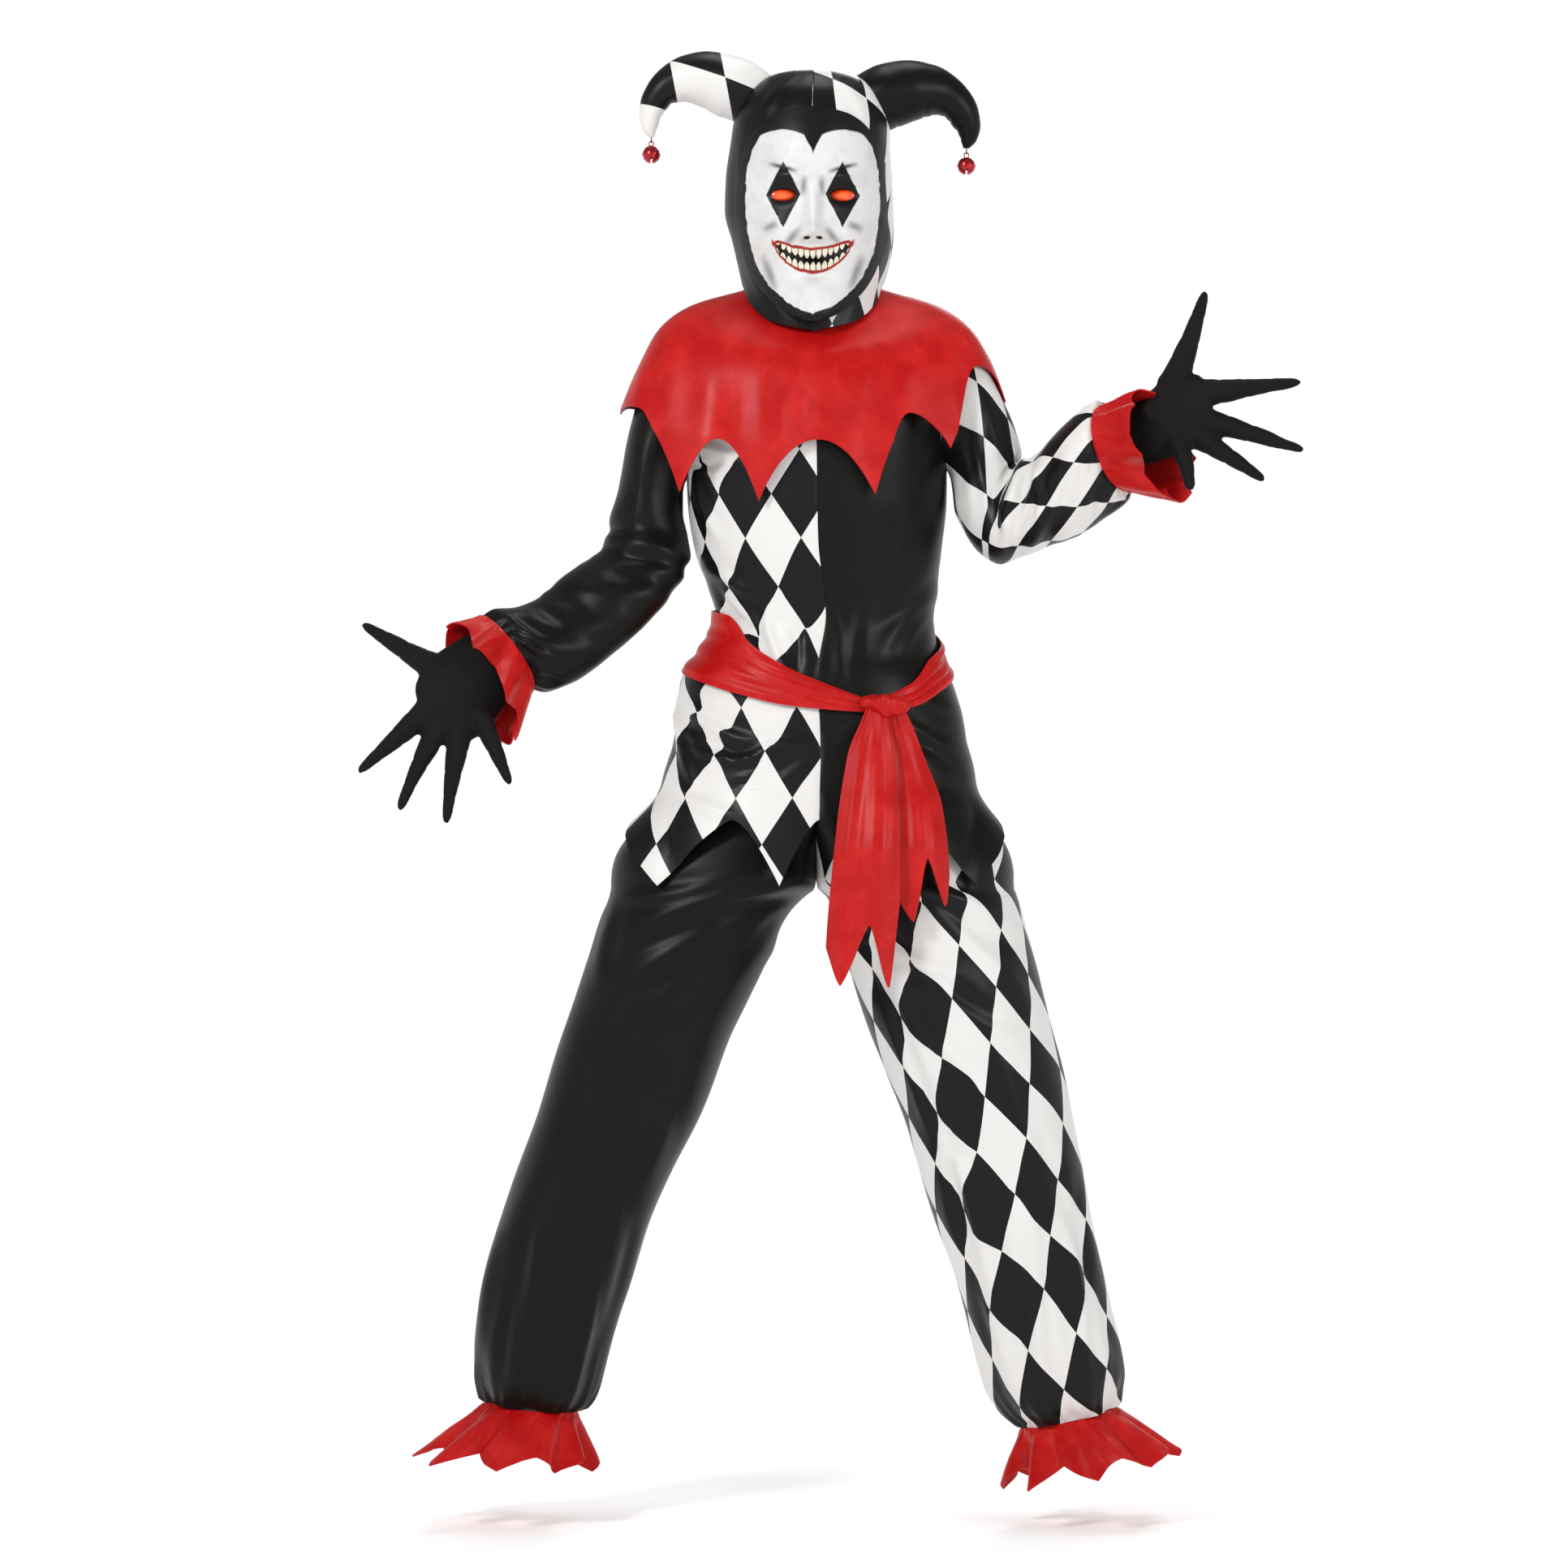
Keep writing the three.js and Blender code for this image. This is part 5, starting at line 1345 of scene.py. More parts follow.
@dataclass
class Sleeves:
    """Both sleeves from inside the shoulder to an elastic hem at the wrist."""

    satin: float = 1.2
    rows: int = 180
    columns: int = 100
    ribs: int = 4
    rib_depth: float = 4
    ribs_from: float = 11.2

    def __post_init__(self) -> None:
        """Fills in the sections and the folds."""
        columns = "place outerX outerZ innerX innerZ y depth turn"
        left = Table(columns, [
            [0, -146, 2, -138, -160, 0, 60, 0], [1, -184, -16, -150, -176, 0, 62, 0],
            [2, -209, -46, -157, -184, -2, 60, 0], [3, -220, -88, -161, -192, -4, 57, 0],
            [4, -233, -140, -162, -205, -7, 54, 0], [5, -243, -200, -162, -228, -10, 52, 0],
            [6, -254, -236, -157, -256, -14, 52, 4], [7, -258, -255, -154, -284, -20, 53, 8],
            [8, -262, -272, -160, -306, -28, 54, 12], [9, -284, -289, -180, -332, -38, 54, 18],
            [10, -312, -313, -210, -366, -52, 54, 22], [11, -339, -335, -250, -404, -66, 54, 24],
            [12, -368, -347, -298, -436, -80, 55, 24], [13, -390, -350, -330, -446, -92, 50, 24],
            [14, -403, -359, -347, -441, -100, 38, 24],
        ])
        right = Table(columns, [
            [0, 146, 4, 138, -158, 0, 60, 0], [1, 184, -13, 152, -168, 0, 62, 0],
            [2, 207, -40, 162, -176, -2, 60, 0], [3, 224, -76, 166, -186, -5, 57, 0],
            [4, 242, -114, 168, -200, -9, 55, 0], [5, 250, -138, 170, -224, -14, 55, -4],
            [6, 254, -152, 181, -250, -21, 57, -8], [7, 256, -160, 201, -278, -30, 59, -14],
            [8, 260, -162, 226, -292, -43, 60, -20], [9, 270, -157, 252, -284, -62, 60, -26],
            [10, 289, -146, 286, -268, -86, 59, -30], [11, 311, -124, 324, -252, -113, 57, -34],
            [12, 330, -107, 354, -234, -136, 53, -36], [13, 341, -102, 371, -216, -147, 48, -36],
            [14, 345, -110, 370, -205, -152, 40, -36],
        ])
        self.sections = {Side.LEFT: left, Side.RIGHT: right}
        self.deep = {
            Side.LEFT: [
                [6.6, 0, 0.42, 70, 5], [7.6, 180, 0.45, 60, 5], [8.7, 150, 0.4, 60, 4],
                [9.8, 40, 0.5, 60, -4],
            ],
            Side.RIGHT: [
                [6.6, 0, 0.42, 60, 7], [8.2, 20, 0.4, 60, 6], [9.6, 60, 0.5, 50, 5],
                [10.6, 200, 0.5, 60, -4],
            ],
        }
        columns = "x0 z0 x1 z1 width height bend"
        self.front = {
            Side.LEFT: Table(columns, [
                [-206, -100, -216, -222, 19, 2.4, 5], [-180, -130, -188, -235, 13, -1.6, 4],
                [-256, -262, -168, -284, 12, 4.2, -8], [-240, -286, -164, -300, 9, -3.4, -6],
                [-268, -304, -196, -332, 13, 2.8, 6], [-300, -322, -228, -360, 14, 2.8, -8],
                [-336, -346, -250, -392, 12, -2.6, 8], [-352, -352, -290, -376, 9, 2.4, 5],
                [-368, -362, -322, -392, 5, 3, 3], [-366, -384, -318, -414, 5, 3, -3],
                [-358, -404, -306, -430, 5, 2.6, 3],
            ]),
            Side.RIGHT: Table(columns, [
                [196, -90, 206, -215, 8, 3, 5], [222, -100, 234, -205, 8, -2.2, -4],
                [178, -150, 190, -250, 7, 2.6, -4], [214, -205, 226, -262, 7, -3.6, 4],
                [252, -168, 228, -262, 7, 5, 6], [262, -175, 236, -278, 6, -4.6, 4],
                [262, -182, 262, -268, 6, 3.8, -6], [290, -160, 246, -286, 7, -3.6, 6],
                [300, -172, 262, -268, 7, 3.6, -6], [330, -150, 280, -262, 8, -2.8, 6],
                [322, -178, 300, -262, 7, 3, -5], [344, -160, 322, -250, 6, 2.8, 4],
                [350, -190, 332, -240, 5, -2.4, 3],
            ]),
        }
        self.back = {
            Side.LEFT: Table(columns, [
                [-200, -100, -214, -220, 10, 2.6, 5], [-228, -180, -190, -290, 9, -3, -6],
                [-180, -180, -172, -290, 8, 2.6, 4], [-250, -250, -180, -320, 8, 3.2, 6],
                [-276, -290, -200, -350, 8, -2.8, -6], [-330, -330, -240, -390, 8, 2.8, 6],
                [-362, -360, -300, -420, 6, 3, -4],
            ]),
            Side.RIGHT: Table(columns, [
                [200, -90, 206, -210, 9, 2.6, -5], [228, -130, 214, -250, 8, -2.8, 5],
                [180, -170, 206, -270, 8, 2.8, 5], [250, -200, 226, -285, 7, 3.2, 5],
                [286, -180, 250, -280, 8, -2.8, -5], [320, -150, 296, -262, 8, 2.8, 5],
                [350, -140, 336, -240, 6, 2.6, -4],
            ]),
        }
        self.upper_print = [(194, -70), (6, -70), (49, -34)]
        self.lower_print = [(282, -168), (38, 53), (29, -6)]
        self.print_turns = (6.6, 8.6)

    def grid(self, side: Side, folded: bool = True) -> tuple[Array, Array]:
        """Outer places of a sleeve and its cloth coordinates.

        Args:
            side: Which sleeve.
            folded: Whether the fine folds are in it.

        Returns:
            Both grids.
        """
        table = self.sections[side]
        last = table.ends()[1]
        degrees = np.arange(self.columns) * 360 / self.columns
        place, round_ = lattice(np.linspace(0, last, self.rows), degrees)
        row, turn = table.at(place), round_ * DEGREE
        across = points((row.outerX - row.innerX) / 2, 0, (row.outerZ - row.innerZ) / 2)
        deep = points(np.sin(row.turn * DEGREE), -np.cos(row.turn * DEGREE), 0) * row.depth[..., None]
        out = across * np.cos(turn)[..., None] + deep * np.sin(turn)[..., None]
        gathered = np.maximum(0, (place - self.ribs_from) / (last - self.ribs_from))
        high = self.rib_depth * gathered * np.cos(self.ribs * turn)
        for fold_place, fold_round, width, spread, depth in self.deep[side]:
            apart = (round_ - fold_round + 540) % 360 - 180
            high -= depth * np.exp(-(((place - fold_place) / width) ** 2) - (apart / spread) ** 2)
        centre = points((row.outerX + row.innerX) / 2, row.y, (row.outerZ + row.innerZ) / 2)
        plain = centre + out + unit(out) * high[..., None]
        arc = run_across(plain, True)
        down = joined_up(run_down(centre))
        front = arc[:, [self.columns // 4]] - arc
        whole = arc[:, [-1]]
        front = (front + whole / 2) % whole - whole / 2
        if side is Side.RIGHT:
            pull = joined_up(3 * swell(plain[..., 0], plain[..., 1], plain[..., 2], 90, 9))
            lean = unit(across[:, :1])
            middle = plain[:, [self.columns // 4]]
            x = middle[..., 0] + lean[..., 0] * front + pull
            z = middle[..., 2] + lean[..., 2] * front + 0.6 * pull
            hidden = smooth(np.abs(front), 60, 130)
            start, end = self.print_turns
            along = (joined_up(place) - start + 3 * hidden) / (end - start + 5.5 * hidden)
            turned = smooth(along, 0, 1)
            upper, lower = self.laid(self.upper_print, x, z), self.laid(self.lower_print, x, z)
            lower = np.stack([lower[..., 0] + 5, 1 - lower[..., 1]], axis=-1)
            cloth = mix(upper, lower, turned[..., None])
        else:
            cloth = plain_map(arc, down)
        if not folded:
            return plain, cloth
        x, y, z = plain[..., 0], plain[..., 1] - row.y, plain[..., 2]
        facing = smooth(-y, -12, 24)
        height = creases(self.front[side], x, z) * facing + creases(self.back[side], x, z) * (1 - facing)
        rise = run_down(centre)[-1] - run_down(centre)
        height += gathers(round_ / 360, rise, 22, 60, 3.4, 21 + side.value) * smooth(rise, 0, 4)
        height += 1.2 * swell(x, y, z, 110, 31 + side.value) * smooth(place, 2, 4)
        height = np.clip(height, -5, 4.5) * smooth(place, 1.5, 4)
        return moved(plain, height, True), cloth

    def laid(self, pattern: list[tuple[float, float]], x: Array, z: Array) -> Array:
        """Cloth coordinates where the print lies straight in the front view.

        Args:
            pattern: A corner of a rhomb and the runs of its two sides.
            x: Across the view.
            z: Up the view.

        Returns:
            Two coordinates for each place.
        """
        (from_x, from_z), (ax, az), (bx, bz) = pattern
        whole = ax * bz - az * bx
        x, z = x - from_x, z - from_z
        return np.stack([(x * bz - z * bx) / whole, (ax * z - az * x) / whole], axis=-1)

    def core(self, side: Side, distance: float) -> Object:
        """The upper sleeve filled, moved out by a distance, for opening the armhole."""
        grid = self.grid(side, False)[0][: int(self.rows * 0.5) : 4, ::2]
        return filled(f"sleeve_core_{side.word}", moved(grid, distance, True))

    def build(self, finishes: Finishes, tunic: Object) -> None:
        """Makes both sleeves.

        Args:
            finishes: Materials by slot.
            tunic: The tunic filled, which each sleeve is cut back to.
        """
        for side, slot in ((Side.LEFT, "black_satin"), (Side.RIGHT, "harlequin_satin")):
            grid, cloth = self.grid(side)
            sleeve = Piece.sewn(f"sleeve_{side.word}", slot, grid, self.satin, True, cloth)
            cut(sleeve.cloth, tunic, keep=True)
            sleeve.finish(finishes)
            sleeve.sheet(grid, True, Held.HUNG, [f"wrist_ruffle_{side.word}"])


@dataclass
class Tunic:
    """The tunic's four quarters, from the neck to a hem of rounded arches and points."""

    trousers: Trousers
    satin: float = 1.2
    top: float = 44
    clear: float = 14
    over_legs: float = -500
    last_level: float = -560
    neck_front: float = 66
    neck_back: float = 8
    neck_fades: float = 100
    neck_sweep: float = 1.3
    arch: float = -604
    tip: float = -684
    bow: float = 1.5

    def __post_init__(self) -> None:
        """Fills in the sections and the creases."""
        self.sections = Table("z left right front back square", [
            [44, -79, 74, 66, 72, 2], [28, -122, 119, 76, 84, 2.1], [12, -153, 150, 87, 94, 2.2],
            [-5, -168, 167, 98, 102, 2.3], [-30, -173, 172, 105, 108, 2.4],
            [-60, -171, 171, 110, 112, 2.4], [-100, -166, 166, 113, 115, 2.4],
            [-140, -160, 161, 115, 115, 2.4], [-215, -157, 160, 115, 110, 2.3],
            [-271, -149, 155, 110, 103, 2.2], [-320, -132, 150, 104, 96, 2.2],
            [-356, -121, 145, 100, 92, 2.2], [-400, -141, 151, 105, 101, 2.2],
            [-430, -164, 165, 112, 112, 2.3], [-485, -173, 182, 118, 126, 2.4],
            [-525, -177, 188, 122, 130, 2.4], [-560, -184, 193, 127, 133, 2.5],
            [-595, -196, 204, 135, 140, 2.7], [-650, -206, 212, 144, 148, 3],
            [-720, -210, 216, 150, 152, 3],
        ])
        self.tips = [18, 61, 119, 162, 198, 241, 299, 342]
        self.front = Table("x0 z0 x1 z1 width height bend", [
            [-148, -150, -96, -172, 6, 3, -5], [-150, -172, -112, -168, 5, -3, 4],
            [-148, -190, -118, -262, 6, 2.8, 5], [-130, -300, -40, -372, 7, 3.4, -8],
            [-122, -322, -58, -392, 6, -3.2, 6], [-118, -346, -72, -404, 5, 3.4, -5],
            [-90, -318, -12, -384, 7, -2.4, 6], [-62, -346, -38, -420, 6, 3, 5],
            [-30, -352, -24, -428, 6, -2.2, -4], [-150, -470, -70, -512, 7, 3.4, 8],
            [-158, -492, -92, -536, 6, -3.4, -7], [-152, -516, -66, -530, 6, 3.6, 7],
            [-172, -450, -150, -560, 5, 3.2, 6], [-166, -470, -140, -500, 5, -3, 4],
            [-98, -540, -14, -512, 7, 3, -7], [-88, -560, -24, -530, 6, -2.6, 5],
            [-168, -560, -104, -600, 7, 2.6, 6], [-60, -490, -6, -470, 6, 2.2, -4],
            [24, -505, 120, -470, 8, 2.8, -7], [60, -540, 150, -500, 8, -2.8, 7],
            [95, -470, 172, -520, 7, 3.2, 7], [110, -500, 180, -560, 7, -3, -6],
            [120, -450, 168, -470, 6, 2.6, 4], [146, -330, 84, -400, 9, 2.6, 7],
            [150, -300, 70, -372, 10, -2, -7], [140, -352, 100, -412, 6, 2.6, 4],
            [58, -340, 46, -430, 8, -2, 4], [20, -350, 28, -436, 8, 2, -4],
            [112, -240, 100, -340, 12, 1.6, 5], [160, -120, 128, -190, 8, 2, -5],
        ])
        self.back = Table("x0 z0 x1 z1 width height bend", [
            [-140, -110, -60, -160, 9, 2.4, -6], [140, -110, 66, -170, 9, 2.4, 6],
            [-120, -300, -40, -380, 8, 3, 7], [-100, -330, -20, -400, 7, -2.8, -6],
            [120, -290, 46, -376, 8, 3, -7], [104, -326, 24, -396, 7, -2.6, 6],
            [-40, -340, -30, -430, 7, 2.6, 4], [36, -352, 40, -440, 7, -2.4, -4],
            [-160, -440, -60, -480, 8, 3.2, 8], [-150, -470, -40, -500, 7, -3, -7],
            [150, -450, 56, -500, 8, 3.2, -8], [160, -490, 60, -520, 7, -3, 7],
            [-120, -540, 10, -560, 8, 2.6, 7], [20, -590, 140, -560, 8, 2.6, -7],
            [-80, -180, -70, -280, 12, 1.8, 5], [76, -190, 70, -290, 12, -1.8, -5],
        ])
        self.rhombs = Rhombs(wide=70, high=109.2, across=61, up=0)
        self.printed = Table("z row across", [
            [44, -4.64, 5], [-209.5, 0, 5], [-262.4, 1, 5], [-321, 2, 5], [-373.6, 3, 4], [-423, 4, 1],
            [-467.4, 5, -1], [-523.3, 6, -5], [-578, 7, -7], [-634, 8, -8], [-720, 9.6, -8],
        ])
        self.tucks = Table("x0 z0 x1 z1 width hidden", [
            [-110, -322, -64, -400, 3, 13], [-84, -338, -58, -404, 3, -11], [-38, -326, -8, -376, 3, 9],
            [-150, -440, -120, -500, 3, -12], [-160, -470, -96, -500, 3, 11],
            [-130, -505, -78, -520, 3, -9], [-60, -520, -20, -512, 3, 8],
            [-148, -150, -120, -212, 3, -12], [-158, -160, -132, -196, 3, 10],
            [-150, -250, -128, -320, 3, 9],
        ])
        self.rhombs_back = Rhombs(wide=70, high=116, across=20, up=-180)

    def point(self, angle: Array, z: Array) -> Array:
        """Places of the tunic: angle 0 is the centre front and 90 degrees the left side seam.

        Args:
            angle: Angle round the body in degrees.
            z: Height.

        Returns:
            The places.
        """
        row = self.sections.at(z)
        sine, cosine = np.sin(angle * DEGREE), np.cos(angle * DEGREE)
        half, depth = (row.right - row.left) / 2, np.where(cosine > 0, row.front, row.back)
        whole = np.abs(sine / half) ** row.square + np.abs(cosine / depth) ** row.square
        reach = whole ** (-1 / row.square)
        forward = power(reach * cosine / depth, row.square / 2)
        place = points((row.left + row.right) / 2 - reach * sine, -reach * cosine, z)
        low = place[..., 2] < self.over_legs
        if low.any():
            x, y = place[..., 0][low], place[..., 1][low]
            radius = np.hypot(x, y)
            level = place[..., 2][low]
            far = self.trousers.reach(x / radius, y / radius, level) + self.clear
            opened = smooth(-level, -self.over_legs, -self.over_legs + 50)
            scale = mix(1, np.maximum(1, far / radius), opened)
            place[..., 0][low], place[..., 1][low] = x * scale, y * scale
        fade = smooth(place[..., 2], self.top - self.neck_fades, self.top)
        drop = np.where(forward > 0, self.neck_front, self.neck_back)
        place[..., 2] -= drop * np.abs(forward) ** self.neck_sweep * fade
        return place

    def hem(self, angle: Array) -> Array:
        """Height of the hem at these angles.

        Args:
            angle: Angles round the body in degrees.

        Returns:
            The heights in millimetres.
        """
        tips = np.array([tip + turn for turn in (-360, 0, 360) for tip in self.tips])
        i = np.searchsorted(tips, angle + 1e-9)
        between = (angle - tips[i - 1]) / (tips[i] - tips[i - 1])
        return mix(self.arch, self.tip, np.abs(2 * between - 1) ** self.bow)

    def grid(self, angles: Array, rows: int = 118, skirt: int = 30) -> Array:
        """Outer places over a run of angles, down to the hem.

        Args:
            angles: Angles of the columns.
            rows: Rows above the skirt.
            skirt: Rows of the skirt.

        Returns:
            The places.
        """
        z, angle = lattice(np.linspace(self.top, self.last_level, rows), angles)
        share, lower = lattice(np.linspace(0, 1, skirt + 1)[1:], angles)
        skirt_z = mix(self.last_level, self.hem(lower), share)
        return np.concatenate([self.point(angle, z), self.point(lower, skirt_z)])

    def arcs(self, plain: Array, angles: Array) -> Array:
        """Length round the body from the first seam, measured level also where the rows follow the hem.

        Args:
            plain: Places of the smooth tunic.
            angles: Angle of each column in degrees.

        Returns:
            The lengths in millimetres.
        """
        arc = run_across(plain, False)
        levels = np.linspace(self.last_level, -720, 24)
        z, angle = lattice(levels, angles)
        level_arc = run_across(self.point(angle, z), False)
        low = plain[:, 0, 2] < self.last_level - 0.5
        for column in range(len(angles)):
            arc[low, column] = np.interp(-plain[low, column, 2], -levels, level_arc[:, column])
        return arc

    def core(self, distance: float) -> Object:
        """The tunic above its skirt, filled and moved out by a distance.

        Args:
            distance: How far it is moved out, in millimetres.

        Returns:
            The filled form.
        """
        z, angle = lattice(np.linspace(self.top, self.last_level, 60), np.arange(0, 360, 4.0))
        plain = self.point(angle, z)
        return filled("tunic_core", moved(plain, distance, True))

    def quarter_angles(self, start: int) -> Array:
        """Angles of a quarter's columns, with a column on each point of the hem."""
        tips = [tip for tip in self.tips if start < tip < start + 90]
        return np.unique(np.concatenate([np.linspace(start, start + 90, 46), tips]))

    def build(self, finishes: Finishes, sleeves: Sleeves) -> None:
        """Makes the four quarters with open armholes.

        Args:
            finishes: Materials by slot.
            sleeves: The sleeves that are set into the armholes.
        """
        quarters = [
            ("front_left", 0, "harlequin_satin"),
            ("back_left", 90, "harlequin_satin"),
            ("back_right", 180, "black_satin"),
            ("front_right", 270, "black_satin"),
        ]
        cores = [sleeves.core(side, 0.5) for side in Side]
        for place, start, slot in quarters:
            angles = self.quarter_angles(start)
            plain = self.grid(angles)
            arc = self.arcs(plain, angles)
            x, y, z = plain[..., 0], plain[..., 1], plain[..., 2]
            waist, hips = np.exp(-(((z + 385) / 60) ** 2)), np.exp(-(((z + 500) / 55) ** 2))
            worn = swell(x, y, z, 75, 41) * (waist + 1.1 * hips)
            pull = 4 * worn * smooth(-x, 20, 100) + tucks(self.tucks, x, z)
            row = self.printed.at(z + 0.8 * pull)
            if place == "front_left":
                cloth = self.rhombs.map(arc + pull + row.across, -self.rhombs.high / 2 * row.row)
            elif place == "back_left":
                cloth = self.rhombs_back.map(arc[:, [-1]] - arc + pull, z + 0.8 * pull)
            else:
                cloth = plain_map(arc, z)
            deep = 1.35 if slot == "harlequin_satin" else 0.85
            height = deep * creases(self.front if "front" in place else self.back, x, z)
            height += 0.9 * swell(x, y, z, 120, 43)
            seams = np.minimum(arc, arc[:, [-1]] - arc)
            height -= 0.8 * np.exp(-((seams / 1.8) ** 2)) - 0.5 * np.exp(-(((seams - 5) / 2.5) ** 2))
            flare = smooth(-z, 560, 680) * 3 * np.sin(angles * 5 * DEGREE + 1)
            height = np.clip(height, -4, 6) * smooth(-z, 20, 120) + flare
            quarter = moved(plain, height, False)
            for column, other in ((0, 1), (-1, -2)):
                quarter[:, column] += unit(quarter[:, other] - quarter[:, column]) * 0.25
            made = Piece.sewn(f"tunic_{place}", slot, quarter, self.satin, False, cloth)
            cut(made.cloth, *cores, keep=True)
            made.finish(finishes)
            made.sheet(quarter, False, Held.DRAPED, ["leg_left", "leg_right"])
        for core in cores:
            bpy.data.objects.remove(core)

    def holds(self, places: Array) -> Array:
        """Whether the tunic's outline holds each of these places.

        Args:
            places: Places in millimetres.

        Returns:
            True or false for each place.
        """
        x, y, z = places[..., 0], places[..., 1], places[..., 2]
        row = self.sections.at(z)
        level = np.clip(z, -720, self.top)
        drop = np.where(y < 0, self.neck_front, self.neck_back)
        for _ in range(5):
            depth = np.where(y < 0, row.front, row.back)
            forward = np.minimum(1, (np.abs(y) / depth) ** (row.square / 2))
            fade = smooth(level, self.top - self.neck_fades, self.top)
            level = np.minimum(self.top, z + drop * forward**self.neck_sweep * fade)
            row = self.sections.at(level)
        depth = np.where(y < 0, row.front, row.back)
        across = np.abs(x - (row.left + row.right) / 2) / ((row.right - row.left) / 2)
        return across**row.square + (np.abs(y) / depth) ** row.square < 1

    def front_at(self, x: Array, z: Array) -> Array:
        """Where the front of the tunic lies behind a place of the front view.

        Args:
            x: Places across.
            z: Heights.

        Returns:
            The depth of each place.
        """
        row = self.sections.at(z)
        apart = np.minimum(0.98, np.abs(x - (row.left + row.right) / 2) / ((row.right - row.left) / 2))
        return -row.front * (1 - apart**row.square) ** (1 / row.square)


@dataclass
class Collar:
    """The wide red collar: a ring laid over the shoulders, its edge cut into arches and points."""

    tunic: Tunic
    leatherette: float = 1.8
    square: float = 2.3
    rows: int = 52
    columns: int = 340
    bow: float = 1.9
    fall: float = 150
    side: float = 20
    front: float = 4
    fold: float = 3.5
    fold_count: int = 10
    fold_from: float = 0.35

    def __post_init__(self) -> None:
        """Fills in the rings and the edge."""
        self.rings = Table("place side sideZ front frontZ back backZ", [
            [0, 80, 50, 73, -3, 75, 46], [0.12, 98, 45, 86, -15, 90, 36],
            [0.34, 152, 29, 108, -39, 110, 14], [0.55, 194, -1, 121, -73, 123, -26],
            [0.75, 219, -46, 126, -108, 130, -76], [1, 241, -98, 131, -150, 134, -128],
        ])
        self.edge = Table("angle tip arch", [
            [13.6, 1.47, 1], [38, 1.47, 0.93], [90, 1.05, 0.95], [135, 1.3, 0.98], [163, 1.35, 0.98],
            [197, 1.35, 0.98], [225, 1.3, 0.95], [270, 0.96, 0.68], [321, 1.12, 0.82], [346, 1.42, 0.97],
        ])
        self.drapes = Table("x0 z0 x1 z1 width height bend", [
            [-176, -10, -186, -150, 20, 3, 4], [-132, -50, -136, -190, 18, 2.8, -5],
            [-66, -60, -60, -200, 17, 3, 5], [-22, -60, -34, -150, 16, -2, 4],
            [14, -60, 18, -150, 18, 2.8, 4], [80, -50, 72, -200, 18, -2, 5],
            [104, -58, 116, -140, 18, 2.6, 5], [164, -30, 176, -120, 13, 2.8, 4],
            [-208, -40, -218, -110, 11, 2.8, 3], [-20, -22, -60, -64, 7, 1.6, 4],
            [40, -22, 80, -60, 7, 1.6, -4],
        ])

    def reach(self, angle: Array) -> Array:
        """How far the edge reaches at these angles, with round arches between points.

        Args:
            angle: Angles round the neck in degrees.

        Returns:
            The reach in millimetres.
        """
        angles, tips, arches = self.edge.rows.T
        turn = (angle - angles[0]) % 360 + angles[0]
        i = np.searchsorted(angles, turn + 1e-9) - 1
        after = (i + 1) % len(angles)
        span = (angles[after] - angles[i]) % 360
        between = (turn - angles[i]) / span
        tip = np.where(between < 0.5, tips[i], tips[after])
        return mix(arches[i], tip, np.abs(2 * between - 1) ** self.bow)

    def grid(self) -> tuple[Array, Array]:
        """Outer places of the collar and its cloth coordinates.

        Returns:
            The places by row and column, and two cloth coordinates for each.
        """
        steps = np.concatenate([
            np.linspace(start, end, self.columns // len(self.edge.rows), endpoint=False)
            for start, end in zip(self.edge.rows[:, 0], [*self.edge.rows[1:, 0], self.edge.rows[0, 0] + 360])
        ])
        share, angle = lattice(np.linspace(0, 1, self.rows), steps)
        place = share * self.reach(angle)
        row = self.rings.at(np.minimum(place, 1))
        sine, cosine = np.sin(angle * DEGREE), np.cos(angle * DEGREE)
        beyond = np.maximum(0, place - 1)
        uneven = 1 + 0.35 * np.sin(3 * angle * DEGREE + 1) + 0.2 * np.sin(7 * angle * DEGREE)
        wave = np.cos(self.fold_count * angle * DEGREE + 0.5 * np.sin(2 * angle * DEGREE))
        fold = self.fold * np.maximum(0, place - self.fold_from) * wave * uneven
        forward = np.abs(cosine) ** self.tunic.neck_sweep
        side = row.side + fold + self.side * beyond
        depth = np.where(cosine > 0, row.front, row.back) + fold + self.front * beyond
        level = mix(row.sideZ, np.where(cosine > 0, row.frontZ, row.backZ), forward) - self.fall * beyond
        grid = points(-side * power(sine, 2 / self.square), -depth * power(cosine, 2 / self.square), level)
        normals = normals_of(grid, True, (0, 0, 1))
        for _ in range(44):
            inside = self.tunic.holds(grid - normals * (self.leatherette + 1.6))
            if not inside.any():
                break
            grid = grid + normals * (0.5 * inside)[..., None]
        x, y, z = grid[..., 0], grid[..., 1], grid[..., 2]
        facing = smooth(-y, -10, 40)
        height = creases(self.drapes, x, z) * facing + creases(self.drapes, -x, z - 16) * (1 - facing)
        height += 0.8 * swell(x, y, z, 90, 61)
        height = np.clip(0.7 * height, -1, 4) * smooth(share, 0.16, 0.6)
        grid = grid + normals * height[..., None]
        return grid, length_map(grid, True)

    def build(self, finishes: Finishes) -> None:
        """Makes the collar.

        Args:
            finishes: Materials by slot.
        """
        grid, cloth = self.grid()
        collar = Piece.sewn("collar", "red_leatherette", grid, self.leatherette, True, cloth, (0, 0, 1))
        collar.finish(finishes)
        collar.sheet(grid, True, Held.DRAPED, ["tunic_front_left", "tunic_front_right"])


@dataclass(frozen=True)
class Ring:
    """A ring in space: its centre and two half axes."""

    centre: Array
    across: Array
    deep: Array

    def on(self, turn: Array) -> Array:
        """Places on the ring at these turns."""
        return self.centre + self.across * np.cos(turn)[..., None] + self.deep * np.sin(turn)[..., None]


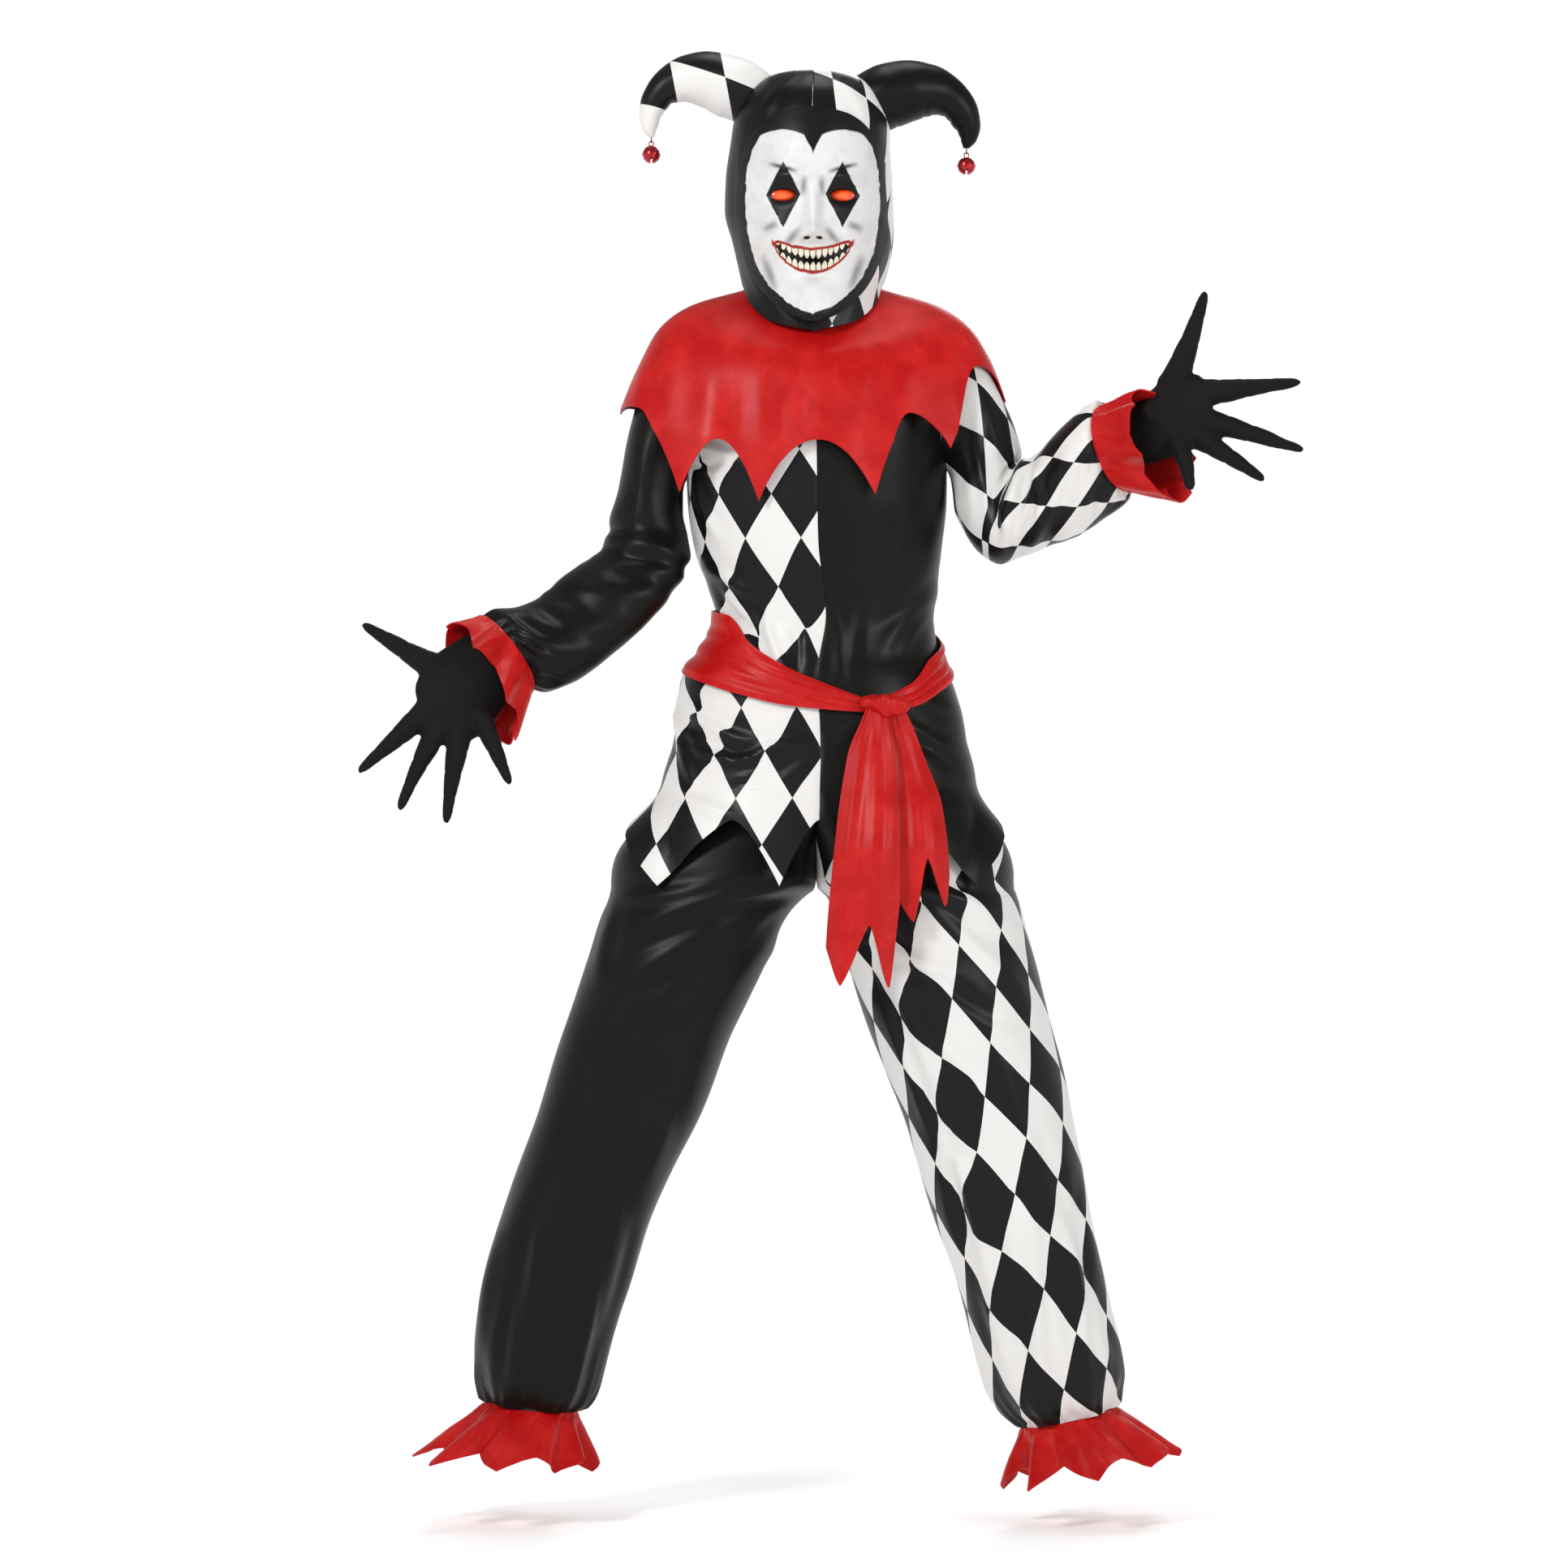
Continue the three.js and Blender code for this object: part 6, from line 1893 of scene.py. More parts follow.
@dataclass
class Ruffle:
    """A gathered ruffle with waves that grow and points cut into its free edge."""

    name: str
    seam: Ring
    free: Ring
    waves: int
    wave: float
    tips: int
    tip: float
    folds: int
    seed: int
    leatherette: float = 1.8
    rows: int = 30
    columns: int = 288

    def build(self, finishes: Finishes, rests_on: str) -> None:
        """Makes the ruffle.

        Args:
            finishes: Materials by slot.
            rests_on: The piece that it is sewn to.
        """
        place, turn = lattice(np.linspace(0, 1, self.rows), even_turns(self.columns))
        top, bottom = self.seam.on(turn), self.free.on(turn)
        run, out = unit(bottom - top), unit(bottom - self.free.centre)
        saw = np.abs(2 * ((self.tips * turn / math.tau) % 1) - 1)
        round_ = 0.12 + 0.88 * saw**1.15
        wander = 0.35 * np.sin(2 * turn + self.seed) + 0.25 * np.sin(5 * turn + 2 * self.seed)
        uneven = 1 + 0.3 * np.sin(3 * turn + self.seed)
        grid = mix(top, bottom, place[..., None])
        grid = grid + out * (self.wave * place * np.sin(self.waves * turn + wander) * uneven)[..., None]
        grid = grid + run * (self.tip * place**3 * round_)[..., None]
        rise = np.linalg.norm(grid - top, axis=-1)
        height = gathers(turn / math.tau, rise, self.folds, 60, 3.2, self.seed) * smooth(place, 0, 0.1)
        height += 1.2 * place * swell(grid[..., 0], grid[..., 1], grid[..., 2], 45, self.seed + 1)
        grid = moved(grid, np.clip(height, -1, 3), True)
        cloth = length_map(grid, True)
        piece = Piece.sewn(self.name, "red_leatherette", grid, self.leatherette, True, cloth)
        piece.finish(finishes)
        piece.sheet(grid, True, Held.GATHERED, [rests_on])


@dataclass
class Ruffles:
    """The four ruffles at the ankles and wrists."""

    trousers: Trousers
    sleeves: Sleeves
    gap: float = 0.4
    wrist_gap: float = 0.5

    def build(self, finishes: Finishes) -> None:
        """Makes all four.

        Args:
            finishes: Materials by slot.
        """
        free = {
            ("ankle", Side.LEFT): (30, [-376, -8, -1374], [93, 0, -4], [0, 86, 0]),
            ("ankle", Side.RIGHT): (32, [332, -8, -1383], [91, 0, 15], [0, 86, 0]),
            ("wrist", Side.LEFT): (24, [-396, -122, -430], [-34, 0, 65], [22, -50, 0]),
            ("wrist", Side.RIGHT): (24, [402, -186, -156], [-16, 0, 61], [-34, -46, 0]),
        }
        for seed, ((joint, side), (tip, *ring)) in enumerate(free.items()):
            edge = Ring(*(np.array(part, dtype=float) for part in ring))
            if joint == "ankle":
                level, middle, half, front, depth, slope = self.trousers.legs[side].rows[-1]
                seam = Ring(
                    np.array([middle, front, level - self.gap]),
                    np.array([half - 1, 0, slope]),
                    np.array([0, depth - 1, 0]),
                )
                size = {"waves": 10, "wave": 11, "tips": 8, "folds": 30}
            else:
                seam = self.wrist_seam(side, edge.centre)
                size = {"waves": 8, "wave": 7, "tips": 7, "folds": 24}
            name = f"{joint}_ruffle_{side.word}"
            garment = f"leg_{side.word}" if joint == "ankle" else f"sleeve_{side.word}"
            Ruffle(name, seam, edge, tip=tip, seed=seed + 71, **size).build(finishes, garment)

    def wrist_seam(self, side: Side, towards: Array) -> Ring:
        """The ring that ends a sleeve, moved on towards the ruffle's free edge.

        Args:
            side: Which sleeve.
            towards: Middle of the ruffle's free edge.

        Returns:
            The ring.
        """
        table = self.sleeves.sections[side]
        row = table.at(table.ends()[1])
        centre = np.array([(row.outerX + row.innerX) / 2, row.y, (row.outerZ + row.innerZ) / 2])
        across = np.array([(row.outerX - row.innerX) / 2, 0, (row.outerZ - row.innerZ) / 2])
        deep = np.array([math.sin(row.turn * DEGREE), -math.cos(row.turn * DEGREE), 0]) * float(row.depth)
        across = across + unit(across) * self.sleeves.rib_depth
        deep = deep + unit(deep) * self.sleeves.rib_depth
        return Ring(centre + unit(towards - centre) * self.wrist_gap, across, deep)


@dataclass
class Sash:
    """The sash: a folded band round the waist, a knot at its lower right and two hanging tails."""

    tunic: Tunic
    leatherette: float = 1.8
    clear: float = 5
    pleat: float = 2.2
    pleats: int = 2
    rows: int = 34
    columns: int = 230
    knot_x: float = 83
    knot_z: float = -465
    knot_half: float = 30
    knot_depth: float = 12
    knot_height: float = 13
    knot_stands: float = 18.6

    def __post_init__(self) -> None:
        """Fills in the band's edges and the tails."""
        self.band_folds = [
            (0.2, 0.07, 2.6), (0.38, 0.05, -2), (0.52, 0.06, 2.4), (0.68, 0.05, -1.8), (0.83, 0.06, 2.2),
        ]
        self.band = Table("angle upper lower", [
            [-25, -457, -474], [-10, -444, -472], [20, -417, -465], [42, -392, -452], [65, -354, -434],
            [90, -348, -418], [135, -342, -402], [180, -342, -400], [225, -352, -406], [270, -387, -424],
            [294, -407, -446], [311, -440, -467], [324, -456, -474],
        ])
        self.long_edges = Table("z left right", [
            [-471, 60, 84], [-480, 56, 86], [-526, 38, 95], [-661, 20, 100], [-759, 12, 100],
            [-820, 10, 100],
        ])
        self.long_ends = Table("across z", [[0, -758], [0.2, -804], [0.58, -730], [0.86, -808], [1, -706]])
        self.short_edges = Table("z left right", [
            [-470, 84, 106], [-480, 86, 112], [-530, 90, 132], [-585, 92, 152], [-650, 92, 160],
            [-740, 94, 164],
        ])
        self.short_ends = Table("across z", [[0, -690], [0.34, -728], [0.62, -650], [0.92, -710], [1, -672]])

    def band_grid(self) -> Array:
        """Outer places of the band, with folds that run along it and draw together at the knot.

        Returns:
            The places by row and column.
        """
        first, last = self.band.ends()
        share, angle = lattice(np.linspace(0, 1, self.rows), np.linspace(first, last, self.columns))
        row = self.band.at(angle)
        place = self.tunic.point(angle, mix(row.upper, row.lower, share))
        direction = unit(place * np.array([1, 1, 0]))
        drawn = np.minimum(smooth(angle, first, first + 60), 1 - smooth(angle, last - 60, last))
        plain = self.pleat * np.sin(self.pleats * math.tau * share) ** 2
        wander = share + 0.05 * np.sin(angle * DEGREE * 3 + 1) + 0.03 * np.sin(angle * DEGREE * 7)
        lines = 0.0
        for centre, width, height in self.band_folds:
            faint = 0.55 + 0.45 * np.sin(angle * DEGREE * (2 + centre * 3) + centre * 9)
            lines = lines + height * faint * np.exp(-(((wander - centre) / width) ** 2))
        near = 1 - 0.35 * drawn
        under = self.clear - 3.2 * smooth(angle, last - 16, last - 4)
        return place + direction * (self.leatherette + under + plain * 0.6 + lines * near)[..., None]

    def knot_grid(self) -> Array:
        """Places round the knot, which lies along the band's end with two soft rolls.

        Returns:
            The places by row and column.
        """
        front = float(self.tunic.front_at(np.array(self.knot_x), np.array(self.knot_z)))
        along, turn = lattice(np.linspace(-1, 1, 44), even_turns(56))
        fat = np.sqrt(np.maximum(0.03, 1 - np.abs(along) ** 2.2)) * (1 + 0.12 * np.cos(6 * along))
        rolls = 1 + 0.1 * np.sin(3 * turn + 2.2 * along) - 0.12 * np.exp(-(((along + 0.25) / 0.1) ** 2))
        rolls = rolls + 0.06 * np.sin(3 * turn - 9 * along) + 0.07 * np.exp(-(((along - 0.5) / 0.16) ** 2))
        return points(
            self.knot_x + self.knot_half * along,
            front - self.knot_stands + self.knot_depth * fat * rolls * np.cos(turn),
            self.knot_z - 3 * along + self.knot_height * fat * rolls * np.sin(turn),
        )

    def tail_grid(
        self, edges: Table, ends: Table, hangs: float, stands: float, folds: float, seed: int
    ) -> Array:
        """Outer places of a tail that hangs from the knot.

        Args:
            edges: Its sides by height.
            ends: Its lower end by the place across.
            hangs: How far its top stands off the tunic.
            stands: How far it stands off lower down.
            folds: How many folds run down it.
            seed: Which unevenness.

        Returns:
            The places.
        """
        top = edges.ends()[0]
        share, across = lattice(np.linspace(0, 1, 84), np.linspace(0, 1, 46))
        zigzag = np.interp(across, ends.rows[:, 0], ends.rows[:, 1])
        z = mix(top, mix(ends.at(across).z, zigzag, 0.55), share)
        edge = edges.at(z)
        opened = smooth(top - z, 0, 160)
        wander = across + 0.03 * np.sin(z / 60 + seed)
        fold = (1.5 + 3.6 * opened) * np.cos(folds * math.tau * wander + seed)
        fold = fold + 0.9 * opened * np.sin(folds * 1.7 * math.tau * wander + 2 * seed) ** 3
        gathered = 1 - smooth(top - z, 12, 62)
        fine = 0.7 * gathered * np.sin((folds * 3.6) * math.tau * wander + seed)
        x = mix(edge.left, edge.right, across)
        behind = self.tunic.front_at(x, np.maximum(z, -640)) - 8 * opened
        settled = smooth(top - z, 0, 36)
        return points(x, behind - mix(hangs, stands, settled) - fold - fine, z)

    def build(self, finishes: Finishes) -> None:
        """Makes the band, the knot and the tails.

        Args:
            finishes: Materials by slot.
        """
        red, grid = "red_leatherette", self.band_grid()
        band = Piece.sewn("sash_band", red, grid, self.leatherette, False, length_map(grid, False))
        band.finish(finishes)
        band.sheet(grid, False, Held.STRETCHED, ["tunic_front_left", "tunic_front_right"])
        knot = Piece(filled("sash_knot_cloth", self.knot_grid()), red, "sash_knot")
        knot.finish(finishes)
        tails = {
            "sash_tail_long": self.tail_grid(self.long_edges, self.long_ends, 17, 18, 1.25, 1),
            "sash_tail_short": self.tail_grid(self.short_edges, self.short_ends, 14, 6, 1.05, 2),
        }
        for name, tail in tails.items():
            cloth = length_map(tail, False)
            hung = Piece.sewn(name, red, tail, self.leatherette, False, cloth, (0, -1, 0))
            hung.finish(finishes)
            hung.sheet(tail, False, Held.HUNG, ["sash_knot"], above=0.6)


@dataclass
class Hood:
    """The hood: four panels with a face opening."""

    satin: float = 1.2
    columns: int = 60
    top_rows: int = 62
    edge_rows: int = 14
    trim: float = 0.25
    opening: tuple = (-4, 118, 70, 96, 98)
    print_at: tuple = (24, 299)
    print_lean: float = 38

    def __post_init__(self) -> None:
        """Fills in the sections and the creases."""
        self.sections = Table("z middle half centre depth", [
            [318, -3, 1.5, 8, 1.5], [316.5, -3, 27, 8, 32], [311, -3, 52, 8, 60], [300, -3, 71, 8, 80],
            [283, -4, 86, 8, 96], [258, -5, 96, 8, 106], [225, -7, 99, 8, 111], [185, -8, 103, 8, 112],
            [145, -8, 104, 7, 109], [105, -4, 99, 5, 103], [72, -3, 92, 3, 95], [44, -4, 86, -4, 86],
            [15, -4, 86, -12, 80], [-20, -4, 87, -16, 76],
        ])
        self.edge = Table("angle z", [[0, -10], [35, 2], [62, 25], [92, 54], [135, 49.5], [180, 44]])
        self.front = Table("x0 z0 x1 z1 width height bend", [
            [-92, 210, -84, 80, 6, 1.6, 4], [-80, 200, -78, 100, 5, -1.4, -3],
            [-86, 90, -50, 20, 7, 2, 5], [-70, 70, -30, 10, 6, -1.8, -4], [84, 200, 86, 90, 6, 1.6, -4],
            [80, 96, 50, 24, 7, 2, -5], [66, 74, 28, 12, 6, -1.8, 4], [-30, 300, -66, 250, 7, 1.6, 4],
            [30, 296, 62, 244, 7, 1.6, -4],
        ])
        self.back = Table("x0 z0 x1 z1 width height bend", [
            [-70, 240, -60, 100, 8, 1.8, 5], [-30, 210, -40, 80, 8, -1.6, -4],
            [40, 230, 46, 90, 8, 1.8, -5], [74, 220, 60, 100, 7, -1.6, 4], [-60, 90, -20, 56, 7, 2, 4],
            [60, 96, 24, 56, 7, 2, -4],
        ])

    def point(self, angle: Array, z: Array) -> Array:
        """Places of the hood: angle 0 is the centre front and 90 degrees the left side.

        Args:
            angle: Angles in degrees.
            z: Heights.

        Returns:
            The places.
        """
        row = self.sections.at(z)
        turn = angle * DEGREE
        return points(row.middle - row.half * np.sin(turn), row.centre - row.depth * np.cos(turn), z)

    def grid(self, angles: Array) -> Array:
        """Outer places over a run of angles, from the crown to the lower edge.

        Args:
            angles: Angle of each column in degrees.

        Returns:
            The places by row and column.
        """
        levels = 90 + 228 * np.cos(np.linspace(0, math.pi / 2, self.top_rows))
        z, angle = lattice(levels, angles)
        share, lower = lattice(np.linspace(0, 1, self.edge_rows + 1)[1:], angles)
        edge = self.edge.at(np.abs((lower + 540) % 360 - 180)).z
        return np.concatenate([self.point(angle, z), self.point(lower, mix(90, edge, share))])

    def core(self, distance: float) -> Object:
        """The hood filled and moved out by a distance."""
        return filled("hood_core", moved(self.grid(np.arange(0, 360, 6.0)), distance, True))

    def face_cutter(self) -> Object:
        """An oval rod for cutting the face opening.

        Returns:
            The rod.
        """
        x, z, half, upper, lower = self.opening
        turn = even_turns(72)
        high = np.where(np.sin(turn) > 0, upper, lower)
        ring = points(x + half * np.cos(turn), 0.0 * turn, z + high * np.sin(turn))
        return filled("face_opening", np.stack([ring + [0, -200, 0], ring]))

    def build(self, finishes: Finishes) -> None:
        """Makes the four panels.

        Args:
            finishes: Materials by slot.
        """
        panels = [
            ("hood_front_left", 0, "black_satin"),
            ("hood_back_left", 90, "harlequin_satin"),
            ("hood_back_right", 180, "black_satin"),
            ("hood_front_right", 270, "harlequin_satin"),
        ]
        opening = self.face_cutter()
        for name, start, slot in panels:
            step = 90 / self.columns
            wider = self.grid(start + step * np.arange(-1, self.columns + 2))
            plain = wider[:, 1:-1]
            x, z = plain[..., 0], plain[..., 2]
            arc = run_across(plain, False)
            seams = np.minimum(arc, arc[:, [-1]] - arc)
            height = creases(self.front if "front" in name else self.back, x, z)
            height += 0.5 * swell(x, plain[..., 1], z, 80, 81)
            height = np.clip(height, -1, 3) * smooth(arc[:, [-1]], 20, 90)
            sunk = 0.7 * np.exp(-((seams / 1.6) ** 2)) + 0.4 * np.exp(-(((seams - 4.5) / 2) ** 2))
            height -= sunk * smooth(318 - z, 3, 20)
            panel = plain + normals_of(wider, False)[:, 1:-1] * height[..., None]
            for column, other in ((0, 1), (-1, -2)):
                panel[:, column] += unit(panel[:, other] - panel[:, column]) * self.trim
            cloth = self.print_map(name, arc, z)
            made = Piece.sewn(name, slot, panel, self.satin, False, cloth)
            if "front" in name:
                cut(made.cloth, opening, keep=True)
            made.finish(finishes)
            made.sheet(panel, False, Held.STRETCHED, ["collar"])
        bpy.data.objects.remove(opening)

    def print_map(self, name: str, arc: Array, z: Array) -> Array:
        """Cloth coordinates of a panel; the front print leans over on the crown.

        Args:
            name: The panel.
            arc: Length from its left edge as seen from the front.
            z: Height.

        Returns:
            Two coordinates for each place.
        """
        if name == "hood_back_left":
            return Rhombs(wide=58, high=96, across=12, up=168).map(arc, z)
        if name != "hood_front_right":
            return plain_map(arc, z)
        right = arc[:, [-1]] - arc
        lean = mix(0, self.print_lean, smooth(z, 120, 250)) * DEGREE
        u, v = right - self.print_at[0], z - self.print_at[1]
        across = u * np.cos(lean) + v * np.sin(lean)
        up = v * np.cos(lean) - u * np.sin(lean)
        return Rhombs(wide=56, high=100, across=0, up=0).map(across, up)


@dataclass
class Horns:
    """The two stuffed horns of the hood."""

    hood: Hood
    rows: int = 96
    columns: int = 48
    centre: float = 6
    share: float = 1.02

    def __post_init__(self) -> None:
        """Fills in the sections."""
        left = Table("place outerX outerZ innerX innerZ", [
            [0, -36, 296, -80, 238], [1, -58, 318, -102, 256], [2, -94, 337, -120, 263],
            [3, -130, 343, -141, 274], [4, -164, 337, -160, 279], [5, -190, 321, -174, 278],
            [6, -207, 301, -184, 270], [7, -216, 280, -190, 261], [8, -217, 262, -194, 251],
            [9, -213, 246, -197, 243], [10, -206, 237, -199, 237],
        ])
        right = Table("place outerX outerZ innerX innerZ", [
            [0, 28, 290, 72, 228], [1, 50, 312, 93, 246], [2, 80, 327, 106, 250], [3, 115, 332, 122, 256],
            [4, 148, 326, 138, 262], [5, 173, 311, 151, 264], [6, 190, 292, 162, 258],
            [7, 200, 271, 171, 248], [8, 204, 250, 177, 238], [9, 199, 232, 180, 229],
            [10, 190, 223, 182, 223],
        ])
        self.sections = {Side.LEFT: left, Side.RIGHT: right}

    def grid(self, side: Side) -> Array:
        """Outer places of a horn, with soft puckers along its seams and drawn-in gathers at the bend.

        Args:
            side: Which horn.

        Returns:
            The places by row and column.
        """
        place, turn = lattice(np.linspace(0, 10, self.rows), even_turns(self.columns))
        row = self.sections[side].at(place)
        half = np.hypot(row.outerX - row.innerX, row.outerZ - row.innerZ) / 2
        plain = points(
            (row.outerX + row.innerX) / 2 + (row.outerX - row.innerX) / 2 * np.cos(turn),
            self.centre + half * self.share * np.sin(turn),
            (row.outerZ + row.innerZ) / 2 + (row.outerZ - row.innerZ) / 2 * np.cos(turn),
        )
        chance = random.Random(91 + side.value)
        inner = np.abs(turn % math.tau - math.pi)
        height = np.zeros_like(turn)
        for _ in range(15):
            at, width = chance.uniform(1.2, 9), chance.uniform(0.1, 0.26)
            reach, depth = chance.uniform(0.4, 0.9), chance.uniform(0.3, 0.9)
            height -= depth * np.exp(-(((place - at) / width) ** 2) - (inner / reach) ** 2)
        height += 0.8 * swell(plain[..., 0], plain[..., 1], plain[..., 2], 50, 93 + side.value)
        height -= 0.8 * np.exp(-((np.sin(turn) * half / 1.5) ** 2))
        height *= np.clip(half / 20, 0, 1)
        return moved(plain, np.clip(height, -3, 1.5), True)

    def build(self, finishes: Finishes) -> None:
        """Makes both horns and seats them on the hood.

        Args:
            finishes: Materials by slot.
        """
        core = self.hood.core(0.4)
        for side, slot, finish in (
            (Side.LEFT, "harlequin_satin", "horn_print"),
            (Side.RIGHT, "black_satin", "black_satin"),
        ):
            node, grid = f"horn_{side.word}", self.grid(side)
            horn = Piece(filled(node + "_cloth", grid, length_map(grid, True)), slot, node)
            cut(horn.cloth, core, keep=True)
            horn.finish(finishes, finish)
        bpy.data.objects.remove(core)


@dataclass
class Mask:
    """A moulded face shell of a plain design: eye holes with tinted covers, nose, lips and chin."""

    hood: Hood
    wall: float = 2.4
    x: float = -4
    rest: float = 3
    rows: int = 132
    columns: int = 110
    eye_x: float = 36
    eye_z: float = 154
    eye_half: float = 15
    eye_height: float = 7.5
    lens_behind: float = 5
    dome: float = 2.8

    def __post_init__(self) -> None:
        """Fills in the outline and the features."""
        self.outline = Table("z half edge middle", [
            [262, 8, 0, 0], [254, 44, 0, 1], [240, 66, 0, 3], [215, 84, 0, 5], [180, 92, 0, 6],
            [140, 93, 0, 6], [100, 88, 0, 8], [70, 79, 1, 11], [45, 66, 3, 15], [24, 48, 7, 19],
            [8, 28, 12, 20], [0, 8, 16, 18],
        ])
        self.features = [
            (0, 132, 9, 34, 12), (0, 108, 13, 10, 17), (-14, 104, 7, 7, 7), (14, 104, 7, 7, 7),
            (-34, 176, 22, 8, 5), (34, 176, 22, 8, 5), (-36, 154, 18, 9, -8), (36, 154, 18, 9, -8),
            (-46, 112, 20, 20, 6), (46, 112, 20, 20, 6), (0, 81, 26, 5, 5), (0, 66, 24, 5, 5),
            (0, 38, 16, 12, 7),
        ]
        self.fine = [
            (0, 73.5, 21, 2.2, -3.4), (0, 89, 3.5, 5, -2), (-24, 92, 4, 14, -1.8), (24, 92, 4, 14, -1.8),
            (-7, 101, 2.6, 2, -2.6), (7, 101, 2.6, 2, -2.6), (0, 54, 14, 3, -2.5), (0, 205, 34, 22, 2),
        ]

    def point(self, across: Array, z: Array) -> Array:
        """Outer places of the face.

        Args:
            across: Places across, as a share of the half width.
            z: Heights.

        Returns:
            The places.
        """
        row, hood = self.outline.at(z), self.hood.sections.at(z)
        x = self.x + row.half * across
        apart = np.minimum(0.97, np.abs(x - hood.middle) / hood.half)
        on_hood = hood.centre - hood.depth * np.sqrt(1 - apart**2)
        crown = mix(row.edge, row.middle, 1 - np.abs(across) ** 2.4)
        relief = np.zeros_like(x)
        for mark_x, mark_z, wide, high, depth in self.features + self.fine:
            relief += depth * np.exp(-(((x - self.x - mark_x) / wide) ** 2) - ((z - mark_z) / high) ** 2)
        return points(x, on_hood - self.rest - crown - relief, z)

    def build(self, finishes: Finishes) -> None:
        """Makes the face shell with its eye holes.

        Args:
            finishes: Materials by slot.
        """
        share = np.linspace(0, 1, self.rows)
        levels = 262 * (1 - share) + 4 * np.sin(math.tau * share)
        z, across = lattice(np.clip(levels, 0, 262), np.linspace(-1, 1, self.columns))
        grid = self.point(across, z)
        heights = np.linspace(0, 262, 400)
        half = self.outline.at(heights).half
        rim = np.concatenate([np.stack([half, heights], axis=1), np.stack([-half, heights], axis=1)])
        flat = np.stack([grid[..., 0] - self.x, grid[..., 2]], axis=-1)
        far = np.sqrt(((flat[:, :, None] - rim) ** 2).sum(axis=-1)).min(axis=-1)
        face = shell("mask_shell", grid, self.wall, False, flat / 100, (0, -1, 0))
        far = np.stack([far / 100, far / 100], axis=-1)
        holder = shell("mask_edge", grid, self.wall, False, far, (0, -1, 0))
        edge = np.empty(len(holder.data.loops) * 2, dtype=np.float32)
        holder.data.uv_layers["cloth"].data.foreach_get("uv", edge)
        face.data.uv_layers.new(name="rim", do_init=False).data.foreach_set("uv", edge)
        bpy.data.objects.remove(holder)
        for side in Side:
            turn = even_turns(40)
            x = self.x + side.value * self.eye_x
            high = self.eye_z + self.eye_height * np.sin(turn)
            ring = points(x + self.eye_half * np.cos(turn), 0 * turn, high)
            cut(face, filled("eye", np.stack([ring + [0, -200, 0], ring])))
            self.lens(side, finishes)
        core = self.hood.core(0.4)
        cut(face, core)
        Piece(face, "mask_shell", "mask").finish(finishes, angle=40)

    def lens(self, side: Side, finishes: Finishes) -> None:
        """Makes one domed eye cover.

        Args:
            side: Which eye.
            finishes: Materials by slot.
        """
        x = self.x + side.value * self.eye_x
        share = np.array(side.value * self.eye_x / float(self.outline.at(self.eye_z).half))
        back = float(self.point(share, np.array(self.eye_z))[1]) + self.lens_behind
        node = f"mask_lens_{side.word}"
        cover = primitive(
            "uv_sphere",
            node + "_cover",
            segments=48,
            ring_count=24,
            radius=1,
            location=(x * MM, (back - self.dome) * MM, self.eye_z * MM),
            scale=((self.eye_half - 0.4) * MM, self.dome * MM, (self.eye_height - 0.4) * MM),
        )
        Piece(cover, "lens", node).finish(finishes)


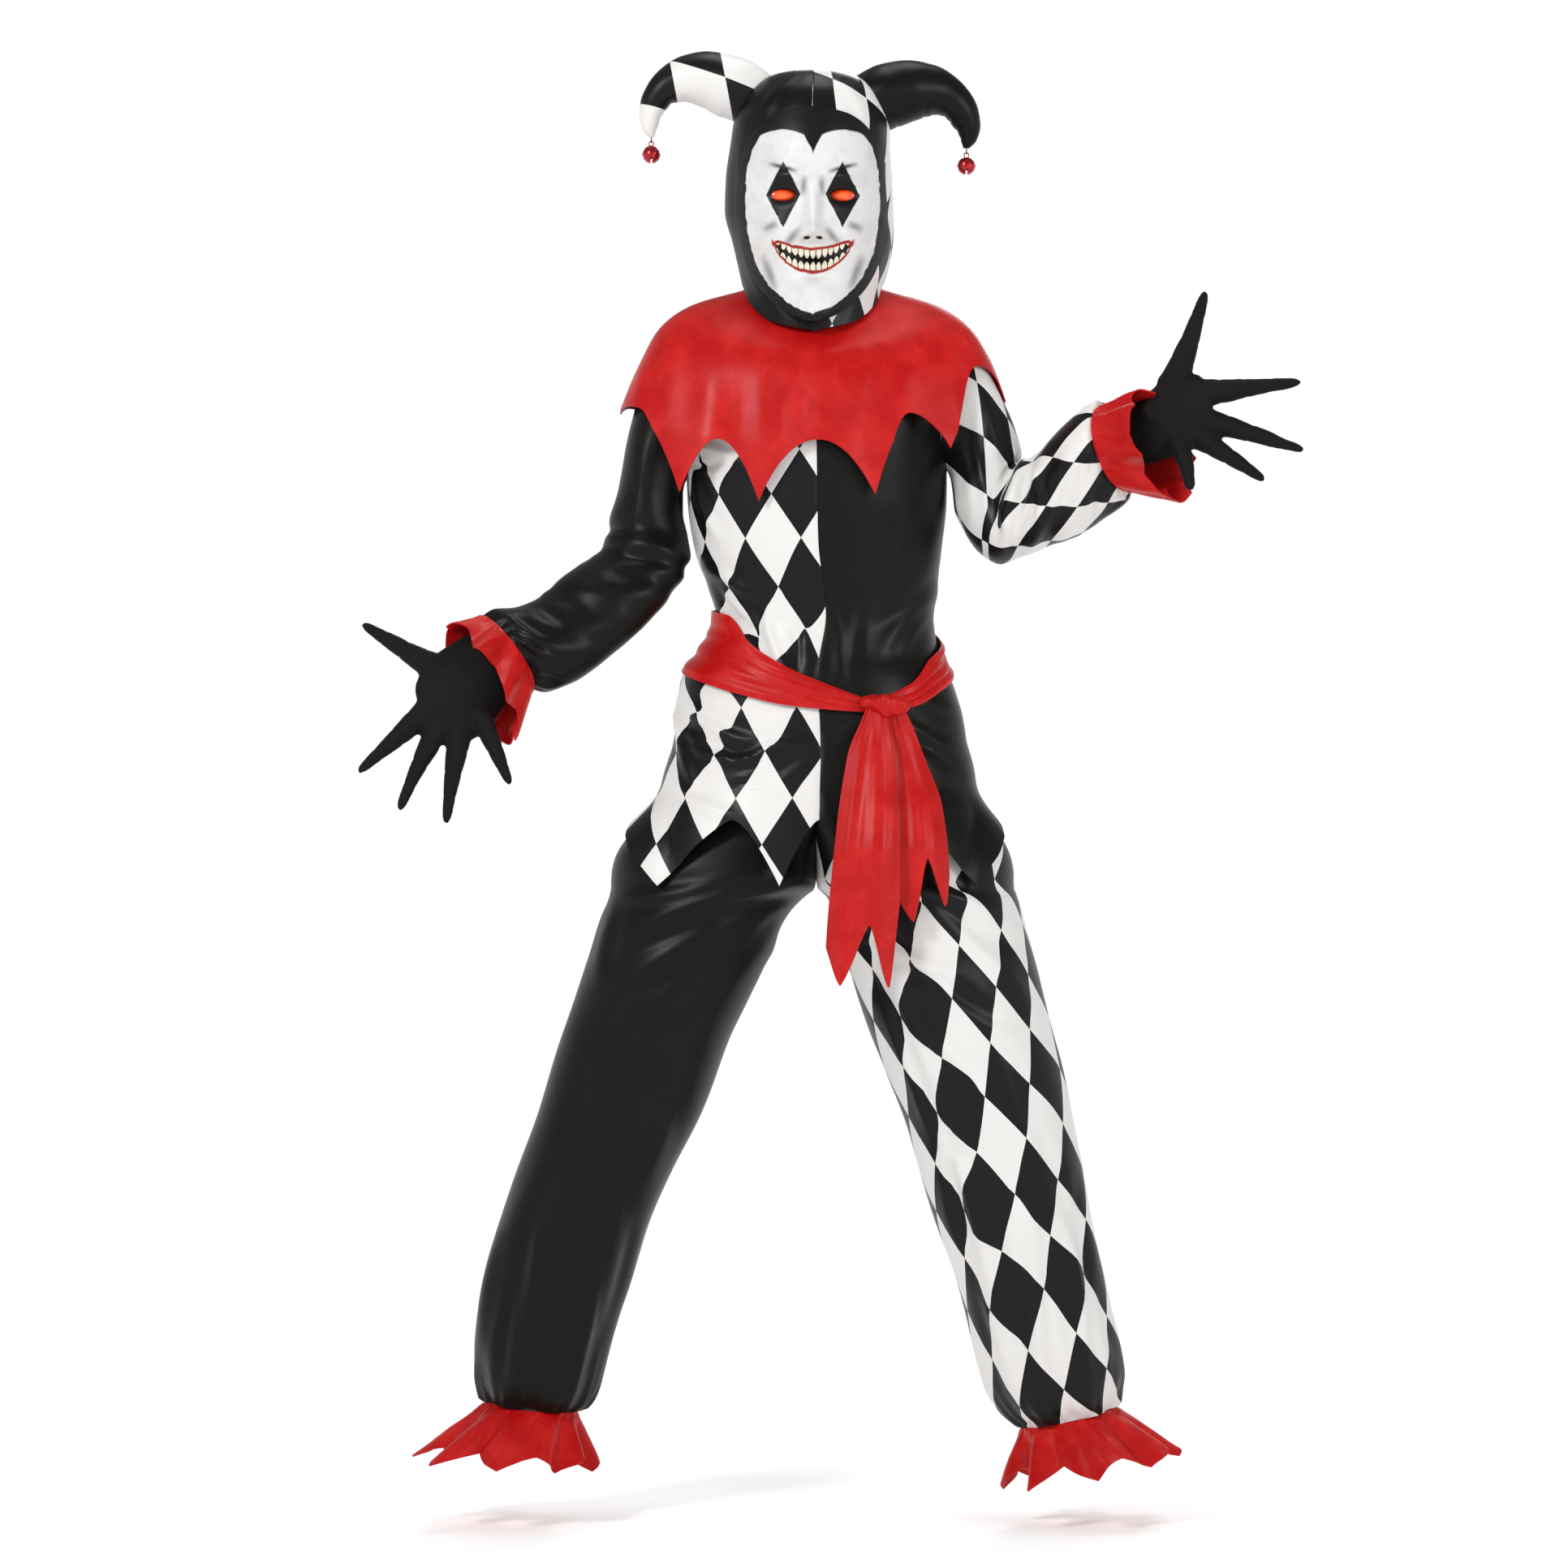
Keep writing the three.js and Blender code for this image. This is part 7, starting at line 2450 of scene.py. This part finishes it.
@dataclass
class Gloves:
    """The two knit gloves, each a hollow hand that is open at the cuff."""

    knit: float = 1.6
    finger_depth: float = 15
    past: float = 6
    voxel: float = 2.5
    flat: tuple[float, float] = (0.27, 0.25)

    def __post_init__(self) -> None:
        """Fills in the palms and the fingers."""
        self.palms = {
            Side.LEFT: [
                [-362, -92, -388, -20, 28, 30], [-384, -104, -405, -24, 32, 30],
                [-408, -118, -428, -31, 39, 26], [-432, -130, -452, -36, 40, 21],
                [-452, -138, -476, -32, 34, 17], [-461, -142, -488, -18, 18, 9],
            ],
            Side.RIGHT: [
                [344, -145, -156, -4, 31, 26], [372, -160, -149, -5, 33, 26],
                [402, -175, -134, -6, 41, 24], [432, -186, -118, -4, 48, 21],
                [456, -194, -115, 0, 44, 17], [468, -198, -116, 0, 26, 9],
            ],
        }
        self.fingers = {
            Side.LEFT: [
                [-446, -130, -430, -500, -138, -398, -547, -148, -368, 21, 4.6],
                [-456, -136, -462, -505, -150, -504, -551, -158, -547, 20, 4.6],
                [-448, -138, -480, -480, -154, -535, -501, -164, -592, 18, 4.6],
                [-428, -138, -486, -438, -154, -548, -445, -164, -608, 18, 4.6],
                [-406, -134, -476, -386, -150, -520, -368, -158, -562, 16, 4.6],
            ],
            Side.RIGHT: [
                [426, -182, -86, 448, -190, -30, 465, -196, 28, 20, 4.6],
                [446, -190, -96, 512, -202, -88, 578, -206, -81, 20, 4.6],
                [452, -194, -122, 518, -208, -142, 581, -212, -163, 18, 4.6],
                [446, -192, -140, 494, -208, -170, 534, -214, -199, 17, 4.6],
                [428, -188, -144, 444, -218, -180, 444, -232, -211, 16, 5],
            ],
        }

    def finger(self, name: str, row: list[float]) -> Object:
        """A tapering tube with a round tip.

        Args:
            name: Its name.
            row: Its base, bend and tip and the two radii.

        Returns:
            The closed tube.
        """
        base, bend, tip = (np.array(row[i : i + 3], dtype=float) for i in (0, 3, 6))
        place = np.array([*np.arange(0, 0.75, 0.1), 0.78, 0.85, 0.9, 0.94, 0.97, 0.99, 1])[:, None]
        path = (1 - place) ** 2 * base + 2 * place * (1 - place) * bend + place**2 * tip
        along = unit(2 * (1 - place) * (bend - base) + 2 * place * (tip - bend))
        sideways = unit(np.cross([0, 1, 0], along))
        deep = np.cross(along, sideways)
        radius = mix(row[9], row[10] + 0.6, place**0.8)
        radius = radius * np.sqrt(np.clip(1 - ((place - 0.9) / 0.1).clip(0, 1) ** 2 * 0.85, 0, 1))
        turn = even_turns(28)
        flat = np.minimum(radius, self.finger_depth)
        ring = path[:, None] + sideways[:, None] * (radius * np.cos(turn))[..., None]
        return filled(name, ring + deep[:, None] * (flat * np.sin(turn))[..., None])

    def build(self, finishes: Finishes) -> None:
        """Makes both gloves.

        Args:
            finishes: Materials by slot.
        """
        for side in Side:
            palm = np.array(self.palms[side], dtype=float)
            cuff = unit(palm[0, :3] - palm[1, :3])
            rows = [[i, *row] for i, row in enumerate(palm.tolist())]
            table = Table("place x y z acrossX acrossZ depth", rows)
            place, turn = lattice(np.linspace(0, 5, 30), even_turns(44))
            row = table.at(place)
            ring = points(
                row.x + row.acrossX * np.cos(turn),
                row.y + row.depth * np.sin(turn),
                row.z + row.acrossZ * np.cos(turn),
            )
            ring = np.concatenate([ring[:1] + cuff * self.past, ring])
            glove = filled(f"glove_{side.word}_cloth", ring)
            for i, finger in enumerate(self.fingers[side]):
                cut(glove, self.finger(f"finger_{i}", finger), join=True)
            apply_modifier(glove, "REMESH", mode="VOXEL", voxel_size=self.voxel * MM, use_smooth_shade=True)
            apply_modifier(glove, "SMOOTH", factor=0.6, iterations=4)
            self.wrinkle(glove, side, palm, cuff)
            self.open_cuff(glove, palm[0, :3] * MM, cuff)
            apply_modifier(glove, "SOLIDIFY", thickness=self.knit * MM, offset=-1)
            Piece(glove, "glove_knit", f"glove_{side.word}").finish(finishes)

    def wrinkle(self, glove: Object, side: Side, palm: Array, cuff: Array) -> None:
        """Presses wrinkles into a glove: round the wrist, over the palm and at the finger joints.

        Args:
            glove: The closed hand.
            side: Which hand.
            palm: Rows of the palm.
            cuff: Direction out of the cuff.
        """
        mesh = glove.data
        places = np.empty(len(mesh.vertices) * 3)
        mesh.vertices.foreach_get("co", places)
        places = places.reshape(-1, 3) / MM
        normals = np.empty(len(mesh.vertices) * 3)
        mesh.vertex_normals.foreach_get("vector", normals)
        normals = normals.reshape(-1, 3)
        x, y, z = places.T
        height = 0.5 * swell(x, y, z, 30, 101 + side.value) + 0.1 * swell(x, y, z, 14, 103 + side.value)
        along = (places - palm[0, :3]) @ -cuff
        wave = 0.4 * swell(x, y, z, 30, 105)
        for at, depth, width in ((14, 1.2, 3.2), (24, 0.9, 2.6), (33, 1.1, 3), (46, 0.8, 3)):
            height -= depth * np.exp(-(((along - at + 5 * wave) / width) ** 2))
        for row in self.fingers[side]:
            base, bend, tip = (np.array(row[i : i + 3], dtype=float) for i in (0, 3, 6))
            for share, depth in ((0.28, 0.7), (0.5, 0.7), (0.74, 0.4)):
                at = (1 - share) ** 2 * base + 2 * share * (1 - share) * bend + share**2 * tip
                run = unit(2 * (1 - share) * (bend - base) + 2 * share * (tip - bend))
                off = places - at
                near = np.exp(-((np.linalg.norm(off, axis=1) / 20) ** 4))
                height -= depth * near * np.exp(-(((off @ run + 2 * wave) / 2.6) ** 2))
        places = places + normals * np.clip(height, -2, 1)[:, None]
        mesh.vertices.foreach_set("co", (places * MM).ravel())

    def open_cuff(self, glove: Object, at: Array, cuff: Array) -> None:
        """Takes away what lies past the cuff.

        Args:
            glove: The closed hand.
            at: Centre of the cuff in metres.
            cuff: Direction out of the cuff.
        """
        alone(glove)
        bpy.ops.object.mode_set(mode="EDIT")
        bpy.ops.mesh.select_all(action="SELECT")
        bpy.ops.mesh.bisect(plane_co=tuple(at), plane_no=tuple(cuff), clear_outer=True)
        bpy.ops.object.mode_set(mode="OBJECT")


@dataclass
class Bell:
    """A sleigh bell: a round shell with a belt, crossed slots and a ring that hangs on a thread loop."""

    side: Side
    hang: Place
    radius: float = 11
    wall: float = 1.1
    belt: float = 12
    belt_height: float = 1.8
    slot: float = 2.4
    ring: float = 2.9
    wire: float = 0.7
    loop: float = 3.2
    seat: float = 1.1

    def build(self, finishes: Finishes) -> None:
        """Makes the bell and its thread loop.

        Args:
            finishes: Materials by slot.
        """
        x, y, z = (value * MM for value in self.hang)
        ring_z = z - self.seat * MM
        centre = (x, y, ring_z - (self.radius + self.ring - self.wire) * MM)
        bell = self.ball("bell_shell", centre, self.radius)
        size = {"radius": self.belt * MM, "depth": self.belt_height * MM}
        belt = primitive("cylinder", "belt", vertices=96, location=centre, **size)
        apply_modifier(belt, "BEVEL", width=0.5 * MM, segments=3)
        cut(bell, belt, join=True)
        hollow = self.ball("bell_hollow", centre, self.radius - self.wall)
        cut(bell, self.hoop("bell_ring", (x, y, ring_z), self.ring, turned=False), join=True)
        cut(bell, hollow)
        for wide, deep in ((self.radius * 1.5, self.slot), (self.slot, self.radius * 1.5)):
            low = (x, y, centre[2] - (self.radius + 1 - 4.5) * MM)
            cut(bell, primitive("cube", "slot", size=1, location=low, scale=(wide * MM, deep * MM, 9 * MM)))
        for end_x, end_y in ((0.75, 0), (-0.75, 0), (0, 0.75), (0, -0.75)):
            at = (x + end_x * self.radius * MM, y + end_y * self.radius * MM, centre[2] - 7 * MM)
            size = {"radius": 1.9 * MM, "depth": 8 * MM}
            cut(bell, primitive("cylinder", "slot_end", vertices=32, location=at, **size))
        node, thread = f"bell_{self.side.word}", f"bell_thread_{self.side.word}"
        bell.name = node + "_shell"
        Piece(bell, "bell_metal", node, node).finish(finishes, angle=35)
        loop = self.hoop(thread + "_loop", (x, y, z + self.loop * MM), self.loop, turned=True)
        Piece(loop, "thread", thread).finish(finishes)

    def ball(self, name: str, centre: Place, radius: float) -> Object:
        """A round ball made at its place.

        Args:
            name: Its name.
            centre: Its centre in metres.
            radius: Its radius in millimetres.

        Returns:
            The ball.
        """
        return primitive("uv_sphere", name, segments=72, ring_count=40, radius=radius * MM, location=centre)

    def hoop(self, name: str, centre: Place, radius: float, turned: bool) -> Object:
        """A ring of round wire that stands upright.

        Args:
            name: Its name.
            centre: Its centre in metres.
            radius: Radius of the ring in millimetres.
            turned: Whether its hole faces along X and not along Y.

        Returns:
            The ring.
        """
        return primitive(
            "torus",
            name,
            location=centre,
            rotation=(0, math.pi / 2, 0) if turned else (math.pi / 2, 0, 0),
            major_segments=48,
            minor_segments=14,
            major_radius=radius * MM,
            minor_radius=self.wire * MM,
        )


@dataclass(frozen=True)
class Studio:
    """The camera, the pale floor and the soft lights."""

    distance: float = 6.6
    x: float = -0.039
    z: float = -0.561
    width: float = 1.932
    floor: float = -1.470
    sky: float = 1.02
    lit_from: float = 1.55
    lit_to: float = 2.6

    def build(self) -> None:
        """Makes them all."""
        scene = bpy.context.scene
        camera = bpy.data.objects.new("camera", bpy.data.cameras.new("camera"))
        scene.collection.objects.link(camera)
        camera.location = (self.x, -self.distance, self.z)
        camera.rotation_euler = (math.pi / 2, 0, 0)
        camera.data.sensor_width = 36
        camera.data.lens = 36 * self.distance / self.width
        scene.camera = camera
        bpy.ops.object.select_all(action="DESELECT")
        at = (0, 0, self.floor)
        bpy.ops.mesh.primitive_circle_add(vertices=128, radius=6, fill_type="NGON", location=at)
        ground = bpy.context.object
        ground.name = "floor"
        shader = Shader("floor_paint")
        away = shader.node("VectorMath", {0: shader.places()}, operation="LENGTH").outputs["Value"]
        reach = {0: away, 1: self.lit_from, 2: self.lit_to}
        far = shader.node("MapRange", reach, interpolation_type="SMOOTHSTEP").outputs[0]
        for socket, near, past in (("Base Color", 0.93, 0), ("Emission Color", 0.22, 1)):
            grey = shader.colour(far, (near, near, near, 1), (past, past, past, 1))
            shader.link(grey, shader.surface.inputs[socket])
        shader.set(Roughness=0.9, Specular_IOR_Level=0.0, Emission_Strength=1.0)
        ground.data.materials.append(shader.material)
        world = bpy.data.worlds.new("studio")
        world.use_nodes = True
        nodes, links = world.node_tree.nodes, world.node_tree.links
        nodes["Background"].inputs["Color"].default_value = (1, 1, 1, 1)
        way = nodes.new("ShaderNodeTexCoord")
        part = nodes.new("ShaderNodeSeparateXYZ")
        links.new(way.outputs["Generated"], part.inputs[0])
        dim = nodes.new("ShaderNodeMapRange")
        for key, value in ((1, 0.17), (2, 0.42), (3, self.sky), (4, self.sky * 0.3)):
            dim.inputs[key].default_value = value
        links.new(part.outputs["Z"], dim.inputs[0])
        links.new(dim.outputs[0], nodes["Background"].inputs["Strength"])
        scene.world = world
        scene.view_settings.view_transform = "Standard"
        lights = [
            ("key", (-2.6, -3.6, 2.0), 1.0, 130),
            ("fill", (3.1, -3.2, 0.8), 1.3, 62),
            ("top", (0.2, 0.4, 3.0), 1.6, 40),
            ("back", (0.6, 3.6, 1.4), 1.4, 60),
        ]
        for name, place, size, watts in lights:
            lamp = bpy.data.objects.new(name, bpy.data.lights.new(name, "AREA"))
            scene.collection.objects.link(lamp)
            lamp.location = place
            lamp.data.size = size
            lamp.data.energy = watts
            away = np.array(place) - np.array([0, 0, -0.55])
            lamp.rotation_euler = (
                math.atan2(math.hypot(away[0], away[1]), away[2]),
                0,
                math.atan2(away[1], away[0]) + math.pi / 2,
            )


def make_finishes() -> Finishes:
    """All finishes by name.

    Returns:
        The finished materials by name.
    """
    metal = Lacquer("bell_metal", (0.34, 0.006, 0.012, 1), (0.5, 0.03, 0.03, 1), 0.85, 0.2)
    thread = Lacquer("thread", (0.03, 0.008, 0.009, 1), (0.06, 0.02, 0.02, 1), 0, 0.7)
    return {
        "black_satin": BlackSatin().make(),
        "harlequin_satin": HarlequinSatin().make(),
        "horn_print": HornPrint().make(),
        "red_leatherette": Leatherette().make(),
        "glove_knit": GloveKnit().make(),
        "mask_shell": MaskPaint().make(),
        "lens": LensTintWithPaintedGlow().make(),
        "bell_metal": metal.make(),
        "thread": thread.make(),
    }


def main() -> None:
    """Builds the costume and its studio."""
    logging.basicConfig(level=logging.INFO)
    finishes = make_finishes()
    Studio().build()
    trousers = Trousers()
    sleeves = Sleeves()
    tunic = Tunic(trousers)
    hood = Hood()
    trousers.build(finishes)
    tunic.build(finishes, sleeves)
    core = tunic.core(0.4)
    sleeves.build(finishes, core)
    bpy.data.objects.remove(core)
    Collar(tunic).build(finishes)
    Ruffles(trousers, sleeves).build(finishes)
    Sash(tunic).build(finishes)
    hood.build(finishes)
    Horns(hood).build(finishes)
    Mask(hood).build(finishes)
    Gloves().build(finishes)
    Bell(Side.LEFT, (-202.5, 6, 229.6)).build(finishes)
    Bell(Side.RIGHT, (186, 6, 215.6)).build(finishes)


if __name__ == "__main__":
    main()
